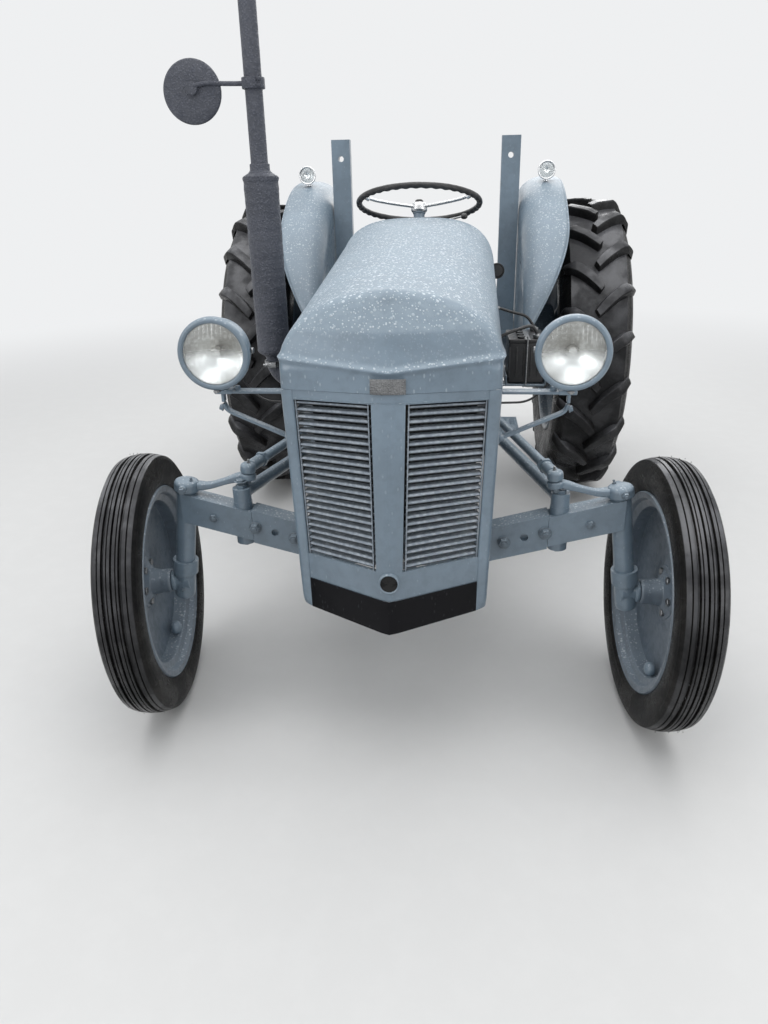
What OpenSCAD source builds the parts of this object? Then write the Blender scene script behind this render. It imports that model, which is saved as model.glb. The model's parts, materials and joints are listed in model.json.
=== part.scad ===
/* [Overall] */
// Length from the front of the front tyres to the ends of the lower links
overall_length = 2921; // [2880:1:3000]
// Distance between the front and rear axles
wheelbase = 1778; // [1750:1:1810]
// Distance between the front tyres where they meet the ground
front_track = 1298; // [1280:1:1340]
// Distance between the middles of the rear tyres
rear_track = 1346; // [1330:1:1400]

/* [Front wheels and steering] */
// Outer diameter of a front tyre
front_tyre_d = 692; // [670:1:710]
// Widest part of a front tyre
front_tyre_w = 110; // [100:1:116]
// Diameter of the front rim where the bead sits
front_rim_d = 483; // [470:1:490]
// Width between the front rim's flanges
front_rim_w = 80; // [70:1:86]
// Lean of a front wheel, its top outwards
camber = 2; // [0:0.5:3]
// Lean of a kingpin, its top inwards
kingpin_lean = 8; // [5:0.5:9]
// Distance of a kingpin from the middle, at the kingpin's reference height
kingpin_x = 560; // [550:1:570]
// Kingpin shaft diameter
kingpin_d = 28; // [24:1:32]
// How far both front wheels are turned as the tractor is parked
rest_steer = 5; // [0:0.5:8]
// How far each front wheel points inwards
toe_in = 2; // [0:0.5:3]
// Length of a steering arm from its kingpin to its ball
steer_arm_len = 153; // [140:1:165]
// Length of a drop arm from its shaft to its ball
drop_arm_len = 240; // [220:1:250]

/* [Rear wheels] */
// Outer diameter of a rear tyre, over its lugs
rear_tyre_d = 1246; // [1220:1:1270]
// Width of a rear tyre
rear_tyre_w = 281; // [265:1:290]
// How far the rear tyres' lugs stand out of the tread
lug_h = 33; // [24:1:38]
// Lugs on each half of a rear tyre
lug_count = 20; // [16:1:24]
// Diameter of the rear rim where the bead sits
rear_rim_d = 711; // [700:1:720]
// Width between the rear rim's flanges
rear_rim_w = 236; // [220:1:244]
// Brake drum diameter
drum_d = 370; // [340:1:390]

/* [Bonnet and grille] */
// Width across the bonnet at its front
hood_front_w = 482; // [460:1:490]
// Width across the bonnet at its rear
hood_rear_w = 522; // [505:1:530]
// Height of the bonnet's crease above the ground
hood_front_z = 1117; // [1105:1:1130]
// Height of the bonnet's rear edge above the ground
hood_rear_z = 1211; // [1195:1:1230]
// Thickness of the bonnet's and grille's sheet
sheet_t = 4; // [3:0.5:5]
// Width across the bottom of the grille shell
grille_bottom_w = 434; // [420:1:450]
// Number of slats on each side of the grille
slat_count = 23; // [16:1:24]
// Headlamp rim diameter
headlamp_d = 158; // [150:1:170]
// Distance of a headlamp from the middle
headlamp_x = 381; // [375:1:395]

/* [Mudguards, posts and exhaust] */
// Distance of a mudguard's inner panel from the middle
fender_x = 378; // [376:1:388]
// Width of a mudguard's crown
fender_w = 170; // [160:1:180]
// Gap between the tyre's lugs and the mudguard
fender_gap = 88; // [80:1:100]
// Height of the roll bar posts above the ground
post_top_z = 1484; // [1420:1:1550]
// Width of a roll bar post
post_w = 74; // [66:1:76]
// Height of the exhaust stack's tip above the ground
stack_top_z = 1930; // [1850:1:2000]
// Silencer diameter
silencer_d = 92; // [84:1:100]
// Exhaust pipe diameter
pipe_d = 45; // [40:1:50]
// Mirror diameter
mirror_d = 152; // [140:1:165]

/* [Cab controls and hitch] */
// Steering wheel diameter
steering_wheel_d = 462; // [440:1:480]
// Lean of the steering column towards the seat
column_lean = 17; // [15:0.5:19]
// Length of a lift arm, and of the stretch of lower link that it works
lift_arm_len = 280; // [260:1:300]
// Diameter of the pin holes in the lower links' balls
link_pin_d = 22.4; // [20:0.2:26]
// Diameter of the top link's pin hole
top_pin_d = 19.4; // [18:0.2:22]
// Power take-off shaft diameter
pto_d = 29; // [27:1:32]

/* [Hidden] */
$fn = 64;

// Colours of the paint and of the bare materials
grey = "lightslategray";
dark_grey = "dimgray";
black = "#1c1c1e";

// Left is the driver's left, on the +X side: the tractor faces -Y
left = 1;
right = -1;

// Fits between pieces
run_fit = 0.05;     // radial play of a shaft in its bore
face_gap = 0.5;     // play between faces that turn past each other
seat_gap = 0.3;     // gap between curved faces that only lie together
bite = 1;           // how deep pieces of one solid run into each other
over = 1;           // how far a cut runs past what it cuts

// Front wheels as they stand straight ahead
front_wheel_r = front_tyre_d/2;
tread_half_w = 34;  // flat half of a front tyre's tread
front_wheel_z = front_wheel_r*cos(camber) + tread_half_w*sin(camber);
front_wheel_x = front_track/2 + front_wheel_r*sin(camber);
kingpin_z = front_wheel_z + 153;    // height of a kingpin's reference point
// Distance from a wheel's centre to its kingpin, along the wheel's axis
kingpin_offset = (front_wheel_x - kingpin_x - (kingpin_z - front_wheel_z)*tan(kingpin_lean))
    /(cos(camber) - sin(camber)*tan(kingpin_lean));
hub_r = 32;
hub_back = 46;      // how far a front hub reaches inwards from the wheel's centre
hub_front = 42;
stub_r = 15;

// Stations along the tractor
most_turned = rest_steer + toe_in;
front_reach = front_wheel_r*cos(most_turned) + (tread_half_w + kingpin_offset)*sin(most_turned);
front_y = -overall_length/2 + front_reach;      // front axle
rear_y = front_y + wheelbase;                   // rear axle
rear_z = rear_tyre_d/2;

// Engine, its middle on the tractor's middle
engine_front_y = front_y + 150;
engine_len = 640;
engine_rear_y = engine_front_y + engine_len;
engine_w = 250;
engine_low_z = 470;
sump_z = 380;
head_z = 840;
rocker_z = 925;
rocker_top_z = 980;
water_neck_y = engine_front_y + 45;
hose_z = 1030;
fan_z = 720;
fan_y = front_y + 62;
fan_shaft_r = 12;

// Bell housing, gearbox and rear axle housing
bell_len = 290;
bell_rear_y = engine_rear_y + bell_len;
bell_w = 280;
bell_low_z = 400;
bell_top_z = 780;
gearbox_w = 260;
gearbox_top_z = 700;
centre_front_y = rear_y - 300;
centre_rear_y = rear_y + 190;
centre_w = 330;
centre_low_z = 375;
centre_top_z = 760;
cover_t = 30;

// Front axle, a beam that rocks on a pin under the front support
axle_z = kingpin_z - 30;
axle_h = 90;
axle_rise = 15;           // slope of the axle's outer ends
axle_flat_x = 175;
beam_end_x = 372;
beam_depth = 56;
beam_wall = 12;
arm_tongue_x = 228;       // where an axle arm begins inside the beam
arm_play = 1;             // gap between an arm's tongue and the beam's flanges
pivot_pin_r = 16;
lug_inner_y = 35;
lug_t = 25;
lug_w = 96;
support_w = 300;
support_z = axle_z + 56;  // underside of the front support's plate
support_t = 20;
support_front_y = front_y - 72;

// Kingpin, with heights along its own axis from its reference point
tube_r = kingpin_d/2 + 11;
tube_top = 112;
tube_bottom = -126;
collar_r = tube_r + 8;
collar_h = 38;
knuckle_r = kingpin_d/2 + 13;
knuckle_h = 76;
arm_head_r = kingpin_d/2 + 18;
arm_head_h = 30;
arm_eye_t = 160;          // underside of the steering arm's eye
arm_eye_h = 16;
ball_r = 19;
ball_h = 26;
stud_r = 8;

// Radius rods and drag links: their front and rear ends from the front axle
rod_front = [400, 0, axle_z + 134];
rod_rear = [192, 1050, 532];
rod_r = 17;
rod_eye_r = 23;
rod_eye_h = 36;
rod_eye_w = 40;
link_rear_y = 980;
link_rear_z = 622;
link_rear_gap = 3;        // room at the open joint between a drag link and its drop arm
link_rear_w = 30;
link_r = 13;
drop_arm_x = 150;
drop_arm_t = 18;
drop_shaft_r = 14;
drop_boss_r = 27;

// Rear axle and wheels
trumpet_r = 78;
hub_face_x = rear_track/2 - 113;
trumpet_end_x = hub_face_x - 120;
backplate_t = 8;
axle_shaft_r = 30;
pad_z = rear_z + 94;      // top of a rear axle pad, which carries mudguard and post
pad_x = 286;
pad_half_y = 60;

// Bonnet, from the nose's middle back to its rear edge
hood_rear_y = front_y + 950;
nose_y = front_y - 223;
nose_corner_y = front_y - 180;
nose_z = 966;             // height of the bead, where the nose bends
nose_set_back = 63;       // how far the crease lies behind the nose
hood_low_z = 922;
hood_low_rear_z = 905;
hood_fit = 3;             // how much narrower the dash is than the bonnet

// Grille shell
grille_lean = 0.15;       // how far the grille's middle leans back for each unit of height
shell_gap = 0.5;
grille_top_z = hood_low_z - shell_gap - 0.3;
grille_bottom_z = 392;
grille_back_y = front_y - 95;
grille_round = 9;         // rounding of the shell's front corners
grille_rows = 12;
rail_w = 22;
centre_bar_top_w = 73;
centre_bar_bottom_w = 58;
window_top_z = 900;
window_bottom_z = 532;
crank_hole_r = 20;
crank_hole_z = 510;
slat_h = 8;
slat_depth = 14;
slat_lap = 8;             // how far slats run behind the window's edge
slat_gap = 1.3;
plate_w = 392;
plate_h = 78;
plate_t = 3;
plate_gap = 0.9;         // in front of the grille's middle
plate_side_gap = 2;      // more of it where the grille's face is twisted

// Hinge of the bonnet and grille, in front of the axle
hinge_y = front_y - 120;
hinge_z = axle_z - 40;
hinge_r = 8;
hinge_boss_r = 14;
hinge_leg_x = 136;
hinge_leg_t = 14;

// Headlamps
lamp_front_y = front_y - 172;
lamp_z = 994;
lamp_depth = 112;
lamp_glass_r = headlamp_d/2 - 13;
lamp_bar_z = 900;
lamp_stay_z = 795;

// Exhaust
stack_x = -385;
stack_y = front_y + 400;
stack_low_z = 800;
stack_bend_r = 60;
manifold_x = -170;
manifold_z = 838;
manifold_r = 26;
flange_x = -205;
silencer_bottom_z = stack_low_z + stack_bend_r + 4;
silencer_top_z = 1360;
mirror_x = -545;
mirror_arm_z = 1563;
mirror_z = mirror_arm_z - 15;

// Steering wheel and column
wheel_centre_y = front_y + 1100;
wheel_centre_z = 1254;
wheel_hub_r = 28;
rim_tube_r = 11;
column_r = 19;
column_shaft_r = 11;
steering_box_w = 240;
steering_box_y = front_y + 900;
steering_box_len = 160;
steering_box_top_z = 900;

// Battery, tank and dash
battery_x = 312;
battery_y = front_y + 800;
battery_size = [118, 185, 150];
tray_z = 682;
tray_t = 8;
tank_y = front_y + 430;
tank_low_z = 1015;
tank_gap = 30;            // gap between the tank and the bonnet's outside
dash_y = hood_rear_y + 5;
dash_t = 12;

// Seat
seat_y = rear_y + 75;
seat_z = 940;
seat_half_w = 225;
seat_half_d = 185;
seat_back_rise = 105;
seat_t = 5;

// Mudguards and what stands by them
fender_r = rear_z + fender_gap;
fender_low = 12;          // angles of a mudguard's ends, from the front level
fender_full = 52;         // angle from which a mudguard is at its full width
fender_high = 164;
fender_step = 4;
fender_t = 4;
fender_corner_r = 100;
side_lamp_y = rear_y - 152;
side_lamp_lift = 40;
side_lamp_r = 36;
post_x = fender_x - 3 - post_w/2;
post_depth = 40;
post_y = front_y + 1600;
post_base_t = 12;
post_hole_r = 11;
post_hole_drop = 70;

// Lower links, lift arms and lift rods
link_pivot_y = rear_y + 60;
link_pivot_z = 430;
link_pivot_x = 205;
link_pivot_r = 11;
link_end_x = 355;
link_eye_r = link_pin_d/2 + 16;
link_eye_w = 44;
link_w = 16;
link_h = 44;
link_end_y = overall_length/2 - link_eye_r;
link_slope = atan((link_end_x - link_pivot_x)/(link_end_y - link_pivot_y));
rod_point_x = link_pivot_x + (link_end_x - link_pivot_x)*lift_arm_len/(link_end_y - link_pivot_y);
lift_rod_x = rod_point_x + 18;
lift_rod_w = 20;
lift_rod_r = 9.5;
lift_shaft_z = 840;
lift_shaft_x = 185;
lift_shaft_r = 16;
lift_arm_w = 22;
lift_arm_x = lift_shaft_x + 22;
lift_pin_r = 9;
lift_eye_r = 22;

// Half width, top, shoulder height and roundness of the bonnet at station y
function hood_half_w(y) = lookup(y, [[nose_y, hood_front_w/2 - 4], [front_y - 100, hood_front_w/2],
    [hood_rear_y, hood_rear_w/2]]);
function hood_top(y) = lookup(y, [[nose_y + nose_set_back, hood_front_z], [hood_rear_y, hood_rear_z]]);
function hood_base(y) = lookup(y, [[nose_corner_y, 972], [hood_rear_y, 1000]]);
function hood_power(y) = 2/lookup(y, [[nose_corner_y, 2.0], [hood_rear_y, 3.0]]);
function hood_low(y) = lookup(y, [[nose_corner_y, hood_low_z], [hood_rear_y, hood_low_rear_z]]);
// Cross section of the bonnet at station y, drawn clockwise as seen from the front
function hood_ring(y, inset, low, n = 28) =
    let (w = hood_half_w(y) - inset, z0 = hood_base(y), h = hood_top(y) - inset - z0)
    [[-w, y, low], for (i = [0:n]) hood_point(w, y, z0, h, 180*i/n), [w, y, low]];
function hood_point(w, y, z0, h, a) =
    [-w*sign(cos(a))*pow(abs(cos(a)), hood_power(y)), y, z0 + h*pow(sin(a), hood_power(y))];
// Station of the nose's middle at height z: it leans more above the bead than below
nose_lean = nose_set_back/(hood_front_z - nose_z);
function prow_y(z) = nose_y + (z - nose_z)*(z > nose_z ? nose_lean : grille_lean);
function corner_y(z) = nose_corner_y + max(0, z - nose_z)*nose_lean;
// Half width of the grille shell at height z
function grille_half_w(z) = lookup(z, [[grille_bottom_z - 50, grille_bottom_w/2 - 2],
    [grille_bottom_z, grille_bottom_w/2],
    [grille_top_z, hood_front_w/2 - 6],
    [grille_top_z + 50, hood_front_w/2 - 4]]);

// Closed solid through rings with the same number of points each
module loft(rings) {
    n = len(rings[0]);
    m = len(rings);
    polyhedron([for (r = rings) each r], concat(
        [[for (i = [0:n - 1]) i]],
        [for (j = [0:m - 2], i = [0:n - 1], f = [0:1]) let (a = j*n + i, b = j*n + (i + 1)%n)
            f == 0 ? [a, a + n, b] : [b, a + n, b + n]],
        [[for (i = [n - 1:-1:0]) (m - 1)*n + i]]), convexity = 8);
}
// Children drawn along the X axis, or along the Y axis, instead of the Z axis
module along_x() rotate([0, 90, 0]) children();
module along_y() rotate([-90, 0, 0]) children();
// Children drawn in the XZ plane, made thick along +Y
module thick_y(t) rotate([90, 0, 0]) translate([0, 0, -t]) linear_extrude(t) children();
// Children drawn on the driver's left, and again on the right
module both_sides() for (side = [left, right]) mirror([side == left ? 0 : 1, 0, 0]) children();
// Cylinder along X or Y from a point, and a box from its lowest corner
module rod_x(at, h, r) translate(at) along_x() cylinder(h = h, r = r);
module rod_y(at, h, r) translate(at) along_y() cylinder(h = h, r = r);
module box(at, size) translate(at) cube(size);
// Round bar from point a to point b
module bar(a, b, r) {
    d = b - a;
    translate(a) rotate([0, acos(d.z/norm(d)), atan2(d.y, d.x)]) cylinder(h = norm(d), r = r);
}

// Children placed with their origin and Z axis on a kingpin
module at_kingpin(side) translate([side*kingpin_x, front_y, kingpin_z])
    rotate([0, -side*kingpin_lean, 0]) children();
// Children, drawn for wheels straight ahead, turned about a kingpin as the tractor is parked
module steered(side) at_kingpin(side) rotate([0, 0, rest_steer - side*toe_in])
    rotate([0, side*kingpin_lean, 0]) translate([-side*kingpin_x, -front_y, -kingpin_z]) children();
// Children placed on a wheel's centre, with +Z pointing outwards along its axle
module at_front_wheel(side) translate([side*front_wheel_x, front_y, front_wheel_z])
    rotate([0, 0, side == left ? 0 : 180]) rotate([0, camber, 0]) along_x() children();
module at_rear_wheel(side) translate([side*rear_track/2, rear_y, rear_z])
    rotate([0, 0, side == left ? 0 : 180]) along_x() children();
function turned_z(v, a) = [v.x*cos(a) - v.y*sin(a), v.x*sin(a) + v.y*cos(a), v.z];
function turned_y(v, a) = [v.x*cos(a) + v.z*sin(a), v.y, -v.x*sin(a) + v.z*cos(a)];
// Point at height t above the kingpin's reference, over the steering arm's ball
function arm_point(side, t) = [side*kingpin_x, front_y, kingpin_z]
    + turned_y(turned_z([-side*steer_arm_len, 0, t], rest_steer - side*toe_in), -side*kingpin_lean);
function drop_tilt(side) = asin((arm_point(side, 0).y - front_y)/drop_arm_len);

// Front support: plate, lugs with the axle's pivot pin, and the hinge legs for the bonnet
module front_support() color(grey) {
    block_y = front_y + lug_inner_y + lug_t;
    lug_z = axle_z - 42;
    box([-support_w/2, support_front_y, support_z],
        [support_w, engine_front_y - seat_gap - support_front_y, support_t]);
    for (y = [-lug_inner_y - lug_t, lug_inner_y])
        box([-lug_w/2, front_y + y, lug_z], [lug_w, lug_t, support_z + bite - lug_z]);
    box([-110, block_y - bite, lug_z],
        [220, engine_front_y - seat_gap - block_y + bite, support_z + bite - lug_z]);
    rod_y([0, front_y - lug_inner_y - lug_t - 4, axle_z], 2*lug_inner_y + lug_t + 8, pivot_pin_r);
    both_sides() difference() {
        union() {
            box([hinge_leg_x + hinge_leg_t - 30, hinge_y - hinge_boss_r, support_z],
                [30, support_front_y + bite - hinge_y + hinge_boss_r, support_t]);
            box([hinge_leg_x, hinge_y - hinge_boss_r, hinge_z],
                [hinge_leg_t, 2*hinge_boss_r, support_z + bite - hinge_z]);
            rod_x([hinge_leg_x, hinge_y, hinge_z], hinge_leg_t, hinge_boss_r);
        }
        rod_x([hinge_leg_x - over, hinge_y, hinge_z], hinge_leg_t + 2*over, hinge_r + run_fit);
    }
}
function axle_mid_z(x) = axle_z + max(0, abs(x) - axle_flat_x)*tan(axle_rise);
// Front view of the axle, between two distances from its middle line and out to end_x
module axle_outline(low, high, end_x) {
    xs = [-end_x, -axle_flat_x, axle_flat_x, end_x];
    polygon([for (x = xs) [x, axle_mid_z(x) + low], for (i = [3:-1:0]) [xs[i], axle_mid_z(xs[i]) + high]]);
}
module front_axle_beam() color(grey) translate([0, front_y - beam_depth/2, 0]) {
    half = axle_h/2;
    difference() {
        union() {
            thick_y(beam_wall) axle_outline(-half, half, beam_end_x);
            thick_y(beam_depth) axle_outline(-half, -half + beam_wall, beam_end_x);
            thick_y(beam_depth) axle_outline(half - beam_wall, half, beam_end_x);
            rod_y([0, beam_depth/2 - lug_inner_y + face_gap, axle_z], 2*(lug_inner_y - face_gap), 38);
        }
        rod_y([0, -beam_depth, axle_z], 3*beam_depth, pivot_pin_r + run_fit);
        // Row of holes for widening the track
        for (side = [left, right], x = [215:50:365])
            rod_y([side*x, -over, axle_mid_z(x)], beam_wall + 2*over, 9.5);
    }
}
module axle_arms() color(grey) both_sides() {
    tongue_half = axle_h/2 - beam_wall - arm_play;
    end_x = kingpin_x - 6;
    difference() {
        union() {
            translate([0, front_y - beam_depth/2 + beam_wall, 0]) thick_y(beam_depth - beam_wall - 4)
                intersection() {
                    axle_outline(-tongue_half, tongue_half, end_x);
                    translate([arm_tongue_x, 0]) square([end_x, 1000]);
                }
            translate([0, front_y - beam_depth/2, 0]) thick_y(beam_depth) intersection() {
                axle_outline(6 - axle_h/2, axle_h/2 - 6, end_x);
                translate([beam_end_x + arm_play, 0]) square([end_x, 1000]);
            }
            // Boss for the radius rod's pin
            translate([rod_front.x, front_y, axle_z]) cylinder(h = rod_front.z - 20 - axle_z, r = 24);
            at_kingpin(left) translate([0, 0, tube_bottom]) {
                cylinder(h = tube_top - tube_bottom, r = tube_r);
                cylinder(h = collar_h, r = collar_r);
            }
        }
        at_kingpin(left) translate([0, 0, tube_bottom - over])
            cylinder(h = tube_top - tube_bottom + 2*over, r = kingpin_d/2 + run_fit);
    }
}

// Knuckle: kingpin, stub axle and steering arm in one
module knuckle(side) color(grey) steered(side) {
    head_t = tube_top + face_gap;
    block_t = tube_bottom - face_gap - knuckle_h;
    at_kingpin(side) {
        translate([0, 0, block_t]) cylinder(h = knuckle_h, r = knuckle_r);
        translate([0, 0, block_t + knuckle_h - bite])
            cylinder(h = head_t + 2*bite - block_t - knuckle_h, r = kingpin_d/2);
        difference() {
            union() {
                translate([0, 0, head_t]) cylinder(h = arm_head_h, r = arm_head_r);
                translate([-side*steer_arm_len, 0, arm_eye_t]) cylinder(h = arm_eye_h, r = ball_r);
                hull() {
                    translate([0, 0, head_t + 4]) cylinder(h = 18, r = 13, $fn = 24);
                    translate([-side*steer_arm_len, 0, arm_eye_t + 1]) cylinder(h = 14, r = 13, $fn = 24);
                }
            }
            translate([-side*steer_arm_len, 0, arm_eye_t - 12])
                cylinder(h = arm_eye_h + 24, r = stud_r + run_fit);
        }
    }
    at_front_wheel(side) translate([0, 0, -kingpin_offset]) {
        cylinder(h = kingpin_offset + hub_front - 6, r = stub_r - run_fit);
        cylinder(h = kingpin_offset - hub_back - face_gap, r = 24);
    }
}
// Half of a rim's section. Columns: outside radius, its half width, inside radius, its half width
function rim_rows(r, w, h, t) = [[r + h, w, r + h, w + t], [r, w, r - t, w + t],
    [r, w*0.66, r - t, w*0.66 + 1], [r - h*1.15, w*0.5, r - h*1.15 - t, w*0.5 + 1]];
// Radius of the inside of a rim's well
function well_r(r, h, t) = r - h*1.15 - t;
module rim(r, w, h, t) {
    rows = rim_rows(r, w, h, t);
    rotate_extrude($fn = 96) polygon([
        for (i = [0:3]) [rows[i][0], rows[i][1]], for (i = [3:-1:0]) [rows[i][0], -rows[i][1]],
        for (i = [0:3]) [rows[i][2], -rows[i][3]], for (i = [3:-1:0]) [rows[i][2], rows[i][3]]]);
}
front_flange = 17;
front_rim_t = 4;
module front_wheel(side) color(grey) steered(side) at_front_wheel(side) {
    well = well_r(front_rim_d/2, front_flange, front_rim_t) + bite;
    rim(front_rim_d/2, front_rim_w/2, front_flange, front_rim_t);
    rotate_extrude($fn = 96)
        polygon([[60, 26], [150, 22], [well, 12], [well, 16], [150, 27], [60, 31]]);
    difference() {
        union() {
            translate([0, 0, -hub_back]) cylinder(h = hub_back + hub_front, r = hub_r);
            translate([0, 0, 20]) cylinder(h = 8, r = 70);
            translate([0, 0, hub_front - bite]) cylinder(h = 15, r1 = 28, r2 = 22);
        }
        translate([0, 0, -hub_back - over]) cylinder(h = hub_back + hub_front - 2, r = stub_r);
    }
}
// Side of a tyre. Columns: share of the section's height, share of the tyre's half width
tyre_rows = [[0.30, 0.90], [0.48, 1.0], [0.68, 1.0], [0.84, 0.94], [0.94, 0.82]];
module tyre(r, bead_r, w, bead_w, crown_w, flange, t) {
    h = r - bead_r;
    outer = [[bead_r, bead_w/2], [bead_r + flange, bead_w/2],
        for (p = tyre_rows) [bead_r + p[0]*h, p[1]*w/2], [r, crown_w/2]];
    inner = [[bead_r, bead_w/2 - t], [bead_r + flange, bead_w/2 - t],
        for (p = tyre_rows) [bead_r + p[0]*(h - t), p[1]*w/2 - t], [r - t, crown_w/2 - t]];
    last = len(outer) - 1;
    rotate_extrude($fn = 96) polygon([
        each outer, for (i = [last:-1:0]) [outer[i].x, -outer[i].y],
        for (p = inner) [p.x, -p.y], for (i = [last:-1:0]) inner[i]]);
}
module front_tyre(side) color(black) steered(side) at_front_wheel(side)
    tyre(front_wheel_r, front_rim_d/2, front_tyre_w, front_rim_w, 2*tread_half_w, front_flange, 11);

// Radius rods from the axle arms to the bell housing
module radius_rods() color(grey) both_sides() translate([0, front_y, 0]) {
    translate([rod_front.x, 0, rod_front.z - 20]) {
        cylinder(h = rod_eye_h, r = rod_eye_r);
        translate([0, 0, rod_eye_h - bite]) cylinder(h = 9, r = 14, $fn = 6);
    }
    bar(rod_front, rod_rear, rod_r);
    rod_x([rod_rear.x - rod_eye_w/2, rod_rear.y, rod_rear.z], rod_eye_w, rod_eye_r + 2);
}
// Drag link, hung on the knuckle's steering arm
module drag_link(side) color(grey) {
    eye_top = arm_eye_t + arm_eye_h + face_gap;
    steered(side) at_kingpin(side) translate([-side*steer_arm_len, 0, 0]) {
        translate([0, 0, arm_eye_t - 6]) cylinder(h = eye_top - arm_eye_t + 8, r = stud_r);
        translate([0, 0, eye_top]) cylinder(h = ball_h, r = ball_r);
    }
    front = arm_point(side, eye_top + ball_h/2);
    inner_x = drop_arm_x + drop_arm_t + link_rear_gap;
    rear = [side*(inner_x + link_rear_w/2), front.y + link_rear_y, link_rear_z];
    bar(front, rear, link_r);
    rod_x(rear - [link_rear_w/2, 0, 0], link_rear_w, ball_r);
}
module drop_arm(side) color(grey) translate([0, front_y + link_rear_y, link_rear_z + drop_arm_len]) {
    x = side > 0 ? drop_arm_x : -drop_arm_x - drop_arm_t;
    rotate([drop_tilt(side), 0, 0]) difference() {
        union() {
            rod_x([x, 0, 0], drop_arm_t, drop_boss_r);
            rod_x([x, 0, -drop_arm_len], drop_arm_t, ball_r + 1);
            box([x + 2, -15, -drop_arm_len], [drop_arm_t - 4, 30, drop_arm_len]);
        }
        rod_x([x - over, 0, 0], drop_arm_t + 2*over, drop_shaft_r + run_fit);
    }
}

// Engine block, sump, head, rocker cover and the bosses at its front
module engine() color(grey) {
    y = engine_front_y;
    box([-engine_w/2, y, engine_low_z], [engine_w, engine_len, head_z - engine_low_z]);
    box([-120, y + 30, sump_z], [240, engine_len - 60, engine_low_z + bite - sump_z]);
    box([-110, y + 20, head_z - bite], [220, engine_len - 60, rocker_z + bite - head_z]);
    box([-70, y + 90, rocker_z - bite], [140, engine_len - 170, rocker_top_z + bite - rocker_z]);
    rod_y([0, y - 38, 615], 40, 60);
    rod_y([0, y - 40, fan_z], 42, 45);
    rod_y([0, fan_y + 2, fan_z], y - fan_y, fan_shaft_r);
    translate([0, water_neck_y, rocker_z - bite]) cylinder(h = hose_z + 22 - rocker_z, r = 28);
}
module manifold() color(dark_grey) {
    for (i = [0:3])
        box([-engine_w/2 - 25, front_y + 232 + 130*i, manifold_z - 22], [25, 50, 44]);
    rod_y([manifold_x, front_y + 215, manifold_z], 470, manifold_r);
    translate([manifold_x, stack_y, stack_low_z]) cylinder(h = manifold_z - stack_low_z, r = manifold_r - 1);
    rod_x([flange_x, stack_y, stack_low_z], manifold_x - flange_x, manifold_r + 4);
}
module exhaust_stack() color(dark_grey) translate([stack_x, stack_y, 0]) {
    bend_z = stack_low_z + stack_bend_r;
    rod_x([stack_bend_r - 8, 0, stack_low_z], flange_x - seat_gap - stack_x - stack_bend_r + 8, pipe_d/2);
    translate([stack_bend_r, 0, bend_z]) rotate([-90, 0, 0]) rotate([0, 0, 90])
        rotate_extrude(angle = 90) translate([stack_bend_r, 0]) circle(d = pipe_d + 4);
    translate([0, 0, bend_z - 8]) cylinder(h = stack_top_z - bend_z + 8, d = pipe_d);
    rotate_extrude() polygon([[0, silencer_bottom_z], [pipe_d/2 - 2, silencer_bottom_z],
        [silencer_d/2, silencer_bottom_z + 26], [silencer_d/2, silencer_top_z - 26],
        [pipe_d/2 - 2, silencer_top_z], [0, silencer_top_z]]);
}
module mirror_on_stack() color(dark_grey) translate([0, stack_y, 0]) {
    difference() {
        translate([stack_x, 0, mirror_arm_z - 13]) cylinder(h = 26, r = pipe_d/2 + 7);
        translate([stack_x, 0, mirror_arm_z - 13 - over])
            cylinder(h = 26 + 2*over, r = pipe_d/2 + seat_gap);
    }
    bar([stack_x - pipe_d/2 - 3, 0, mirror_arm_z], [mirror_x - 30, -12, mirror_arm_z + 6], 6);
    rod_y([mirror_x, -8, mirror_z], 14, mirror_d/2);
    rod_y([mirror_x - 30, -16, mirror_arm_z + 6], 10, 16);
}
radiator_w = 380;
radiator_y = front_y - 75;
radiator_top_z = 1010;
module radiator() color(grey) {
    base_z = support_z + support_t;
    box([-radiator_w/2, radiator_y, base_z], [radiator_w, 70, radiator_top_z - base_z]);
    box([-radiator_w/2 - 3, radiator_y - 5, radiator_top_z - bite], [radiator_w + 6, 80, 50]);
    translate([0, radiator_y + 35, radiator_top_z + 48]) cylinder(h = 26, r = 32);
    rod_y([0, radiator_y + 74, hose_z], water_neck_y - 28 - seat_gap - radiator_y - 74, 20);
    rod_y([-105, radiator_y + 69, 568], engine_front_y - seat_gap - radiator_y - 69, 16);
}
module fan() color(dark_grey) translate([0, fan_y, fan_z]) difference() {
    union() {
        rod_y([0, 0, 0], 42, 30);
        rod_y([0, 30, 0], 12, 48);
        for (i = [0:3])
            rotate([0, 45 + 90*i, 0]) translate([20, 8, -28]) rotate([-25, 0, 0]) cube([136, 4, 62]);
    }
    rod_y([0, -over, 0], 50, fan_shaft_r + run_fit);
}
module dynamo() color(dark_grey) translate([engine_w/2 + 61, front_y, fan_z]) {
    rod_y([0, 170, 0], 200, 52);
    rod_y([0, 120, 0], 51, 10);
    rod_y([0, 124, 0], 16, 38);
    box([-61, 200, -60], [30, 140, 40]);
}
module air_cleaner() color(grey) translate([engine_w/2 + 75, front_y + 560, 0]) {
    translate([0, 0, 700]) cylinder(h = 170, r = 62);
    translate([0, 0, 869]) cylinder(h = 26, r1 = 61, r2 = 30);
    box([-75, -30, 740], [40, 60, 60]);
}
module battery() {
    color(grey) box([bell_w/2, battery_y - 5, tray_z], [battery_x - 7 - bell_w/2, 60, tray_t]);
    color(grey) box([battery_x - 7 - bite, battery_y - 5, tray_z],
        [battery_size.x + 14, battery_size.y + 10, tray_t]);
    color(black) box([battery_x, battery_y, tray_z + tray_t], battery_size);
}
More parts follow.
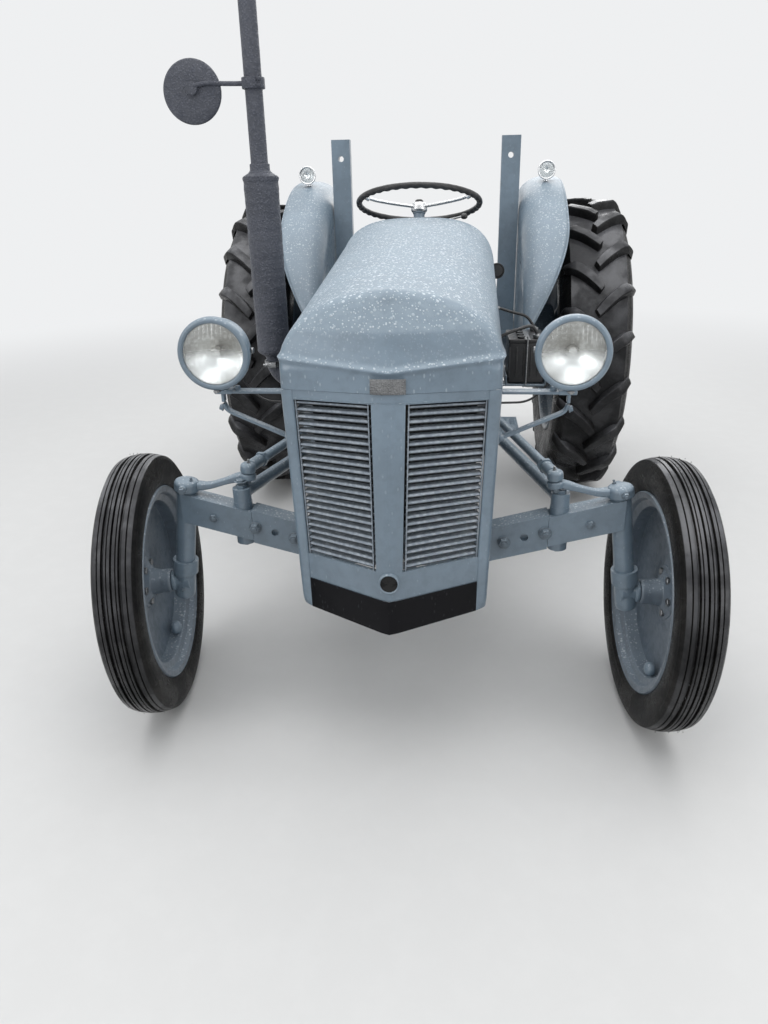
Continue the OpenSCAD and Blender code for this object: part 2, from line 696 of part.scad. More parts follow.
// Tank, shaped like the bonnet above it, on two feet over the rocker cover
module fuel_tank() color(grey) {
    ring = hood_ring(tank_y, tank_gap, tank_low_z);
    translate([0, tank_y, 0]) thick_y(dash_y - tank_y) intersection() {
        polygon([for (p = ring) [p.x, p.z]]);
        translate([-500, tank_low_z]) square([1000, 500]);
    }
    both_sides() box([72, tank_y + 20, rocker_z], [28, 30, tank_low_z + bite - rocker_z]);
    translate([0, front_y + 800, hood_top(tank_y) - tank_gap - bite]) cylinder(h = 18, r = 30);
}
module dash() color(grey) difference() {
    translate([0, dash_y, 0]) thick_y(dash_t)
        polygon([for (p = hood_ring(hood_rear_y, hood_fit, steering_box_top_z)) [p.x, p.z]]);
    at_steering_wheel() translate([0, 0, -500]) cylinder(h = 300, r = column_r + 3);
}

// Bell housing, gearbox, rear axle and hydraulic cover
module transmission() color(grey) difference() {
    union() {
        box([-bell_w/2, engine_rear_y, bell_low_z], [bell_w, bell_len, bell_top_z - bell_low_z]);
        box([-gearbox_w/2, bell_rear_y - bite, bell_low_z],
            [gearbox_w, centre_front_y - bell_rear_y + 2*bite, gearbox_top_z - bell_low_z]);
        box([-centre_w/2, centre_front_y, centre_low_z],
            [centre_w, centre_rear_y - centre_front_y, centre_top_z - centre_low_z]);
        box([-135, rear_y - 210, centre_top_z - bite], [270, 330, cover_t + bite]);
        box([-lift_shaft_x, link_pivot_y - 38, centre_top_z + cover_t - bite],
            [2*lift_shaft_x, 76, lift_shaft_z + 30 - centre_top_z - cover_t + bite]);
        both_sides() {
            translate([centre_w/2 - bite, rear_y, rear_z]) along_x()
                cylinder(h = trumpet_end_x - centre_w/2 + bite, r1 = 105, r2 = trumpet_r);
            rod_x([trumpet_end_x - bite, rear_y, rear_z], backplate_t + bite, drum_d/2);
            rod_x([trumpet_end_x, rear_y, rear_z], hub_face_x - 6 - trumpet_end_x, axle_shaft_r - run_fit);
            box([pad_x, rear_y - pad_half_y, rear_z],
                [trumpet_end_x - 10 - pad_x, 2*pad_half_y, pad_z - rear_z]);
            // Seats of the radius rods and of the lower links, with the links' pins
            rod_x([bell_w/2 - bite, front_y + rod_rear.y, rod_rear.z],
                rod_rear.x - rod_eye_w/2 - bell_w/2 + bite, rod_eye_r);
            rod_x([centre_w/2 - bite, link_pivot_y, link_pivot_z], 13, 26);
            rod_x([centre_w/2, link_pivot_y, link_pivot_z], link_pivot_x + 26 - centre_w/2, link_pivot_r);
            // Shaft ends that carry the lift arms
            rod_x([lift_shaft_x - bite, link_pivot_y, lift_shaft_z], 63, lift_shaft_r);
            // Top link's lugs
            box([23, centre_rear_y - bite, centre_top_z - 70], [16, 45 + bite, 70]);
            rod_x([23, centre_rear_y + 45, centre_top_z - 35], 16, 35);
        }
        rod_y([0, centre_rear_y - bite, 560], 26, 60);
        rod_y([0, centre_rear_y, 560], 105, pto_d/2);
    }
    rod_x([-60, centre_rear_y + 45, centre_top_z - 35], 120, top_pin_d/2);
}
// Children placed on the steering wheel's centre, with the Z axis along the column
module at_steering_wheel() translate([0, wheel_centre_y, wheel_centre_z])
    rotate([-column_lean, 0, 0]) children();
module steering_column() color(grey) {
    column_len = (wheel_centre_z - steering_box_top_z + 20)/cos(column_lean);
    box([-steering_box_w/2, steering_box_y, bell_top_z],
        [steering_box_w, steering_box_len, steering_box_top_z - bell_top_z]);
    both_sides() translate([steering_box_w/2 - bite, front_y + link_rear_y, link_rear_z + drop_arm_len])
        along_x() {
            cylinder(h = drop_arm_x - face_gap - steering_box_w/2 + bite, r = 24);
            cylinder(h = drop_arm_x + drop_arm_t + 1 - steering_box_w/2 + bite, r = drop_shaft_r);
        }
    at_steering_wheel() {
        translate([0, 0, -column_len]) cylinder(h = column_len - 30 - face_gap, r = column_r);
        translate([0, 0, -60]) cylinder(h = 56, r = column_shaft_r);
    }
}
module steering_wheel() at_steering_wheel() {
    rim_r = steering_wheel_d/2 - rim_tube_r;
    color(black) rotate_extrude($fn = 72) translate([rim_r, 0]) circle(r = rim_tube_r, $fn = 16);
    color(dark_grey) difference() {
        translate([0, 0, -30]) cylinder(h = 34, r = wheel_hub_r);
        translate([0, 0, -30 - over]) cylinder(h = 27 + over, r = column_shaft_r + run_fit);
    }
    color(dark_grey) for (i = [0:2])
        rotate([0, 0, 90 + 120*i]) rod_x([wheel_hub_r - 6, 0, -10], rim_r - wheel_hub_r + 6, 6);
}
pedal_shaft = [gearbox_w/2 + seat_gap, front_y + 1140, 470];
lever_foot_h = 16;
module controls() color(dark_grey) {
    // Gear lever on its ball seat
    translate([0, front_y + 1190, gearbox_top_z + seat_gap]) cylinder(h = lever_foot_h, r = 30);
    bar([0, front_y + 1190, gearbox_top_z + lever_foot_h - 4], [0, front_y + 1290, 925], 8);
    translate([0, front_y + 1290, 925]) sphere(r = 17);
    // Pedals on their cross shafts
    for (x = [-250, -205, 230]) {
        rod_x(pedal_shaft + [x - 6 - pedal_shaft.x, 0, 0], 12, 16);
        bar([x, pedal_shaft.y - 3, 478], [x, front_y + 1090, 600], 7);
        translate([x - 22, front_y + 1060, 596]) rotate([-30, 0, 0]) cube([44, 60, 8]);
    }
    both_sides() rod_x(pedal_shaft, 127, 10);
    // Hydraulic lever on the cover
    translate([110, rear_y - 160, centre_top_z + cover_t + seat_gap]) cylinder(h = lever_foot_h, r = 18);
    bar([110, rear_y - 160, centre_top_z + cover_t + lever_foot_h - 4], [230, rear_y - 200, 900], 7);
    translate([230, rear_y - 200, 900]) sphere(r = 14);
}
footrest_z = 420;
footrest_x = 385;
module footrests() color(grey) both_sides() {
    box([gearbox_w/2, front_y + 1180, footrest_z], [footrest_x - gearbox_w/2, 120, 10]);
    box([215, front_y + 1085, footrest_z], [footrest_x - 215, 96, 10]);
    box([gearbox_w/2, front_y + 1180, footrest_z - 20], [120, 12, 21]);
}
// Rings of the pressed seat, from its underside over the rim to its bowl.
// Columns: share of the full size, height, share of the rise at the back
seat_rings = [[0.25, 0, 0], [0.7, 4, 0.4], [1, 30, 1], [0.985, 30 + seat_t, 1], [0.7, 4 + seat_t, 0.4],
    [0.25, seat_t, 0]];
function seat_power(v) = pow(abs(v), 0.8)*sign(v);
function seat_ring(k, z, rise) = [for (i = [0:31])
    let (c = seat_power(cos(360*i/32)), s = seat_power(sin(360*i/32)))
    [seat_half_w*c*k, seat_half_d*s*k + 12*k, z + rise*(seat_back_rise*max(0, 0.25 + 0.75*s) + 16*abs(c))]];
module seat() color(grey) translate([0, seat_y, seat_z])
    loft([for (row = seat_rings) seat_ring(row[0], row[1], row[2])]);
module seat_support() color(grey) {
    y = rear_y - 190;
    foot_z = centre_top_z + cover_t;
    box([-30, y, foot_z], [60, 70, 12]);
    hull() {
        box([-24, y + 40, foot_z + 6], [48, 14, 6]);
        box([-24, y + 150, seat_z - 15], [48, 14, 8]);
    }
    box([-24, y + 150, seat_z - 15], [48, seat_y + 40 - y - 150, 15 - seat_gap]);
}

// Rear wheels
rear_flange = 20;
rear_rim_t = 5;
module rear_wheel(side) color(grey) at_rear_wheel(side) {
    face = hub_face_x - rear_track/2;
    drum = trumpet_end_x + backplate_t + 1 - rear_track/2;
    well = well_r(rear_rim_d/2, rear_flange, rear_rim_t) + bite;
    rim(rear_rim_d/2, rear_rim_w/2, rear_flange, rear_rim_t);
    rotate_extrude($fn = 96) polygon([[50, face], [150, face], [well, -24], [well, -16],
        [152, face + 8], [50, face + 8]]);
    difference() {
        translate([0, 0, drum]) cylinder(h = face - drum + 2, r = drum_d/2);
        translate([0, 0, drum - over]) cylinder(h = face - drum - 3 + over, r = axle_shaft_r);
    }
    translate([0, 0, face + 1]) cylinder(h = 40, r1 = 62, r2 = 48);
}
// Stations of a lug, which runs from just past the tyre's middle down over the shoulder.
// Columns: distance from the middle, turn in degrees, half width, drops of the top and foot below the tips
lug_rows = [[-10, 0, 18, 1.5, lug_h + 9], [14, 2.6, 22, 0, lug_h + 9], [58, 6.6, 23, 2.4, lug_h + 9],
    [103, 9.6, 25, 11.5, lug_h + 11], [136, 11.5, 18, 61, lug_h + 70]];
lug_skew = 0.68;          // share of a lug's width that lies along the tread, and then across it
lug_lean = 0.40;
lug_foot = 1.25;          // how much wider a lug is at its foot
function lug_point(row, along, drop) = let (r = rear_z - drop, a = row[1] + lug_skew*along/rear_z*180/PI)
    [r*cos(a), r*sin(a), min(row[0] - lug_lean*along, rear_tyre_w/2 - bite)];
module lug() loft([for (row = lug_rows) let (w = row[2]) [lug_point(row, -w*lug_foot, row[4]),
    lug_point(row, -w, row[3]), lug_point(row, w, row[3]), lug_point(row, w*lug_foot, row[4])]]);
module lugs() for (i = [0:lug_count - 1]) {
    rotate([0, 0, 360*(i + 0.25)/lug_count]) lug();
    rotate([0, 0, 360*(i + 0.75)/lug_count]) mirror([0, 0, 1]) lug();
}
module rear_tyre(side) color(black) at_rear_wheel(side) {
    tyre(rear_z - lug_h, rear_rim_d/2, rear_tyre_w, rear_rim_w, 0.78*rear_tyre_w, rear_flange, 16);
    if (side == left) mirror([0, 1, 0]) lugs();
    else lugs();
}

// Mudguards over the rear tyres, each swept through angles from the front level
function fender_out(a) = let (share = min(1, (a - fender_low)/(fender_full - fender_low)))
    fender_x + fender_w*max(0.03, sin(90*share));
// Quarter round between panel and crown, r inside its corner radius c
function fender_arc(c, r, b) = [fender_x + c - r*cos(b), fender_r - c + r*sin(b)];
function fender_section(a) =
    let (out = fender_out(a), c = min(fender_corner_r, 0.6*(out - fender_x)), t = min(fender_t, 0.5*c),
        low = (pad_z - rear_z)/sin(a), n = 6)
    [[fender_x, low], for (i = [0:n]) fender_arc(c, c, 90*i/n), [out, fender_r],
        [out, fender_r - t], for (i = [n:-1:0]) fender_arc(c, c - t, 90*i/n), [fender_x + t, low]];
module fender() color(grey) {
    loft([for (a = [fender_low:fender_step:fender_high])
        [for (p = fender_section(a)) [p.x, rear_y - p.y*cos(a), rear_z + p.y*sin(a)]]]);
    box([fender_x + 2, rear_y - 58, pad_z], [48, 116, 5]);
}
module side_lamps() color("silver") both_sides() {
    lamp_x = fender_x + fender_corner_r + 4;
    tilt = asin((rear_y - side_lamp_y)/fender_r);
    lamp_r = side_lamp_r - 4;
    translate([0, rear_y, rear_z]) rotate([tilt, 0, 0]) {
        translate([lamp_x, 0, fender_r + seat_gap]) cylinder(h = 22, r = 8);
        translate([lamp_x, 0, fender_r + side_lamp_lift]) rotate([-tilt, 0, 0]) {
            rod_y([0, -26, 0], 8, side_lamp_r);
            rod_y([0, -19, 0], 23, lamp_r);
            translate([0, 3, 0]) along_y() cylinder(h = 26, r1 = lamp_r - 1, r2 = 12);
        }
    }
}
module roll_bar_posts() color(grey) both_sides() {
    x = post_x - post_w/2;
    base_y = post_y - post_depth/2 - 10;
    box([x - 5, base_y, pad_z], [post_w + 7, rear_y + pad_half_y - 5 - base_y, post_base_t]);
    difference() {
        box([x, post_y - post_depth/2, pad_z + post_base_t - bite],
            [post_w, post_depth, post_top_z - pad_z - post_base_t + bite]);
        rod_y([post_x, post_y - post_depth, post_top_z - post_hole_drop], 2*post_depth, post_hole_r);
    }
}

// Space behind the nose's two faces, which meet on a crease
module prow(inset) {
    half = hood_rear_w;
    far = hood_rear_y + 40;
    loft([for (z = [nose_z - 150, nose_z, nose_z + 400])
        let (y = prow_y(z) + inset, side_y = y + (corner_y(z) - prow_y(z))*half/(hood_front_w/2))
        [[-half, far, z], [-half, side_y, z], [0, y, z], [half, side_y, z], [half, far, z]]]);
}
hood_stations = [nose_y - 40, front_y - 100, front_y + 100, front_y + 300, front_y + 520,
    front_y + 740, hood_rear_y];
module bonnet() color(grey) difference() {
    intersection() {
        loft([for (y = hood_stations) hood_ring(y, 0, hood_low(y))]);
        prow(0);
    }
    intersection() {
        loft([for (y = [each hood_stations, hood_rear_y + 10]) hood_ring(y, sheet_t, hood_low(y) - 30)]);
        prow(sheet_t);
    }
}
// Plan of the grille shell at height z, drawn clockwise as seen from below
function grille_ring(z, inset, back) = let (w = grille_half_w(z) - inset, y = prow_y(z) + inset,
        c = nose_corner_y + inset, g = grille_round)
    [[-w, back, z], [-w, c + g, z], [-w + g, c, z], [0, y, z], [w - g, c, z], [w, c + g, z], [w, back, z]];
module grille_windows() both_sides() translate([0, nose_y - 150, 0]) thick_y(200) polygon([
    [centre_bar_bottom_w/2, window_bottom_z], [centre_bar_top_w/2, window_top_z],
    [grille_half_w(window_top_z) - rail_w, window_top_z],
    [grille_half_w(window_bottom_z) - rail_w, window_bottom_z]]);
function grille_row_z(i) = grille_bottom_z + (grille_top_z - grille_bottom_z)*i/grille_rows;
module grille_surround() color(grey) {
    difference() {
        loft([for (i = [0:grille_rows]) grille_ring(grille_row_z(i), 0, grille_back_y)]);
        loft([for (i = [-0.5, each [1:grille_rows - 1], grille_rows + 0.5])
            grille_ring(grille_row_z(i), sheet_t, grille_back_y + 20)]);
        grille_windows();
        rod_y([0, nose_y - 150, crank_hole_z], 200, crank_hole_r);
    }
    // Blocks and pins of the hinge
    both_sides() {
        block_x = hinge_leg_x + hinge_leg_t + 1;
        box([block_x, hinge_y - 12, hinge_z - 12], [grille_half_w(hinge_z) - sheet_t/2 - block_x, 24, 24]);
        rod_x([hinge_leg_x - 8, hinge_y, hinge_z], block_x + 8 + bite - hinge_leg_x, hinge_r);
    }
}
// Station just behind the grille's sheet, at distance x from the middle and height z
function slat_y(x, z) = prow_y(z) + sheet_t + slat_gap
    + (nose_corner_y - prow_y(z))*x/(grille_half_w(z) - sheet_t - grille_round);
// Slat between two points of the grille's face, each given as [x, z]
module slat(a, b) loft([for (p = [a, b]) let (y = slat_y(p.x, p.y))
    [[p.x, y + slat_depth, p.y - slat_h/2], [p.x, y + slat_depth, p.y + slat_h/2],
        [p.x, y, p.y + slat_h/2], [p.x, y, p.y - slat_h/2]]]);
// Upright strip behind the grille's face, from one window edge to the other
module slat_rail(low_x, high_x) loft([for (p = [[low_x, window_bottom_z - 6], [high_x, window_top_z + 6]])
    let (y0 = slat_y(p.x, p.y), y1 = slat_y(p.x + slat_lap, p.y))
    [[p.x, y0 + slat_depth, p.y], [p.x, y0, p.y], [p.x + slat_lap, y1, p.y],
        [p.x + slat_lap, y1 + slat_depth, p.y]]]);
module grille_slats() color(dark_grey) both_sides() {
    pitch = (window_top_z - window_bottom_z)/slat_count;
    inner_low = centre_bar_bottom_w/2 - slat_lap;
    inner_high = centre_bar_top_w/2 - slat_lap;
    for (i = [0:slat_count - 1]) {
        z = window_bottom_z + pitch*(i + 0.5);
        inner = inner_low + (inner_high - inner_low)*(i + 0.5)/slat_count;
        slat([inner + 2, z], [grille_half_w(z) - rail_w + 2, z]);
    }
    slat_rail(inner_low, inner_high);
    slat_rail(grille_half_w(window_bottom_z) - rail_w, grille_half_w(window_top_z) - rail_w);
}
// Front of the grille's face at distance x from the middle and height z
function face_y(x, z) = prow_y(z) + (nose_corner_y - prow_y(z))*abs(x)/(grille_half_w(z) - grille_round);
module number_plate() color(black) loft([for (i = [-2:2])
    let (x = i*plate_w/4, gap = plate_gap + (i == 0 ? 0 : plate_side_gap),
        low = grille_bottom_z - 2, high = low + plate_h,
        low_y = face_y(x, low) - gap, high_y = face_y(x, high) - gap)
    [[x, low_y, low], [x, high_y, high], [x, high_y - plate_t, high], [x, low_y - plate_t, low]]]);

// Headlamps with their brackets
module headlamps() color(grey) both_sides() {
    r = headlamp_d/2;
    stay_y = lamp_front_y + 60;
    knee = [headlamp_x + 4, stay_y, lamp_stay_z + 63];
    translate([headlamp_x, lamp_front_y, lamp_z]) along_y() rotate_extrude() polygon([[0, 40],
        [lamp_glass_r - 38, 36], [lamp_glass_r - 14, 24], [lamp_glass_r, 9], [lamp_glass_r, 0],
        [r, 4], [r, 18], [r - 5, 22], [r - 9, 60], [r - 27, 92], [r - 53, lamp_depth - 4], [0, lamp_depth]]);
    box([headlamp_x - 20, stay_y - 18, lamp_bar_z - 4], [40, 36, 10]);
    box([headlamp_x - 9, stay_y - 10, lamp_bar_z + 5], [18, 20, lamp_z - r + 16 - lamp_bar_z]);
    box([grille_half_w(lamp_bar_z) + 0.4, stay_y - 16, lamp_bar_z - 3],
        [headlamp_x - 19 - grille_half_w(lamp_bar_z), 32, 6]);
    bar([grille_half_w(lamp_stay_z) + 4, stay_y, lamp_stay_z], knee, 6);
    translate(knee) sphere(r = 7);
    translate(knee) cylinder(h = lamp_bar_z - knee.z, r = 5);
    box([grille_half_w(lamp_stay_z) + 0.6, stay_y - 14, lamp_stay_z - 11], [8, 28, 22]);
}
module headlamp_lenses() color("white") both_sides()
    translate([headlamp_x, lamp_front_y, lamp_z]) along_y() {
        translate([0, 0, -6]) cylinder(h = 7, r1 = lamp_glass_r - 16, r2 = lamp_glass_r - 1);
        cylinder(h = 7, r = lamp_glass_r - seat_gap);
    }

// Lower links with the balls that implements hang on
module lower_links() color(grey) both_sides() difference() {
    rod_y_at = link_pivot_y + lift_arm_len;
    union() {
        rod_x([link_pivot_x - 15, link_pivot_y, link_pivot_z], 30, 26);
        rod_x([link_end_x - link_eye_w/2, link_end_y, link_pivot_z], link_eye_w, link_eye_r);
        translate([link_pivot_x, link_pivot_y, link_pivot_z - link_h/2]) rotate([0, 0, -link_slope])
            box([-link_w/2, 0, 0], [link_w, (link_end_y - link_pivot_y)/cos(link_slope), link_h]);
        rod_x([rod_point_x, rod_y_at, link_pivot_z], lift_rod_x + lift_rod_w + 3 - rod_point_x, lift_pin_r);
    }
    rod_x([link_pivot_x - 30, link_pivot_y, link_pivot_z], 60, link_pivot_r + run_fit);
    rod_x([link_end_x - link_eye_w, link_end_y, link_pivot_z], 2*link_eye_w, link_pin_d/2);
}
module lift_arms() color(grey) both_sides() difference() {
    pin_y = link_pivot_y + lift_arm_len;
    union() {
        rod_x([lift_shaft_x + face_gap, link_pivot_y, lift_shaft_z], 48, lift_shaft_r + 18);
        box([lift_arm_x, link_pivot_y, lift_shaft_z - 20], [lift_arm_w, lift_arm_len, 40]);
        rod_x([lift_arm_x, pin_y, lift_shaft_z], lift_arm_w, lift_eye_r);
        rod_x([lift_arm_x, pin_y, lift_shaft_z], lift_rod_x + lift_rod_w + 3 - lift_arm_x, lift_pin_r);
    }
    rod_x([lift_shaft_x - 5, link_pivot_y, lift_shaft_z], 70, lift_shaft_r + run_fit);
}
module lift_rods() color(grey) both_sides() translate([lift_rod_x, link_pivot_y + lift_arm_len, 0])
    difference() {
        union() {
            for (z = [link_pivot_z, lift_shaft_z])
                rod_x([0, 0, z], lift_rod_w, lift_eye_r);
            translate([lift_rod_w/2, 0, link_pivot_z + 15])
                cylinder(h = lift_shaft_z - link_pivot_z - 30, r = lift_rod_r);
        }
        for (z = [link_pivot_z, lift_shaft_z])
            rod_x([-over, 0, z], lift_rod_w + 2*over, lift_pin_r + run_fit);
    }

front_support();
front_axle_beam();
axle_arms();
knuckle(left);  // knuckle_left
knuckle(right);  // knuckle_right
front_wheel(left);  // front_wheel_left
front_wheel(right);  // front_wheel_right
front_tyre(left);  // front_tyre_left
front_tyre(right);  // front_tyre_right
radius_rods();
drag_link(left);  // drag_link_left
drag_link(right);  // drag_link_right
drop_arm(left);  // drop_arm_left
drop_arm(right);  // drop_arm_right
engine();
manifold();
exhaust_stack();
mirror_on_stack();  // mirror
radiator();
fan();
dynamo();
air_cleaner();
battery();
fuel_tank();
dash();
transmission();
steering_column();
steering_wheel();
controls();
footrests();
seat();
seat_support();
rear_wheel(left);  // rear_wheel_left
rear_wheel(right);  // rear_wheel_right
rear_tyre(left);  // rear_tyre_left
rear_tyre(right);  // rear_tyre_right
fender();  // fender_left
mirror([1, 0, 0]) fender();  // fender_right
side_lamps();
roll_bar_posts();
bonnet();
grille_surround();
grille_slats();
number_plate();
headlamps();
headlamp_lenses();
lower_links();
lift_arms();
lift_rods();
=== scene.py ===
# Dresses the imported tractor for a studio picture. Everything is in metres, Z up, and the tractor faces -Y.
import json
import math

import bmesh
import bpy
import numpy as np
from mathutils import Matrix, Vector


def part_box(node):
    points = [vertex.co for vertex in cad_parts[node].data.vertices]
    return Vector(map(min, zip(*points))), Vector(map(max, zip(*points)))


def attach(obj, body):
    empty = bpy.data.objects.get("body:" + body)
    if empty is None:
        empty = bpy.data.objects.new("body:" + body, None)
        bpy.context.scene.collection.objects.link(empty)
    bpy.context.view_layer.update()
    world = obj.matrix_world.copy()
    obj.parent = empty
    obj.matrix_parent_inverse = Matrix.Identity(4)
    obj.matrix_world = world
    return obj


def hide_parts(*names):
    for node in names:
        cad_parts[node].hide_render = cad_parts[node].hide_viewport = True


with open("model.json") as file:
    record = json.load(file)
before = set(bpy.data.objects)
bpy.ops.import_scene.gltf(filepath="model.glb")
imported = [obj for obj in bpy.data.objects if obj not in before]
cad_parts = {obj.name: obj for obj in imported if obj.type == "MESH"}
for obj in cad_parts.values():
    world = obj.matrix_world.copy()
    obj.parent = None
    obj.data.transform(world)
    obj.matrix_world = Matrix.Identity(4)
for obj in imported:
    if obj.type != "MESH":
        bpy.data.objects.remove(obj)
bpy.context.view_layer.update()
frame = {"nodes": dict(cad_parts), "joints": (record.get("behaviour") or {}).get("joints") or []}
nodes = frame["nodes"]
joints = {joint["name"]: joint for joint in frame["joints"]}
frontAxleY = joints["steer_left"]["pos_m"][1]
rearAxleY = joints["rear_wheel_spin_left"]["pos_m"][1]
rearAxleZ = joints["rear_wheel_spin_left"]["pos_m"][2]
randomNumbers = np.random.default_rng(1952)


camera = {"place": (0.143, frontAxleY - 1.7676, 1.327), "yaw": -5.8, "down": 23.39, "roll": -1.32,
    "lens": 26.84, "sensor": 36, "furthest": 60}   # angles in degrees


def placeCamera():
    # Axes: ahead = (sin yaw cos down, cos yaw cos down, -sin down), right and up turned about it by the roll
    yaw, down, roll = (math.radians(camera[key]) for key in ("yaw", "down", "roll"))
    ahead = np.array([math.sin(yaw)*math.cos(down), math.cos(yaw)*math.cos(down), -math.sin(down)])
    level = np.array([math.cos(yaw), -math.sin(yaw), 0])
    up = np.cross(level, ahead)
    right = math.cos(roll)*level + math.sin(roll)*up
    top = -math.sin(roll)*level + math.cos(roll)*up
    view = bpy.data.cameras.new("photoCamera")
    view.lens = camera["lens"]
    view.sensor_width = camera["sensor"]
    view.clip_end = camera["furthest"]
    eye = bpy.data.objects.new("photoCamera", view)
    bpy.context.scene.collection.objects.link(eye)
    turn = np.eye(4)
    turn[:3, 0], turn[:3, 1], turn[:3, 2], turn[:3, 3] = right, top, -ahead, camera["place"]
    eye.matrix_world = Matrix(turn.tolist())
    bpy.context.scene.camera = eye


placeCamera()
bpy.context.scene.view_settings.view_transform = "Standard"

studio = {
    "ceiling": {"place": (0, -0.6, 5.2), "size": (6.5, 6.5), "power": 250, "aim": (0, -0.2, 0.6)},
    "frontLeft": {"place": (-4.2, -4.6, 3.0), "size": (3.0, 3.0), "power": 95, "aim": (0, -0.6, 0.7)},
    "frontRight": {"place": (4.6, -3.6, 2.4), "size": (3.0, 3.0), "power": 70, "aim": (0, -0.6, 0.7)},
    "behind": {"place": (0.5, 5.2, 3.6), "size": (4.0, 3.0), "power": 90, "aim": (0, 0.6, 0.9)},
}


def addLamp(name, values):
    light = bpy.data.lights.new(name, "AREA")
    light.shape = "RECTANGLE"
    light.size, light.size_y = values["size"]
    light.energy = values["power"]
    lamp = bpy.data.objects.new(name, light)
    bpy.context.scene.collection.objects.link(lamp)
    place = np.array(values["place"], float)
    back = place - np.array(values["aim"], float)
    back /= np.linalg.norm(back)
    side = np.cross([0, 1, 0.01], back)
    side /= np.linalg.norm(side)
    turn = np.eye(4)
    turn[:3, 0], turn[:3, 1], turn[:3, 2], turn[:3, 3] = side, np.cross(back, side), back, place
    lamp.matrix_world = Matrix(turn.tolist())


for lampName, lampValues in studio.items():
    addLamp(lampName, lampValues)
print("camera and lights placed")


class Shader:
    # One material's node tree, with short ways to add and join nodes

    def __init__(self, name, tree=None):
        if tree is None:
            self.material = bpy.data.materials.new(name)
            self.material.use_nodes = True
            tree = self.material.node_tree
            self.surface = tree.nodes["Principled BSDF"]
        self.tree = tree

    def add(self, kind, **settings):
        node = self.tree.nodes.new(kind)
        for key, value in settings.items():
            if key in node.bl_rna.properties:
                setattr(node, key, value)
            else:
                node.inputs[key.replace("_", " ")].default_value = value
        return node

    def join(self, out, into):
        self.tree.links.new(out, into)

    def math(self, operation, a, b=0.0, clamp=False):
        node = self.add("ShaderNodeMath", operation=operation, use_clamp=clamp)
        for value, socket in ((a, node.inputs[0]), (b, node.inputs[1])):
            if isinstance(value, bpy.types.NodeSocket):
                self.join(value, socket)
            else:
                socket.default_value = value
        return node.outputs[0]

    def times(self, a, b):
        return self.math("MULTIPLY", a, b)

    def plus(self, a, b, clamp=False):
        return self.math("ADD", a, b, clamp)

    def between(self, value, low, high, toLow=0.0, toHigh=1.0):
        node = self.add("ShaderNodeMapRange", interpolation_type="SMOOTHSTEP")
        self.join(value, node.inputs["Value"])
        for key, number in (("From Min", low), ("From Max", high), ("To Min", toLow), ("To Max", toHigh)):
            node.inputs[key].default_value = number
        return node.outputs["Result"]

    def blend(self, share, first, second, kind="MIX"):
        node = self.add("ShaderNodeMix", data_type="RGBA", blend_type=kind)
        for value, socket in ((share, node.inputs[0]), (first, node.inputs[6]), (second, node.inputs[7])):
            if isinstance(value, bpy.types.NodeSocket):
                self.join(value, socket)
            elif isinstance(value, (int, float)):
                socket.default_value = value
            else:
                socket.default_value = (*value, 1)
        return node.outputs[2]

    def place(self, group, **values):
        node = self.add("ShaderNodeGroup", node_tree=group)
        for key, value in values.items():
            socket = node.inputs[key]
            if isinstance(value, bpy.types.NodeSocket):
                self.join(value, socket)
            else:
                socket.default_value = value
        return node

    def feed(self, out, socket):
        self.join(out, self.surface.inputs[socket])

    def fix(self, socket, value):
        self.surface.inputs[socket].default_value = value

    def bump(self, height, strength, distance):
        node = self.add("ShaderNodeBump", Strength=strength, Distance=distance)
        self.join(height, node.inputs["Height"])
        self.feed(node.outputs["Normal"], "Normal")


def newGroup(name, inputs, outputs):
    tree = bpy.data.node_groups.new(name, "ShaderNodeTree")
    for label, kind, value in inputs:
        socket = tree.interface.new_socket(label, in_out="INPUT", socket_type=kind)
        if value is not None:
            socket.default_value = value
    for label, kind in outputs:
        tree.interface.new_socket(label, in_out="OUTPUT", socket_type=kind)
    inside = Shader(name, tree)
    return inside, inside.add("NodeGroupInput").outputs, inside.add("NodeGroupOutput").inputs


def makeDropletGroup():
    # Rain beads: cells of a Voronoi pattern, each bead's size set by the cell's own random colour
    s, into, out = newGroup("rainBeads",
        [("Vector", "NodeSocketVector", None), ("Scale", "NodeSocketFloat", 120.0),
         ("Amount", "NodeSocketFloat", 0.5)],
        [("Mask", "NodeSocketFloat"), ("Height", "NodeSocketFloat")])
    cells = s.add("ShaderNodeTexVoronoi")
    s.join(into["Vector"], cells.inputs["Vector"])
    s.join(into["Scale"], cells.inputs["Scale"])
    parts = s.add("ShaderNodeSeparateColor")
    s.join(cells.outputs["Color"], parts.inputs[0])
    there = s.math("LESS_THAN", parts.outputs[0], into["Amount"])
    size = s.plus(s.times(parts.outputs[1], 0.26), 0.12)
    dome = s.math("SUBTRACT", 1.0, s.math("DIVIDE", cells.outputs["Distance"], size), clamp=True)
    bead = s.times(s.math("POWER", dome, 0.6), there)
    s.join(s.between(bead, 0.05, 0.5), out["Mask"])
    s.join(bead, out["Height"])
    return s.tree


def makeGrimeGroup():
    # Mottling at three sizes, one mask for broad stains and one for fine speckles
    s, into, out = newGroup("mottling",
        [("Vector", "NodeSocketVector", None), ("Scale", "NodeSocketFloat", 6.0)],
        [("Broad", "NodeSocketFloat"), ("Fine", "NodeSocketFloat"), ("Grain", "NodeSocketFloat")])
    rows = (("Broad", 1.0, 0.38, 0.68), ("Fine", 9.0, 0.42, 0.66), ("Grain", 90.0, 0.3, 0.7))
    for label, times, low, high in rows:
        pattern = s.add("ShaderNodeTexNoise", Detail=4.0, Roughness=0.6)
        s.join(into["Vector"], pattern.inputs["Vector"])
        s.join(s.times(into["Scale"], times), pattern.inputs["Scale"])
        s.join(s.between(pattern.outputs["Fac"], low, high), out[label])
    return s.tree


rainBeads = makeDropletGroup()
mottling = makeGrimeGroup()


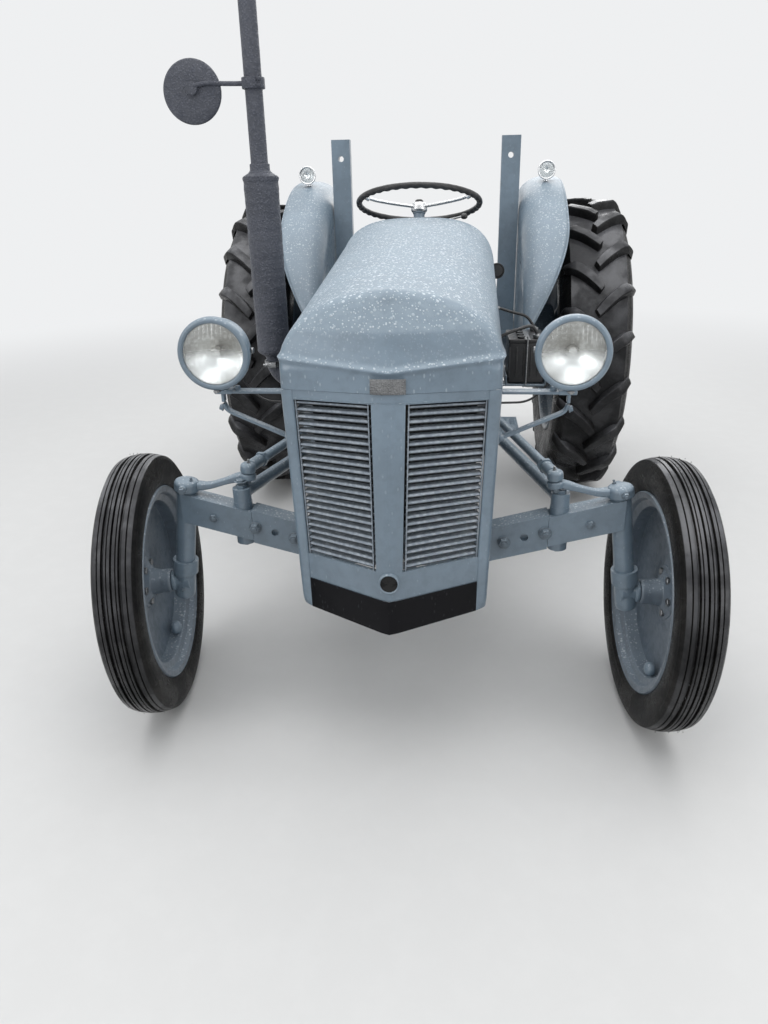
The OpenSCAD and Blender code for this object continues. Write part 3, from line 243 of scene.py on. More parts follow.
def objectPlace(s):
    return s.add("ShaderNodeTexCoord").outputs["Object"]


def apart(s, vector):
    parts = s.add("ShaderNodeSeparateXYZ")
    s.join(vector, parts.inputs[0])
    return parts.outputs


def objectFacing(s):
    return apart(s, s.add("ShaderNodeTexCoord").outputs["Normal"])


# The second colour is a painted sky reflection for what faces up; bead is a painted highlight for the rain
# beads
enamel = {"colour": (0.15, 0.203, 0.254), "film": (0.33, 0.4, 0.46), "bead": (0.72, 0.78, 0.83),
    "stretch": (1.0, 1.0, 0.45), "crownZ": 1.04, "fineScale": 150.0, "coarseScale": 92.0, "fineShare": 0.6,
    "coarseShare": 0.8, "runShare": 0.17}


def makeEnamel(name, colour, rain=0.3, grimeShare=0.35, rough=0.34, wetAndSheen=1.0, coating=0.25, shine=0.5,
    crown=False):
    # Satin enamel in the rain: fine beads crowd on what faces up, short runs hang on what stands upright
    # What faces up is painted paler as a painted sky reflection, and the beads and runs are painted pale as
    # painted highlights
    s = Shader(name)
    place, up = objectPlace(s), objectFacing(s)["Z"]
    marks = s.place(mottling, Vector=place, Scale=5.0).outputs
    upward = s.between(up, 0.22, 0.76)
    coarseness = enamel["coarseShare"]
    if crown:
        # Painted sky reflection: above crownZ the nose's face gets the same painted sheen as faces that look up
        ragged = s.plus(apart(s, place)["Z"], s.times(marks["Grain"], 0.004))
        crownSheen = s.between(ragged, enamel["crownZ"] - 0.004, enamel["crownZ"] + 0.01, 0.0, 0.95)
        upward = s.math("MAXIMUM", upward, crownSheen)
        coarseness = s.between(up, 0.5, 0.8, 0.3, 0.8)
    upward = s.times(upward, wetAndSheen)
    drawn = s.add("ShaderNodeVectorMath", operation="MULTIPLY")
    s.join(place, drawn.inputs[0])
    drawn.inputs[1].default_value = enamel["stretch"]
    runs = s.place(rainBeads, Vector=drawn.outputs[0], Scale=enamel["fineScale"], Amount=rain).outputs
    fine = s.place(rainBeads, Vector=place, Scale=enamel["fineScale"], Amount=0.95).outputs
    coarse = s.place(rainBeads, Vector=place, Scale=enamel["coarseScale"], Amount=0.8).outputs
    coat = s.blend(marks["Broad"], tuple(0.9*c for c in colour), tuple(1.1*c for c in colour))
    dirt = s.times(marks["Fine"], grimeShare)
    coat = s.blend(s.times(dirt, 0.5), coat, tuple(0.45*c + 0.002 for c in colour))
    # Painted sky reflection: faces that look up are mixed towards the paler sheen colour
    film = s.times(upward, s.plus(0.45, s.times(marks["Fine"], 0.25)))
    coat = s.blend(film, coat, enamel["film"])
    heap = s.math("MAXIMUM", s.times(fine["Mask"], enamel["fineShare"]), s.times(coarse["Mask"], coarseness))
    hung = s.times(s.times(runs["Mask"], enamel["runShare"]*wetAndSheen), s.math("SUBTRACT", 1.0, upward))
    beads = s.plus(s.times(heap, s.times(upward, 0.9)), hung, clamp=True)
    # Painted highlights: the rain beads and runs are mixed towards the pale bead colour
    s.feed(s.blend(beads, coat, enamel["bead"]), "Base Color")
    gloss = s.plus(s.plus(rough, s.times(marks["Fine"], 0.14)), s.times(upward, 0.3))
    s.feed(s.math("SUBTRACT", gloss, s.times(beads, 0.15), clamp=True), "Roughness")
    if coating:
        s.feed(s.between(upward, 0.0, 0.8, coating, 0.2*coating), "Coat Weight")
        s.fix("Coat Roughness", 0.2)
    s.fix("Specular IOR Level", shine)
    height = s.times(s.plus(fine["Height"], coarse["Height"]), upward)
    height = s.plus(height, s.times(runs["Height"], 0.45))
    s.bump(s.plus(height, s.times(marks["Grain"], 0.1)), 0.75, 0.0013)
    return s.material


def makeSlatEnamel():
    # Rolled slats: pale where the nose faces ahead or up, with painted shade below it and deep between two
    # slats
    s = Shader("slatEnamel")
    marks = s.place(mottling, Vector=objectPlace(s), Scale=11.0).outputs
    gap = s.add("ShaderNodeAmbientOcclusion", Distance=0.016, samples=8)
    lit = s.times(s.between(objectFacing(s)["Z"], -0.55, 0.25), s.between(gap.outputs["AO"], 0.3, 0.62))
    coat = s.blend(marks["Fine"], (0.235, 0.275, 0.32), (0.375, 0.42, 0.465))
    # Painted shade: near black where the slat faces down or where the occlusion node finds it closed in
    s.feed(s.blend(lit, (0.006, 0.007, 0.009), coat), "Base Color")
    s.feed(s.between(marks["Fine"], 0.0, 1.0, 0.3, 0.48), "Roughness")
    s.fix("Specular IOR Level", 0.3)
    s.bump(marks["Grain"], 0.5, 0.001)
    return s.material


def makeRubber():
    # Wet black rubber: what faces along the axle is dry, dull and dusty; the tread is a little lighter in broad
    # patches and holds water
    s = Shader("wetRubber")
    facing = objectFacing(s)
    marks = s.place(mottling, Vector=objectPlace(s), Scale=9.0).outputs
    sideways = s.between(s.math("ABSOLUTE", facing["X"]), 0.45, 0.85)
    shade = s.blend(marks["Fine"], (0.0045, 0.0045, 0.0048), (0.012, 0.0118, 0.0116))
    shade = s.blend(s.times(s.times(marks["Broad"], sideways), 0.42), shade, (0.03, 0.027, 0.024))
    tread = s.times(s.math("SUBTRACT", 1.0, sideways), s.plus(0.35, s.times(marks["Broad"], 0.65)))
    shade = s.blend(s.times(tread, 0.55), shade, (0.044, 0.045, 0.05))
    # Painted sky reflection: tread that faces up is mixed towards a pale grey
    skyReflection = s.times(s.times(s.between(facing["Z"], 0.05, 0.85), tread), 0.55)
    s.feed(s.blend(skyReflection, shade, (0.2, 0.203, 0.218)), "Base Color")
    s.feed(s.between(marks["Broad"], 0.0, 1.0, 0.38, 0.22), "Roughness")
    s.feed(s.between(tread, 0.1, 0.9, 0.0, 0.45), "Coat Weight")
    s.fix("Coat Roughness", 0.16)
    s.fix("Specular IOR Level", 0.1)
    s.bump(s.plus(marks["Grain"], s.times(marks["Fine"], 0.8)), 0.5, 0.0012)
    return s.material


def makeHammered(name, dark, light, rough, size=160.0, depth=0.0016):
    # Coarse matt coat: cells of a Voronoi pattern stand up as small lumps
    s = Shader(name)
    place = objectPlace(s)
    marks = s.place(mottling, Vector=place, Scale=8.0).outputs
    lumps = s.add("ShaderNodeTexVoronoi", Scale=size)
    s.join(place, lumps.inputs["Vector"])
    raised = s.between(lumps.outputs["Distance"], 0.1, 0.6, 1.0, 0.0)
    shade = s.blend(marks["Broad"], dark, light)
    s.feed(s.blend(s.times(raised, 0.35), shade, tuple(min(1, 1.9*c) for c in light)), "Base Color")
    s.feed(s.between(marks["Fine"], 0.0, 1.0, rough - 0.1, rough + 0.12), "Roughness")
    s.bump(s.plus(raised, s.times(marks["Grain"], 0.4)), 0.7, depth)
    return s.material


def makeMetal(name, dark, light, rough, size=30.0):
    # Bare or plated metal: fine mottling moves its colour and gloss
    s = Shader(name)
    marks = s.place(mottling, Vector=objectPlace(s), Scale=size).outputs
    s.feed(s.blend(marks["Fine"], dark, light), "Base Color")
    s.feed(s.between(marks["Broad"], 0.0, 1.0, rough, rough + 0.15), "Roughness")
    s.fix("Metallic", 1.0)
    s.bump(marks["Grain"], 0.25, 0.0004)
    return s.material


def makeLensGlass():
    # Clear moulded glass: upright flutes as a sine of x
    s = Shader("lensGlass")
    flutes = s.add("ShaderNodeTexWave", bands_direction="X", Scale=34.0, Distortion=0.4, Detail=1.0)
    s.join(objectPlace(s), flutes.inputs["Vector"])
    s.fix("Base Color", (0.93, 0.95, 0.95, 1))
    s.fix("Transmission Weight", 1.0)
    s.fix("IOR", 1.46)
    s.feed(s.between(flutes.outputs["Fac"], 0, 1, 0.02, 0.12), "Roughness")
    s.bump(flutes.outputs["Fac"], 0.55, 0.0016)
    return s.material


def makeCore():
    # Radiator core: fins as a fine wave over tubes as a coarse one
    s = Shader("radiatorCore")
    place = objectPlace(s)
    fins = s.add("ShaderNodeTexWave", bands_direction="Z", Scale=110.0)
    tubes = s.add("ShaderNodeTexWave", bands_direction="X", Scale=28.0)
    for pattern in (fins, tubes):
        s.join(place, pattern.inputs["Vector"])
    lines = s.times(fins.outputs["Fac"], s.between(tubes.outputs["Fac"], 0.1, 0.5))
    s.feed(s.blend(lines, (0.008, 0.008, 0.009), (0.07, 0.068, 0.06)), "Base Color")
    s.feed(s.between(lines, 0.0, 1.0, 0.75, 0.5), "Roughness")
    s.bump(lines, 0.6, 0.002)
    return s.material


paint = makeEnamel("greyEnamel", enamel["colour"], rain=0.22, wetAndSheen=0.55, coating=0.4, rough=0.28)
bonnetPaint = makeEnamel("bonnetEnamel", enamel["colour"], crown=True)
oldPaint = makeEnamel("grimyEnamel", (0.122, 0.16, 0.196), rain=0.2, grimeShare=0.9, rough=0.42, wetAndSheen=0.6)
wheelPaint = makeEnamel("wheelEnamel", (0.118, 0.15, 0.186), rain=0.22, grimeShare=0.5, rough=0.36, wetAndSheen=0.5)
slatPaint = makeSlatEnamel()
blackPaint = makeEnamel("blackEnamel", (0.0045, 0.0045, 0.006), rain=0.2, grimeShare=0.2, rough=0.3, wetAndSheen=0.1,
    coating=0, shine=0.12)
# Near black, used as painted shade inside the crank hole
paintedHoleShade = makeHammered("holeBlack", (0.001, 0.001, 0.0012), (0.002, 0.002, 0.0022), 0.9, depth=0.0002)
exhaustCoat = makeHammered("exhaustCoat", (0.045, 0.05, 0.066), (0.066, 0.072, 0.092), 0.55)
castIron = makeHammered("castIron", (0.06, 0.062, 0.066), (0.1, 0.095, 0.09), 0.6, size=240.0)
rubber = makeRubber()
blackPlastic = makeHammered("blackPlastic", (0.012, 0.012, 0.013), (0.02, 0.02, 0.021), 0.4, size=420.0,
    depth=0.0003)
steel = makeMetal("wornSteel", (0.2, 0.205, 0.21), (0.34, 0.345, 0.35), 0.32)
chrome = makeMetal("chromePlate", (0.62, 0.63, 0.64), (0.78, 0.79, 0.8), 0.09)
silver = makeMetal("silveredGlass", (0.86, 0.87, 0.88), (0.93, 0.94, 0.95), 0.07, size=12.0)
badgeMetal = makeHammered("badgeMetal", (0.035, 0.038, 0.042), (0.2, 0.205, 0.21), 0.32, size=250.0,
    depth=0.004)
brass = makeMetal("brass", (0.3, 0.2, 0.09), (0.45, 0.32, 0.15), 0.3)
lensGlass = makeLensGlass()
core = makeCore()
print("materials made")


toFront, toRear = (0, -1, 0), (0, 1, 0)
toTop, toGround = (0, 0, 1), (0, 0, -1)
toLeft, toRight = (1, 0, 0), (-1, 0, 0)


def unit(v):
    v = np.asarray(v, float)
    return v/np.maximum(np.linalg.norm(v, axis=-1, keepdims=True), 1e-12)


def axesOf(direction):
    # Two unit vectors square to a direction, and the direction itself, as rows
    w = unit(direction)
    helper = np.array([0, 0, 1.0]) if abs(w[2]) < 0.9 else np.array([0, 1.0, 0])
    u = unit(np.cross(helper, w))
    return np.stack([u, np.cross(w, u), w])


def gridFaces(rows, columns, wrapRows=False, wrapColumns=False):
    # Quads of a grid: (i, j), (i, j + 1), (i + 1, j + 1), (i + 1, j), taken modulo where it wraps
    i = np.arange(rows if wrapRows else rows - 1)[:, None]
    j = np.arange(columns if wrapColumns else columns - 1)[None, :]
    after, beside = (i + 1) % rows, (j + 1) % columns
    quads = [i*columns + j, i*columns + beside, after*columns + beside, after*columns + j]
    return np.stack([np.broadcast_to(q, (i.size, j.size)) for q in quads], -1).reshape(-1, 4)


def faceOut(points, faces):
    # Turns a closed part's faces outwards: its volume, the sum of (a x b) . c / 6, has to be positive
    a, b, c, d = (points[faces[:, k]] for k in range(4))
    volume = np.sum(np.cross(a, b)*c) + np.sum(np.cross(a, c)*d)
    return (points, faces if volume > 0 else faces[:, ::-1])


def closedGrid(grid, wrapRows=False, wrapColumns=True):
    rows, columns = grid.shape[:2]
    return faceOut(grid.reshape(-1, 3), gridFaces(rows, columns, wrapRows, wrapColumns))


def capped(grid):
    # A tube of rings with both ends drawn together to their middles
    return np.concatenate([np.broadcast_to(grid[:1].mean(1, keepdims=True), grid[:1].shape), grid,
        np.broadcast_to(grid[-1:].mean(1, keepdims=True), grid[-1:].shape)])


def rounded(corners, radius, steps=4, closed=True):
    # Corners replaced by curves (1-t)^2 a + 2t(1-t) c + t^2 b, where a and b lie a radius from corner c
    c = np.asarray(corners, float)
    before, after = np.roll(c, 1, 0), np.roll(c, -1, 0)
    cut = np.broadcast_to(np.asarray(radius, float), len(c))[:, None]
    toBefore, toAfter = before - c, after - c
    reach = 0.48*np.minimum(np.linalg.norm(toBefore, axis=1), np.linalg.norm(toAfter, axis=1))[:, None]
    cut = np.minimum(cut, reach)
    a, b = c + unit(toBefore)*cut, c + unit(toAfter)*cut
    t = np.linspace(0, 1, steps)[None, :, None]
    curves = (1 - t)**2*a[:, None] + 2*t*(1 - t)*c[:, None] + t**2*b[:, None]
    if closed:
        return curves.reshape(-1, c.shape[1])
    return np.concatenate([c[:1], curves[1:-1].reshape(-1, c.shape[1]), c[-1:]])


def lathe(profile, centre, direction, steps=48, closed=False):
    # Profile points (r, h) turned about an axis: centre + h w + r (cos t u + sin t v)
    u, v, w = axesOf(direction)
    t = np.linspace(0, 2*np.pi, steps, endpoint=False)
    ring = np.cos(t)[:, None]*u + np.sin(t)[:, None]*v
    profile = np.asarray(profile, float)
    grid = np.asarray(centre, float) + profile[:, None, 1:]*w + profile[:, None, :1]*ring[None]
    return closedGrid(grid, wrapRows=closed)


def sweep(path, section, up=(0, 0, 1), scale=None, wrap=False):
    # A closed section (a, b) carried along a path: p + s (a side + b top), side = along x up
    path = np.asarray(path, float)
    if wrap:
        along = unit(np.roll(path, -1, 0) - np.roll(path, 1, 0))
    else:
        along = unit(np.gradient(path, axis=0))
    side = unit(np.cross(along, np.asarray(up, float)))
    top = np.cross(side, along)
    section = np.asarray(section, float)
    scale = np.ones(len(path)) if scale is None else np.asarray(scale, float)
    ring = section[None, :, :1]*side[:, None] + section[None, :, 1:]*top[:, None]
    grid = path[:, None] + scale[:, None, None]*ring
    return closedGrid(grid, wrapRows=True) if wrap else closedGrid(capped(grid))


def circle(radius, steps=14):
    t = np.linspace(0, 2*np.pi, steps, endpoint=False)
    return np.stack([radius*np.cos(t), radius*np.sin(t)], 1)


def turned(corners, ease, steps, centre, direction, around=36):
    return lathe(rounded(corners, ease, steps, closed=False), centre, direction, around)


def ringPart(inner, outer, low, high, centre, direction, ease=0.002, steps=36, easeSteps=4):
    # A short tube: the profile's four corners (r, h) eased, turned about the axis
    profile = rounded([(inner, low), (outer, low), (outer, high), (inner, high)], ease, easeSteps)
    return lathe(profile, centre, direction, steps, closed=True)


def disc(radius, low, high, centre, direction, ease=0.002, steps=36):
    return turned([(0, low), (radius, low), (radius, high), (0, high)], ease, 4, centre, direction, steps)


def rod(start, end, radius, steps=20, ends=0.002):
    # Round bar with its ends eased: a lathe of (r, h) along the line between two points
    length = np.linalg.norm(np.subtract(end, start))
    return disc(radius, 0, length, start, np.subtract(end, start), ends, steps)


def curvedPath(corners, radius, steps=8):
    return rounded(np.asarray(corners, float), radius, steps, closed=False)


def softBox(low, high, radius=0.004, steps=4):
    # Box with rounded edges: corner centre + r (cos b cos a, cos b sin a, sin b) for each corner
    low, high = np.asarray(low, float), np.asarray(high, float)
    middle, half = (low + high)/2, (high - low)/2
    radius = min(radius, half.min()*0.98)
    inner = half - radius
    a = (np.linspace(0, np.pi/2, steps)[None] + np.arange(4)[:, None]*np.pi/2).ravel()
    signs = np.repeat(np.array([[1, 1], [-1, 1], [-1, -1], [1, -1]]), steps, 0)
    b = np.concatenate([np.linspace(-np.pi/2, 0, steps), np.linspace(0, np.pi/2, steps)])
    level = np.repeat([-1, 1], steps)
    x = signs[:, 0]*inner[0] + radius*np.cos(b)[:, None]*np.cos(a)
    y = signs[:, 1]*inner[1] + radius*np.cos(b)[:, None]*np.sin(a)
    z = np.broadcast_to((level*inner[2] + radius*np.sin(b))[:, None], x.shape)
    return closedGrid(capped(np.stack([x, y, z], -1) + middle))


def hexBolt(place, direction, across=0.017, height=0.01, washer=0.0022, stud=0.0):
    # Washer, hexagon head and stud: three lathes, the head with six steps
    w = unit(direction)
    place = np.asarray(place, float)
    r = across/2/math.cos(math.pi/6)
    parts = []
    if washer:
        profile = [(0, 0), (r*1.18, 0), (r*1.22, washer*0.6), (r*1.1, washer), (0, washer)]
        parts.append(lathe(profile, place, w, 18))
    head = [(0, 0), (r, 0), (r, height*0.82), (r*0.86, height), (0, height)]
    parts.append(lathe(head, place + w*washer*0.9, w, 6))
    if stud:
        profile = [(0, 0), (r*0.5, 0), (r*0.5, stud*0.8), (r*0.38, stud), (0, stud)]
        parts.append(lathe(profile, place + w*(washer + height*0.95), w, 10))
    return parts


def boltRow(places, direction, across=0.017, height=0.009, stud=0.0):
    return [part for place in places for part in hexBolt(place, direction, across, height, 0.002, stud)]


def fromTable(values, fromY):
    # One piece's parts: each row of its table goes to the shape of that name; y is counted from an axle
    def at(place):
        return np.add(place, (0, fromY, 0))

    parts = [softBox(at(low), at(high), *rest) for low, high, *rest in values.get("boxes", ())]
    for key, shape, before in (("discs", disc, 3), ("rings", ringPart, 4), ("turned", turned, 3)):
        for row in values.get(key, ()):
            parts.append(shape(*row[:before], at(row[before]), *row[before + 1:]))
    parts += [rod(at(start), at(end), *rest) for start, end, *rest in values.get("rods", ())]
    for path, ease, steps, *section in values.get("pipes", ()):
        parts.append(sweep(curvedPath([at(place) for place in path], ease, steps), circle(*section)))
    for places, *rest in values.get("bolts", ()):
        parts += boltRow([at(place) for place in places], *rest)
    return parts


def thickSheet(grid, thickness, wrapColumns=False):
    # A sheet with its inside: inner = outer - thickness n, n = unit(dP/du x dP/dv), joined round its edges
    if wrapColumns:
        across = np.roll(grid, -1, 1) - np.roll(grid, 1, 1)
    else:
        across = np.gradient(grid, axis=1)
    normal = unit(np.cross(np.gradient(grid, axis=0), across))
    inner = grid - normal*np.asarray(thickness, float)
    rows, columns = grid.shape[:2]
    if wrapColumns:
        return closedGrid(np.concatenate([grid, inner[::-1]]), wrapRows=True)
    points = np.concatenate([grid.reshape(-1, 3), inner.reshape(-1, 3)])
    faces = gridFaces(rows, columns)
    shift = rows*columns
    number = np.arange(shift).reshape(rows, columns)
    edge = np.concatenate([number[0, :-1], number[:-1, -1], number[-1, :0:-1], number[:0:-1, 0]])
    follow = np.roll(edge, -1)
    rim = np.stack([follow, edge, edge + shift, follow + shift], 1)
    return faceOut(points, np.concatenate([faces, faces[:, ::-1] + shift, rim]))


def mirrored(part):
    points, faces = part
    return points*np.array([-1, 1, 1]), faces[:, ::-1]


def bothSides(parts):
    return parts + [mirrored(part) for part in parts]


def ontoAxis(part, centre, direction):
    # A part drawn about the origin with Z as its axis, set on a centre with its Z along a direction
    return part[0] @ axesOf(direction) + np.asarray(centre, float), part[1]


def addPiece(name, parts, body, material, sharp=38):
    # Puts parts into one mesh, merges what coincides at seams and poles, and lets it ride on a body
    counts = np.cumsum([0] + [len(points) for points, faces in parts])
    points = np.concatenate([points for points, faces in parts])
    faces = np.concatenate([faces + start for (_, faces), start in zip(parts, counts)])
    mesh = bpy.data.meshes.new(name)
    mesh.from_pydata(points, [], faces.tolist())
    work = bmesh.new()
    work.from_mesh(mesh)
    bmesh.ops.remove_doubles(work, verts=work.verts, dist=1e-6)
    bmesh.ops.dissolve_degenerate(work, edges=work.edges, dist=1e-7)
    work.to_mesh(mesh)
    work.free()
    mesh.shade_smooth()
    mesh.set_sharp_from_angle(angle=math.radians(sharp))
    mesh.materials.append(material)
    piece = bpy.data.objects.new(name, mesh)
    bpy.context.scene.collection.objects.link(piece)
    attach(piece, body)
    return piece


def easedRows(corners, radius, steps=5):
    # Rows of corners (rows, n, 3), each row's inner corners rounded by (1-t)^2 a + 2t(1-t) c + t^2 b
    c = np.asarray(corners, float)
    middle = c[:, 1:-1]
    cut = np.broadcast_to(np.asarray(radius, float), middle.shape[1])[None, :, None]
    toBefore, toAfter = c[:, :-2] - middle, c[:, 2:] - middle
    reach = 0.48*np.minimum(np.linalg.norm(toBefore, axis=-1), np.linalg.norm(toAfter, axis=-1))[..., None]
    cut = np.minimum(cut, reach)
    a, b = (middle + unit(toBefore)*cut)[:, :, None], (middle + unit(toAfter)*cut)[:, :, None]
    t = np.linspace(0, 1, steps)[None, None, :, None]
    curves = (1 - t)**2*a + 2*t*(1 - t)*middle[:, :, None] + t**2*b
    return np.concatenate([c[:, :1], curves.reshape(len(c), -1, 3), c[:, -1:]], 1)


def smoothstep(value, low, high):
    t = np.clip((value - low)/(high - low), 0, 1)
    return t*t*(3 - 2*t)


bonnet = {
    "noseY": frontAxleY - 0.223, "cornerY": frontAxleY - 0.18, "rearY": frontAxleY + 0.95,
    "noseZ": 0.966, "creaseZ": 1.117, "rearZ": 1.211, "setBack": 0.063,
    "tipHalf": 0.237, "frontHalf": 0.241, "rearHalf": 0.261,
    "baseZ": (0.972, 1.0), "lowZ": (0.922, 0.905), "roundness": (2.0, 3.0),   # at the front corner, at the rear
    "creaseRadius": 0.02, "beadHeight": 0.0068, "beadWidth": 0.006, "beadRise": 0.021, "peak": 0.0085,
    "swell": 0.004, "swellZ": 1.045, "hem": 0.004, "sheet": 0.004,
    "sideColumns": 16, "crownColumns": 97, "rows": 64, "creaseRows": 8, "faceRows": 62,
}
noseLean = bonnet["setBack"]/(bonnet["creaseZ"] - bonnet["noseZ"])
grilleLean = 0.15


def prowY(z):
    # The middle edge of the nose: it leans back above noseZ and, more gently, below it
    return bonnet["noseY"] + (z - bonnet["noseZ"])*np.where(z > bonnet["noseZ"], noseLean, grilleLean)


def noseFaceY(x, z):
    # The folded face runs straight from the middle edge, at prowY, to the front corner
    corner = bonnet["cornerY"] + np.maximum(0, z - bonnet["noseZ"])*noseLean
    return prowY(z) + (corner - prowY(z))*np.abs(x)/bonnet["frontHalf"]


def bonnetSection(around, drop, y):
    # x = -w sign(cos a)|cos a|^p and z = z0 + h sin(a)^p, with straight sides below z0
    half = np.interp(y, [bonnet["noseY"], frontAxleY - 0.1, bonnet["rearY"]],
        [bonnet["tipHalf"], bonnet["frontHalf"], bonnet["rearHalf"]])
    top = np.interp(y, [bonnet["noseY"] + bonnet["setBack"], bonnet["rearY"]],
        [bonnet["creaseZ"], bonnet["rearZ"]])
    ends = [bonnet["cornerY"], bonnet["rearY"]]
    base = np.interp(y, ends, bonnet["baseZ"])
    power = 2/np.interp(y, ends, bonnet["roundness"])
    low = np.interp(y, ends, bonnet["lowZ"])
    x = -half*np.sign(np.cos(around))*np.abs(np.cos(around))**power
    z = base + (top - base)*np.sin(around)**power
    return x, np.where(drop > 0, base + (low - base)*drop, z)


def bonnetRows():
    # Columns run round the section, rows from the rear edge over the crease and down to the nose's foot
    side, crown = bonnet["sideColumns"], bonnet["crownColumns"]
    sides = np.linspace(1, 0, side, endpoint=False)
    around = np.concatenate([np.zeros(side), np.linspace(1e-4, np.pi - 1e-4, crown), np.full(side, np.pi)])
    drop = np.concatenate([sides, np.zeros(crown), sides[::-1]])
    creaseY = np.full(around.shape, frontAxleY - 0.17)
    for step in range(12):   # the crease lies where the section meets the face
        x, z = bonnetSection(around, drop, creaseY)
        creaseY = noseFaceY(x, z)
    ease = bonnet["creaseRadius"]
    share = np.linspace(0, 1, bonnet["rows"])[:, None]
    backY = bonnet["rearY"] + (creaseY + ease - bonnet["rearY"])*share
    backX, backZ = bonnetSection(around[None], drop[None], backY)
    back = np.stack([backX, backY, backZ], -1)
    x, z = bonnetSection(around, drop, creaseY)
    crease = np.stack([x, creaseY, z], -1)
    footZ = bonnet["lowZ"][0]
    foot = np.array([0, prowY(footZ), footZ])
    first = crease + unit(foot - crease)*ease
    t = np.linspace(0, 1, bonnet["creaseRows"])[1:, None, None]
    curve = (1 - t)**2*back[-1] + 2*t*(1 - t)*crease + t**2*first
    t = np.linspace(0, 1, bonnet["faceRows"])[1:, None, None]
    face = first + (foot - first)*t
    face[..., 1] = noseFaceY(face[..., 0], face[..., 2])
    face[..., 1] += 0.15*ease*np.exp(-np.abs(face[..., 0])/0.02)   # the middle edge is eased
    return np.concatenate([back, curve, face]), crease, drop


def makeBonnet():
    # Over the plain rows: bead = h exp(-(above/width)^2) round the nose, a swell, a peak and a rolled rear
    # hem
    grid, crease, drop = bonnetRows()
    x, y, z = grid[..., 0], grid[..., 1], grid[..., 2]
    behind = y - noseFaceY(x, z)
    side = smoothstep(behind, 0.0, 0.03)
    out = unit(np.stack([np.sign(x)*(side + 0.15), -(1 - side) - 0.02, np.zeros_like(x)], -1))
    share = np.abs(x)/bonnet["frontHalf"]
    above = z - (bonnet["noseZ"] + bonnet["beadRise"]*np.minimum(1, share))
    bead = bonnet["beadHeight"]*np.exp(-(above/bonnet["beadWidth"])**2) + 0.0015*smoothstep(above, 0, 0.01)
    bead = bead*(1 - smoothstep(behind, 0.05, 0.13))*np.exp(-np.maximum(0, above - 0.02)/0.04)
    swell = bonnet["swell"]*np.exp(-((z - bonnet["swellZ"])/0.04)**2)*(1 - side)*(1 - share**2)
    grid = grid + out*(bead + swell)[..., None]
    fromCrease = np.hypot(grid[..., 1] - crease[:, 1], grid[..., 2] - crease[:, 2])
    peak = bonnet["peak"]*np.exp(-np.abs(x)/0.035)*np.exp(-(fromCrease/0.034)**2)
    grid[..., 2] += peak*(drop[None] == 0)
    hem = bonnet["hem"]*np.exp(-(np.abs(grid[..., 1] - bonnet["rearY"])/0.006)**2)
    grid[..., 2] += np.where(drop[None] > 0, 0, hem)
    return thickSheet(grid, bonnet["sheet"])


bonnetPiece = addPiece("bonnetPanel", [makeBonnet()], "bonnet", bonnetPaint, sharp=50)
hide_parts("bonnet")

# A catch on each side at the rear: a small plate and a wire handle
catch = {"x": 0.2635, "y": frontAxleY + 0.86, "z": 0.935, "plate": (0.004, 0.02, 0.014), "wire": 0.0035}


def makeCatch():
    x, y, z = catch["x"], catch["y"], catch["z"]
    deep, half, tall = catch["plate"]
    plate = softBox((x - deep, y - half, z - tall), (x + 0.003, y + half, z + tall), 0.002)
    handle = curvedPath([(x, y - 0.014, z), (x + 0.014, y - 0.012, z), (x + 0.014, y + 0.03, z - 0.004)],
        0.006)
    return [plate, sweep(handle, circle(catch["wire"], 10))]


addPiece("bonnetCatches", bothSides(makeCatch()), "bonnet", steel)
print("bonnet made")


grille = {
    "bottomZ": 0.392, "topZ": 0.9212, "panelLow": 0.468, "windowLow": 0.532, "windowHigh": 0.9,
    "halfZ": (0.342, 0.392, 0.9215, 0.972), "half": (0.215, 0.217, 0.235, 0.237), "backY": frontAxleY - 0.095,
    "round": 0.009, "rail": 0.022, "lip": 0.014, "sheet": 0.0035, "barLow": 0.029, "barTop": 0.0365,
    "slats": 23, "slatNose": 0.0044, "slatDepth": 0.014, "frameGap": 0.0065, "holeZ": 0.51,
}


def grilleHalf(z):
    return np.interp(z, grille["halfZ"], grille["half"])


def windowInner(z):
    return grilleHalf(z) - grille["rail"]


def barHalf(z):
    # Half width of the middle bar, which widens upwards
    return np.interp(z, [grille["windowLow"], grille["windowHigh"]], [grille["barLow"], grille["barTop"]])


def grilleFace(x, z):
    # The face runs straight from the middle, at prowY, to the rounded front corner
    share = np.abs(x)/(grilleHalf(z) - grille["round"])
    return prowY(z) + (bonnet["cornerY"] - prowY(z))*share


def facePoints(x, z, back=0.0):
    x, z = np.broadcast_arrays(x, z)
    soft = 0.0035*np.exp(-(np.abs(x)/0.01)**2)   # the middle crease is a soft one
    return np.stack([x, grilleFace(x, z) + soft + back, z], -1)


def makeFlange():
    # Rows rise up the side: from the window's lip over the rounded front corner and back along the side
    z = np.linspace(grille["bottomZ"], grille["topZ"], 72)
    half, corner = grilleHalf(z), grille["round"]
    inner = half - grille["rail"]
    face = grilleFace(inner, z)
    foot = 0.012*np.exp(-(z - grille["bottomZ"])/0.012)   # the foot of the flange curves back
    columns = ((inner, face + grille["lip"]), (inner, face), (half - 0.3*corner, bonnet["cornerY"] + foot),
        (half, bonnet["cornerY"] + 1.2*corner + foot), (half, np.full_like(z, grille["backY"])))
    rows = np.stack([np.stack([x, y, z], -1) for x, y in columns], 1)
    return thickSheet(easedRows(rows, [0.003, 0.01, 0.008], 6), grille["sheet"])


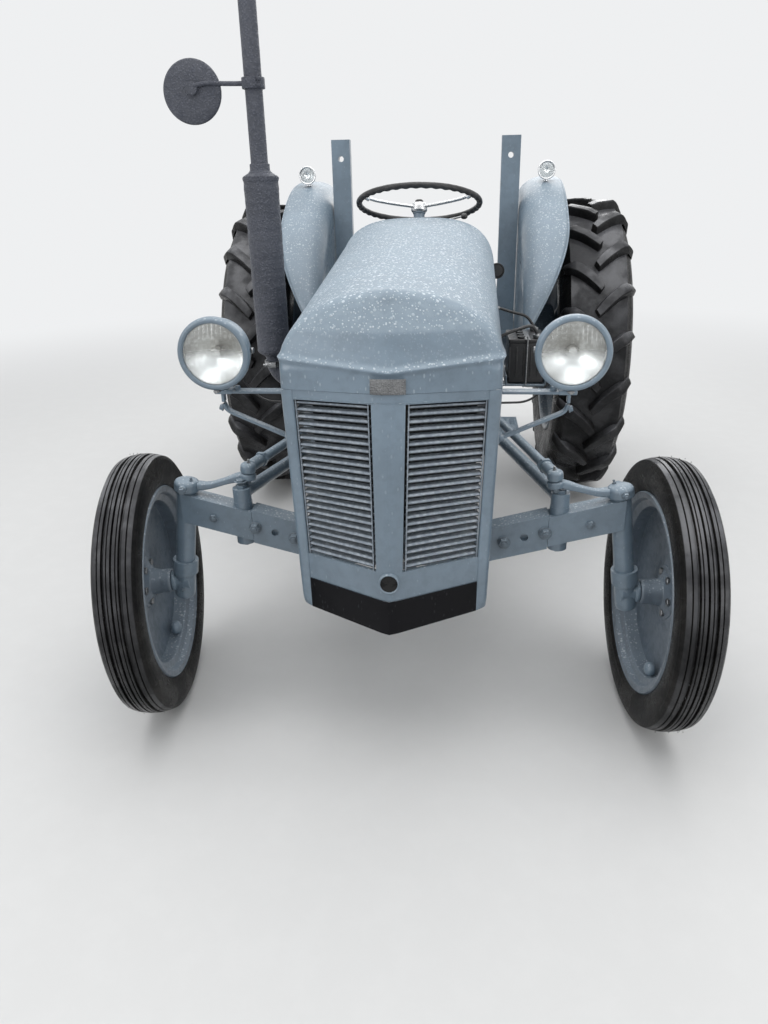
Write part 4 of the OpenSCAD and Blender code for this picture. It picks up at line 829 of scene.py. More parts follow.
def makeFacePanel(lowZ, highZ, lowHalf, highHalf, lips=(True, True), sideLips=False):
    # Rows rise over the face, with a lip folded back along the edges that border a window
    z = np.linspace(lowZ, highZ, 30)
    half = np.interp(z, [lowZ, highZ], [lowHalf, highHalf])
    x = np.linspace(-1, 1, 41)[None]*half[:, None]
    rows = [facePoints(x, z[:, None])]
    lip = grille["lip"]
    if lips[0]:
        rows.insert(0, facePoints(x[:1], z[:1, None] + 0.0015, 0.003))
        rows.insert(0, facePoints(x[:1], z[:1, None] + 0.002, lip))
    if lips[1]:
        rows.append(facePoints(x[-1:], z[-1:, None] - 0.0005, 0.003))
        rows.append(facePoints(x[-1:], z[-1:, None] - 0.001, lip))
    grid = np.concatenate(rows)
    if sideLips:
        grid = np.concatenate([grid[:, :1] + [0, lip, 0], grid, grid[:, -1:] + [0, lip, 0]], 1)
    return thickSheet(grid, -grille["sheet"])


crankRing = {"place": (0, float(grilleFace(0.0, grille["holeZ"])) + 0.008, grille["holeZ"]),
    "axis": (0, -1, 0.1), "collar": ((0.019, -0.002), (0.0195, 0.0085), (0.0215, 0.0098), (0.0235, 0.0085),
        (0.024, -0.002)),
    "dark": ((0, -0.004), (0.0192, -0.004), (0.0192, 0.0068), (0.012, 0.0055), (0, 0.005))}


def makeGrilleShell():
    low, high, top, foot = (grille[key] for key in ("windowLow", "windowHigh", "topZ", "panelLow"))
    parts = bothSides([makeFlange()])
    parts.append(makeFacePanel(high, top, windowInner(high), windowInner(top), (True, False)))
    parts.append(makeFacePanel(foot, low, windowInner(foot), windowInner(low), (False, True)))
    parts.append(makeFacePanel(low - 0.004, high + 0.004, grille["barLow"], grille["barTop"], (False, False),
        True))
    parts.append(lathe(crankRing["collar"], crankRing["place"], crankRing["axis"], 40, closed=True))
    return parts


grillePiece = addPiece("grilleShell", makeGrilleShell(), "bonnet", paint, sharp=42)
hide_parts("grille_surround")
# Painted shade: a near-black disc closes the crank hole, standing in for its shaded depth
crankShadeDisc = lathe(crankRing["dark"], crankRing["place"], crankRing["axis"], 32)
addPiece("crankHole", [crankShadeDisc], "bonnet", paintedHoleShade)

# Hinge blocks and pins at the shell's foot
hinge = {"y": frontAxleY - 0.12, "z": 0.42998, "legX": 0.136, "legWall": 0.014, "half": 0.012, "pin": 0.008}


def makeHinge():
    y, z, half = hinge["y"], hinge["z"], hinge["half"]
    blockX = hinge["legX"] + hinge["legWall"] + 0.001
    block = softBox((blockX, y - half, z - half), (float(grilleHalf(z)) - 0.002, y + half, z + half), 0.003)
    return [block, rod((hinge["legX"] - 0.008, y, z), (blockX + 0.01, y, z), hinge["pin"])]


addPiece("grilleHinges", bothSides(makeHinge()), "bonnet", steel)


def makeSlats():
    # Each slat: a rolled front lip of radius r, then a leaf sloping up to the rear; strips frame each window
    r, depth, gap = grille["slatNose"], grille["slatDepth"], grille["frameGap"]
    t = np.linspace(-0.5*np.pi, 0.62*np.pi, 9)
    nose = np.stack([r*np.cos(t) - r, r*np.sin(t)], 1)
    section = np.concatenate([nose, [(-depth, 0.0062), (-depth, 0.0042), (-1.3*r, -0.1*r), (-1.7*r, -0.9*r)]])
    pitch = (grille["windowHigh"] - grille["windowLow"])/grille["slats"]
    parts = []
    for number in range(grille["slats"]):
        z = grille["windowLow"] + pitch*(number + 0.5)
        x = np.linspace(barHalf(z) + gap, float(windowInner(z)) - gap, 5)
        parts.append(sweep(np.stack([x, grilleFace(x, z) + 0.0053, np.full(5, z)], 1), section))
    z = np.linspace(grille["windowLow"] - 0.002, grille["windowHigh"] + 0.002, 12)
    strip = rounded([(-0.0016, -0.007), (0.0016, -0.007), (0.0016, 0.0015), (-0.0016, 0.0015)], 0.001, 3)
    for x in (barHalf(z) + gap, windowInner(z) - gap):
        parts.append(sweep(np.stack([x, grilleFace(x, z) + 0.0045, z], 1), strip, up=toFront))
    return bothSides(parts)


slatsPiece = addPiece("grilleSlats", makeSlats(), "bonnet", slatPaint, sharp=60)
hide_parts("grille_slats")


def bentPlate(halfWidth, lowZ, highZ, front, thickness, ease):
    # A plate folded over the nose: both faces follow the grille's own face
    x = np.linspace(-halfWidth, halfWidth, 41)[None]
    z = np.linspace(lowZ, highZ, 12)[:, None]
    grid = facePoints(x, z, -front)
    edge = np.maximum(np.abs(x)/halfWidth, 0)**24 + (np.abs(z - (lowZ + highZ)/2)/((highZ - lowZ)/2))**24
    grid[..., 1] += ease*np.minimum(1, edge)
    return thickSheet(grid, -thickness)


plate = {"halfWidth": 0.196, "lowZ": 0.391, "highZ": 0.4685, "front": 0.0042, "thickness": 0.003,
    "ease": 0.001}
badge = {"halfWidth": 0.0375, "lowZ": 0.9225, "highZ": 0.9545, "front": 0.0085, "thickness": 0.0035,
    "ease": 0.002}
platePiece = addPiece("blankPlate", [bentPlate(**plate)], "bonnet", blackPaint)
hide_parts("number_plate")
addPiece("blankBadge", [bentPlate(**badge)], "bonnet", badgeMetal)
print("grille made")


headlamp = {
    "x": 0.381, "y": frontAxleY - 0.172, "z": 0.994,
    "shell": ((0.068, 0.012), (0.0725, 0.012), (0.074, 0.024), (0.0715, 0.058), (0.054, 0.09), (0.028, 0.106),
        (0, 0.112)),
    "inside": ((0.0, 0.106), (0.026, 0.1), (0.052, 0.084), (0.068, 0.055), (0.068, 0.012)),
    "rim": ((0.0655, 0.003), (0.0665, -0.0015), (0.072, -0.0035), (0.078, 0.0005), (0.079, 0.008),
        (0.079, 0.017), (0.0755, 0.021), (0.0735, 0.016), (0.0745, 0.007), (0.07, 0.003)),
    "bulb": ((0, 0.02), (0.009, 0.02), (0.012, 0.026), (0.012, 0.04), (0, 0.04)),
    "reflectorRadius": 0.0655, "glassRadius": 0.0653, "wire": 0.0026,
}
bracket = {"y": headlamp["y"] + 0.06, "barZ": 0.9, "stayZ": 0.795, "kneeZ": 0.858, "gap": 0.0006,
    "bar": ((-0.016, -0.003), (0.016, -0.003), (0.016, 0.003), (-0.016, 0.003)),
    "stay": ((-0.01, -0.0032), (0.01, -0.0032), (0.01, 0.0032), (-0.01, 0.0032))}


def lampPlace(x=0.0, y=0.0, z=0.0):
    return (headlamp["x"] + x, headlamp["y"] + y, headlamp["z"] + z)


def lampTurned(profile, steps, closed=False):
    return lathe(profile, lampPlace(), toRear, steps, closed=closed)


def makeBracket():
    # A flat bar from the grille, an upright to the lamp, and a stay that rises from lower down
    lampX, y, barZ, stayZ = headlamp["x"], bracket["y"], bracket["barZ"], bracket["stayZ"]
    barEnd, stayEnd = (float(grilleHalf(z)) + bracket["gap"] for z in (barZ, stayZ))
    knee = (lampX + 0.004, y, bracket["kneeZ"])
    parts = [sweep([(barEnd, y, barZ), (0.3, y, barZ), (lampX + 0.018, y, barZ)],
        rounded(bracket["bar"], 0.002, 3))]
    parts.append(softBox((lampX - 0.02, y - 0.018, barZ - 0.004), (lampX + 0.02, y + 0.018, barZ + 0.006),
        0.003))
    parts.append(softBox((lampX - 0.009, y - 0.01, barZ + 0.005), (lampX + 0.009, y + 0.01, barZ + 0.032),
        0.004))
    path = curvedPath([(stayEnd + 0.003, y, stayZ), (stayEnd + 0.016, y, stayZ + 0.002), knee,
        (lampX + 0.004, y, barZ - 0.003)], 0.02, 8)
    parts.append(sweep(path, rounded(bracket["stay"], 0.0015, 3), up=(0.02, 0, 1)))
    parts.append(softBox((stayEnd, y - 0.014, stayZ - 0.011), (stayEnd + 0.008, y + 0.014, stayZ + 0.011),
        0.002))
    bolts = (((stayEnd + 0.008, y - 0.006, stayZ), toLeft), ((lampX - 0.03, y, barZ + 0.003), toTop),
        ((knee[0] + 0.001, y - 0.005, bracket["kneeZ"] + 0.004), (1, 0, 0.3)),
        ((lampX, y - 0.012, barZ + 0.016), toFront))
    for place, direction in bolts:
        parts += hexBolt(place, direction, 0.012, 0.007)
    return parts


shellProfile = rounded(headlamp["shell"], 0.02, 8, closed=False)
lampParts = [lampTurned(np.concatenate([shellProfile, headlamp["inside"]]), 64),
    lampTurned(rounded(headlamp["rim"], 0.003, 5), 80, closed=True)]
lampBodies = addPiece("headlampShells", bothSides(lampParts + makeBracket()), "bonnet", paint)
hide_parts("headlamps")
clip = [softBox(lampPlace(-0.007, -0.002, -0.0835), lampPlace(0.007, 0.022, -0.0775), 0.0025)]
clip += hexBolt(lampPlace(0, -0.001, -0.0805), toFront, 0.007, 0.004, 0)
clip.append(rod(lampPlace(-0.079, 0.045, 0.0), lampPlace(-0.073, 0.045, 0.0), 0.007))
addPiece("headlampClips", bothSides(clip), "bonnet", steel)
t = np.linspace(0, 1, 20)
mirrorBowl = np.stack([headlamp["reflectorRadius"]*t, 0.043 - 0.038*t**1.7], 1)
reflector = [lampTurned(np.concatenate([mirrorBowl, (mirrorBowl + [0, 0.0015])[::-1]]), 64),
    lampTurned(rounded(headlamp["bulb"], 0.002, closed=False), 24)]


def makeReflector():
    # Silvered bowl with a painted reflection: darker, rougher and brownish above the lamp's middle, bright
    # below it
    s = Shader("tarnishedSilver")
    place = objectPlace(s)
    marks = s.place(mottling, Vector=place, Scale=12.0)
    spot = s.add("ShaderNodeSeparateXYZ")
    s.join(place, spot.inputs[0])
    # Painted reflection: the bowl is near white below the lamp's middle and a darker brownish grey above it
    lower = s.between(spot.outputs["Z"], headlamp["z"] - 0.022, headlamp["z"] + 0.012, 1.0, 0.0)
    upperReflection = s.blend(marks.outputs["Fine"], (0.5, 0.485, 0.46), (0.68, 0.67, 0.65))
    s.feed(s.blend(lower, upperReflection, (0.96, 0.96, 0.96)), "Base Color")
    s.feed(s.between(lower, 0.0, 1.0, 0.28, 0.12), "Roughness")
    s.fix("Metallic", 1.0)
    s.bump(marks.outputs["Grain"], 0.25, 0.0004)
    return s.material


addPiece("headlampReflectors", bothSides(reflector), "bonnet", makeReflector())
wireEndZ = 0.866
wire = curvedPath([lampPlace(-0.02, 0.095, -0.04), lampPlace(-0.035, 0.1, -0.085),
    lampPlace(-0.075, 0.105, -0.13), (float(grilleHalf(wireEndZ)) + 0.001, bracket["y"] + 0.03, wireEndZ)],
    0.03, 8)
wireParts = [sweep(wire, circle(headlamp["wire"], 10), up=toRear)]
addPiece("headlampWires", bothSides(wireParts), "bonnet", blackPlastic)
dome = np.stack([headlamp["glassRadius"]*t, -0.0075 + 0.0095*t**2.2], 1)
glass = [lampTurned(np.concatenate([dome, (dome*[0.985, 1] + [0, 0.0032])[::-1]]), 72)]
lensPiece = addPiece("headlampGlass", bothSides(glass), "bonnet", lensGlass)
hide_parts("headlamp_lenses")
print("headlamps made")


def wheelFrame(joint):
    # Centre of a wheel and its axis turned to point outwards
    centre, axis = np.array(joints[joint]["pos_m"]), np.array(joints[joint]["axis"])
    return centre, axis*np.sign(centre[0]*axis[0])


def setOn(parts, centre, axis):
    return [ontoAxis(part, centre, axis) for part in parts]


def bothFaces(half, back, around):
    # A rim drawn on one side of its middle plane, h = 0, and closed by its mirror image
    flip = np.array([1, -1])
    return turnedClosed(np.concatenate([half, (half*flip)[::-1], back[::-1]*flip, back]), around)


def turnedClosed(profile, around):
    return lathe(profile, (0, 0, 0), toTop, around, closed=True)


def tyreOutline(half, inner):
    # Half an outline (r, h) with its mirror image in h, then the carcass's inside
    return np.concatenate([(half[::-1]*[1, -1])[:-1], half, inner, (inner*[1, -1])[::-1][1:]])


frontTyre = {
    "crown": 0.346, "curve": 4.2, "treadHalf": 0.0425, "around": 144,
    "grooves": ((0.0, 0.0019, 0.0075), (0.02, 0.0034, 0.008), (0.0105, 0.0006, 0.003),
        (0.033, 0.0008, 0.0035)),
    "wall": ((0.3385, 0.0425), (0.3372, 0.0452), (0.334, 0.047), (0.32, 0.0538), (0.3, 0.0552),
        (0.28, 0.0515), (0.266, 0.0462), (0.26, 0.0438), (0.259, 0.04), (0.256, 0.0385), (0.242, 0.0385)),
    "beads": ((0.0012, 0.327, 0.0022), (0.001, 0.2745, 0.0025)),
    "inner": ((0.242, 0.03), (0.262, 0.036), (0.3, 0.045), (0.325, 0.04), (0.334, 0.0)),
    "whiskers": {"count": 90, "radius": 0.3445, "height": 0.0045, "width": 0.0007,
        "across": (-0.021, -0.008, 0.008, 0.021, 0.034)},
}   # grooves: middle, half width, depth; beads on the wall: height, radius, width


def frontTyreProfile():
    # r(h) = crown - curve h^2, less a groove of smoothed sides; then the sidewall down to the bead
    h = np.linspace(0, frontTyre["treadHalf"], 82)
    r = frontTyre["crown"] - frontTyre["curve"]*h**2
    for middle, half, depth in frontTyre["grooves"]:
        r -= depth*(1 - smoothstep(np.abs(h - middle), half - 0.0006, half + 0.0008))
    wall = rounded(frontTyre["wall"], [0, 0.002, 0.003] + [0.012]*8, 6, closed=False)
    bumps = sum(height*np.exp(-((wall[:, 0] - radius)/width)**2) for height, radius,
        width in frontTyre["beads"])
    bumps[0] = 0
    wall[:, 1] += bumps
    half = np.concatenate([np.stack([r, h], 1), wall[1:]])
    return tyreOutline(half, np.array(frontTyre["inner"]))


def whiskerRing(centre, axis, values):
    # Moulding whiskers: thin rods standing out of the tread, at random places round it
    parts = []
    u, v, w = axesOf(axis)
    count, tall, width = values["count"], values["height"], values["width"]
    for angle, side, share in zip(randomNumbers.uniform(0, 2*np.pi, count),
            randomNumbers.choice(values["across"], count), randomNumbers.uniform(0.5, 1.0, count)):
        out = math.cos(angle)*u + math.sin(angle)*v
        start = centre + out*values["radius"] + side*w
        middle = start + out*tall*share*0.6 + w*0.0006
        parts.append(sweep([start, middle, start + out*tall*share], circle(width, 5), up=w))
    return parts


frontRim = {
    "radius": 0.2415, "half": 0.04, "flange": 0.017, "wall": 0.004, "around": 104,
    "disc": ((0.03, 0.0235), (0.072, 0.0245), (0.092, 0.03), (0.14, 0.027), (0.176, 0.0215), (0.205, 0.019),
        (0.2185, 0.0155)), "discWall": 0.0042,
    "hub": ((0, -0.046), (0.03, -0.046), (0.032, -0.04), (0.032, -0.02), (0.0365, 0.006), (0.058, 0.0165),
        (0.07, 0.0185), (0.07, 0.0275), (0.05, 0.029), (0.034, 0.033), (0.032, 0.04), (0.029, 0.0425),
        (0.0265, 0.054), (0.0215, 0.0562), (0, 0.0568)),
    "valve": ((0, 0), (0.0038, 0), (0.0038, 0.022), (0.0028, 0.024), (0.0028, 0.034), (0, 0.034)),
    "bolts": 6, "boltCircle": 0.0525,
    "lumpRadius": 0.202, "lumpAngle": math.radians(250), "lumpInwards": 0.008, "lumpSize": 0.0195,
}


def frontWheelParts():
    # Drawn about Z, which points outwards: rim with rolled flanges, pressed disc, hub with its cap
    r, w, f, t = (frontRim[key] for key in ("radius", "half", "flange", "wall"))
    outer = [(r + f*0.86, w + 0.0055), (r + f, w + 0.0025), (r + f*0.92, w + 0.0002), (r + 0.003, w),
        (r, w - 0.003), (r - 0.0015, w*0.7), (r - f*1.12, w*0.56), (r - f*1.15, w*0.3)]
    inner = [(r - f*1.15 - t, w*0.3), (r - f*1.15 - t, w*0.58), (r - 0.0015 - t, w*0.74), (r - t, w - 0.004),
        (r - 0.001, w + t), (r + f*0.8, w + t + 0.001), (r + f*0.8, w + 0.007)]
    parts = [bothFaces(rounded(outer, 0.004, 4, closed=False), rounded(inner, 0.003, 4, closed=False),
        frontRim["around"])]
    dish = rounded(frontRim["disc"], 0.02, 6, closed=False)
    parts.append(turnedClosed(np.concatenate([dish, (dish - [0, frontRim["discWall"]])[::-1]]), 96))
    parts.append(turned(frontRim["hub"], 0.0022, 4, (0, 0, 0), toTop, 48))
    return parts


def frontHardware():
    # Wheel bolts with their nuts behind the disc, and the valve
    parts = []
    for angle in np.arange(frontRim["bolts"])*2*np.pi/frontRim["bolts"]:
        spoke = frontRim["boltCircle"]*np.array([math.cos(angle), math.sin(angle), 0])
        parts += hexBolt(spoke + [0, 0, 0.0285], toTop, 0.0185, 0.011, 0, 0.004)
        parts += hexBolt(spoke + [0, 0, 0.016], toGround, 0.0175, 0.007, 0)
    parts.append(lathe(frontRim["valve"], (0.212, 0.0, 0.017), (0.25, 0, 1), 12))
    return parts


def balanceLump(centre, axis):
    # A lead lump on the disc: a flattened ball, r = size cos t, h = 3/4 size sin t
    u, v, w = axesOf(axis)
    around = math.cos(frontRim["lumpAngle"])*u + math.sin(frontRim["lumpAngle"])*v
    t = np.linspace(-np.pi/2, np.pi/2, 13)
    ball = np.stack([np.cos(t), 0.75*np.sin(t)], 1)*frontRim["lumpSize"]
    return lathe(ball, centre + frontRim["lumpRadius"]*around - frontRim["lumpInwards"]*w, w, 24)


for sideName in ("left", "right"):
    centre, axis = wheelFrame("front_wheel_spin_" + sideName)
    body = "front_wheel_" + sideName
    carcass = setOn([turnedClosed(frontTyreProfile(), frontTyre["around"])], centre, axis)
    tyre = addPiece("frontTyre_" + sideName, carcass, body, rubber, sharp=32)
    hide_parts("front_tyre_" + sideName)
    whiskers = whiskerRing(centre, axis, frontTyre["whiskers"])
    addPiece("frontTyreWhiskers_" + sideName, whiskers, body, rubber)
    wheelParts = setOn(frontWheelParts(), centre, axis)
    wheel = addPiece("frontWheel_" + sideName, wheelParts, body, wheelPaint, sharp=34)
    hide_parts("front_wheel_" + sideName)
    addPiece("frontWheelLump_" + sideName, [balanceLump(centre, axis)], body, paint)
    addPiece("frontWheelBolts_" + sideName, setOn(frontHardware(), centre, axis), body, steel)
print("front wheels made")


rearTyre = {
    "tip": 0.623, "carcass": 0.59, "curve": 0.45, "treadHalf": 0.105, "around": 160, "lugs": 20, "edge": 0.14,
    "wall": ((0.5755, 0.105), (0.55, 0.129), (0.515, 0.14), (0.475, 0.142), (0.43, 0.1355),
        (0.395, 0.1255), (0.38, 0.1215), (0.379, 0.116), (0.375, 0.115), (0.3555, 0.115)),
    "inner": ((0.3555, 0.103), (0.385, 0.108), (0.47, 0.128), (0.53, 0.12), (0.56, 0.085), (0.572, 0.0)),
}
lugRows = {   # by distance from the tyre's middle: turn in degrees, half width, radii of top and foot
    "across": [-0.01, 0.014, 0.058, 0.103, 0.136], "turn": [0, 2.6, 6.6, 9.6, 11.5],
    "half": [0.018, 0.022, 0.023, 0.025, 0.018], "top": [0.6215, 0.623, 0.6206, 0.6115, 0.562],
    "foot": [0.581, 0.581, 0.581, 0.579, 0.52],
    "steps": [-0.01, -0.0085, -0.004, 0.004, 0.014, 0.028, 0.044, 0.06, 0.076, 0.09, 0.103, 0.114, 0.124,
        0.132, 0.136],
    "flank": [(1.38, 0.0), (1.2, 0.45), (1.08, 0.82), (0.97, 0.95), (0.84, 1.0)], "crest": (0.0, 1.015),
}


def rearTyreProfile():
    # r(h) = carcass - curve h^2, then the sidewall with two moulded ribs
    h = np.linspace(0, rearTyre["treadHalf"], 16)
    crown = np.stack([rearTyre["carcass"] - rearTyre["curve"]*h**2, h], 1)
    wall = rounded(rearTyre["wall"], 0.03, 6, closed=False)
    wall[:, 1] += 0.002*np.exp(-((wall[:, 0] - 0.4)/0.004)**2) + 0.0015*np.exp(-((wall[:,
        0] - 0.52)/0.003)**2)
    return tyreOutline(np.concatenate([crown, wall[1:]]), np.array(rearTyre["inner"]))


def smoothLine(x, xs, ys):
    # Cubic through the points with slopes taken from their neighbours (Hermite form)
    xs, ys = np.asarray(xs, float), np.asarray(ys, float)
    slope = np.gradient(ys, xs)
    i = np.clip(np.searchsorted(xs, x) - 1, 0, len(xs) - 2)
    width = xs[i + 1] - xs[i]
    t = (x - xs[i])/width
    return ((2*t**3 - 3*t**2 + 1)*ys[i] + (t**3 - 2*t**2 + t)*width*slope[i]
        + (3*t**2 - 2*t**3)*ys[i + 1] + (t**3 - t**2)*width*slope[i + 1])


def lugGrid(half, start):
    # Spine by distance h from the middle: angle = start + turn(h); section: foot, flank, rounded top,
    # flank, foot
    h = np.array(lugRows["steps"])
    turn, width, top = (smoothLine(h, lugRows["across"], lugRows[key]) for key in ("turn", "half", "top"))
    foot = np.interp(h, lugRows["across"], lugRows["foot"])
    width[0] -= 0.004
    width[-1] -= 0.003
    top[0] -= 0.007
    top[-1] -= 0.01
    flank = np.array(lugRows["flank"])
    shape = np.concatenate([flank*[-1, 1], [lugRows["crest"]], flank[::-1]])
    wear = randomNumbers.uniform(-0.0015, 0.001, (len(h), 1)) + randomNumbers.uniform(-0.002, 0.001)
    radius = foot[:, None] + (top - foot)[:, None]*shape[None, :, 1] + wear*shape[None, :, 1]
    along = shape[None, :, 0]*width[:, None]
    theta = (start + np.radians(turn))[:, None] + 0.68*along/rearTyre["tip"]
    across = np.minimum(h[:, None] - 0.4*along, rearTyre["edge"])
    return np.stack([half*across, -radius*np.cos(theta), radius*np.sin(theta)], -1)


def rearLugs(centre, outward):
    # Two rows of lugs, the inner one half a pitch behind the outer one
    parts = []
    pitch = 2*np.pi/rearTyre["lugs"]
    side = np.sign(outward[0])
    for half, shift in ((side, 0.25), (-side, 0.75)):
        for number in range(rearTyre["lugs"]):
            parts.append(closedGrid(capped(lugGrid(half, pitch*(number + shift)) + centre)))
    return parts


rearRim = {
    "radius": 0.3555, "half": 0.118, "flange": 0.02, "wall": 0.005, "around": 128,
    "disc": ((0.05, -0.104), (0.118, -0.104), (0.15, -0.096), (0.225, -0.048), (0.275, -0.03),
        (0.3, -0.02), (0.33, -0.017)), "discWall": 0.0065,
    "hub": ((0, -0.113), (0.118, -0.113), (0.118, -0.106), (0.078, -0.102), (0.06, -0.096), (0.052, -0.072),
        (0.048, -0.066), (0, -0.064)),
    "drum": ((0.06, -0.1125), (0.178, -0.1125), (0.185, -0.119), (0.185, -0.205), (0.183, -0.224),
        (0.174, -0.224), (0.174, -0.125), (0.06, -0.119)),
    "rimLug": ((0.284, -0.028, -0.02), (0.3335, 0.028, -0.006)), "boltAngles": np.arange(8)*np.pi/4 + 0.2,
    "bolts": ((0.303, -0.0065, 0.024, 0.013, 0.006), (0.09, -0.103, 0.022, 0.012, 0.005)),
}   # bolts: radius, height, width across flats, head, stud


def rearWheelParts():
    # Drawn about Z, which points outwards, 0 at the tyre's middle: rim, dished disc, hub, brake drum, rim
    # lugs
    r, w, f, t = (rearRim[key] for key in ("radius", "half", "flange", "wall"))
    outer = [(r + f*0.8, w + 0.0075), (r + f, w + 0.0045), (r + f*0.94, w + 0.0004), (r + 0.004, w),
        (r, w - 0.004), (r - 0.003, w*0.72), (r - f*1.1, w*0.55), (r - f*1.15, w*0.3)]
    inner = [(r - f*1.15 - t, w*0.3), (r - f*1.15 - t, w*0.57), (r - 0.003 - t, w*0.75), (r - t, w - 0.005),
        (r - 0.001, w + t), (r + f*0.78, w + t + 0.0045)]
    parts = [bothFaces(rounded(outer, 0.006, 4, closed=False), rounded(inner, 0.005, 4, closed=False),
        rearRim["around"])]
    dish = rounded(rearRim["disc"], 0.03, 7, closed=False)
    parts.append(turnedClosed(np.concatenate([dish, (dish - [0, rearRim["discWall"]])[::-1]]), 112))
    parts.append(turned(rearRim["hub"], 0.005, 5, (0, 0, 0), toTop, 56))
    parts.append(turnedClosed(rounded(rearRim["drum"], 0.005, 5), 80))
    lug = softBox(*rearRim["rimLug"], 0.005)
    for angle in rearRim["boltAngles"]:
        c, s = math.cos(angle), math.sin(angle)
        parts.append((lug[0] @ np.array([[c, s, 0], [-s, c, 0], [0, 0, 1]]), lug[1]))
    return parts


def rearHardware():
    parts = []
    for angle in rearRim["boltAngles"]:
        for radius, height, across, head, stud in rearRim["bolts"]:
            place = (radius*math.cos(angle), radius*math.sin(angle), height)
            parts += hexBolt(place, toTop, across, head, 0.003, stud)
    return parts


for sideName in ("left", "right"):
    centre, axis = wheelFrame("rear_wheel_spin_" + sideName)
    body = "rear_wheel_" + sideName
    carcass = setOn([turnedClosed(rearTyreProfile(), rearTyre["around"])], centre, axis)
    tyre = addPiece("rearTyre_" + sideName, carcass + rearLugs(centre, axis), body, rubber, sharp=34)
    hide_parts("rear_tyre_" + sideName)
    wheelParts = setOn(rearWheelParts(), centre, axis)
    wheel = addPiece("rearWheel_" + sideName, wheelParts, body, wheelPaint, sharp=34)
    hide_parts("rear_wheel_" + sideName)
    addPiece("rearWheelNuts_" + sideName, setOn(rearHardware(), centre, axis), body, steel)
print("rear wheels made")


knuckle = {   # heights along the kingpin, and radii from it
    "arm": 0.153,
    "head": ((0, 0.1125), (0.03, 0.1125), (0.0325, 0.115), (0.0325, 0.133), (0.028, 0.14), (0.016, 0.1435),
        (0, 0.144)),
    "armPath": ((-0.012, 0, 0.127), (-0.055, 0, 0.129), (-0.11, 0, 0.153), (-0.142, 0, 0.1675)),
    "armSection": ((-0.0135, -0.009), (0.0135, -0.009), (0.0135, 0.009), (-0.0135, 0.009)),
    "eye": ((0, 0.159), (0.0185, 0.159), (0.0215, 0.162), (0.0215, 0.173), (0.019, 0.176), (0, 0.176)),
    "pinch": ((0, -0.008), (0.0105, -0.008), (0.0105, 0.008), (0, 0.008)),
    "block": ((0, -0.1268), (0.03, -0.1268), (0.03, -0.1305), (0.027, -0.132), (0.027, -0.19),
        (0.0245, -0.1985), (0.015, -0.2035), (0, -0.2045)),
    "stub": ((0, 0.006), (0.0285, 0.006), (0.0275, 0.024), (0.0245, 0.036), (0.024, 0.044), (0.028, 0.0455),
        (0.028, 0.0535), (0.024, 0.0542), (0, 0.0542)), "stubRoot": 0.101,
    "nipple": ((0, -0.001), (0.0046, -0.001), (0.0046, 0.0035), (0.0026, 0.004), (0.0026, 0.007),
        (0.0034, 0.008), (0.003, 0.01), (0, 0.0108)),
}
dragLink = {
    "ball": ((0, 0.1768), (0.015, 0.1768), (0.0195, 0.18), (0.02, 0.196), (0.016, 0.201), (0.012, 0.203),
        (0, 0.2038)), "ballHeight": 0.1895, "rearX": 0.186, "rearZ": 0.622, "length": 0.98,
    "rod": 0.0125, "sleeve": 0.016, "nut": ((0, 0), (0.02, 0), (0.02, 0.014), (0, 0.014)),
    "end": ((0, -0.012), (0.017, -0.012), (0.0195, -0.009), (0.0195, 0.009), (0.017, 0.012), (0, 0.012)),
}


class Kingpin:
    # A kingpin as parked: its origin k, outward direction o, forward direction f and axis w
    def __init__(self, sideName):
        joint = joints["steer_" + sideName]
        self.w = unit(np.array(joint["axis"]))
        self.k = np.array(joint["pos_m"])
        self.wheel, self.outward = wheelFrame("front_wheel_spin_" + sideName)
        self.o = unit(self.outward - np.dot(self.outward, self.w)*self.w)
        self.f = np.cross(self.w, self.o)

    def at(self, out, ahead, up):
        return self.k + out*self.o + ahead*self.f + up*self.w


def greaseNipple(place, direction):
    return [lathe(knuckle["nipple"], place, direction, 8)]


def knuckleParts(pin):
    # Head over the beam, steering arm with its eye, pinch boss, lower block and the wheel's stub
    parts = [turned(knuckle["head"], 0.006, 6, pin.k, pin.w, 40)]
    path = curvedPath([pin.at(*place) for place in knuckle["armPath"]], 0.03, 7)
    taper = 1.15 - 0.32*np.sin(np.pi*np.minimum(1, np.linspace(0, 1, len(path))*1.15)*0.9)
    parts.append(sweep(path, rounded(knuckle["armSection"], 0.006, 5), up=pin.w, scale=taper))
    parts.append(turned(knuckle["eye"], 0.002, 4, pin.at(-knuckle["arm"], 0, 0), pin.w, 32))
    parts.append(turned(knuckle["pinch"], 0.001, 3, pin.at(0.004, 0.033, 0.126), pin.f, 20))
    parts.append(turned(knuckle["block"], 0.004, 5, pin.k, pin.w, 48))
    parts.append(turned(knuckle["stub"], 0.003, 5, pin.wheel - pin.outward*knuckle["stubRoot"], pin.outward,
        48))
    return parts


def knuckleBolts(pin):
    parts = hexBolt(pin.at(0.004, 0.041, 0.126), pin.f, 0.015, 0.008, 0.002)
    parts += hexBolt(pin.at(0.004, -0.032, 0.126), -pin.f, 0.015, 0.009, 0.002, 0.004)
    parts += greaseNipple(pin.at(-0.012, 0.01, 0.143), pin.w + 0.3*pin.f)
    parts += greaseNipple(pin.at(0.0, 0.0265, -0.168), pin.f)
    parts += hexBolt(pin.at(-knuckle["arm"], 0, 0.159), -pin.w, 0.017, 0.012, 0.002, 0.006)
    return parts


def dragLinkEnds(pin):
    # The ball over the knuckle's eye, and the eye at the drop arm
    front = pin.at(-knuckle["arm"], 0, 0) + dragLink["ballHeight"]*pin.w
    rear = np.array([np.sign(pin.k[0])*dragLink["rearX"], front[1] + dragLink["length"], dragLink["rearZ"]])
    return front, rear


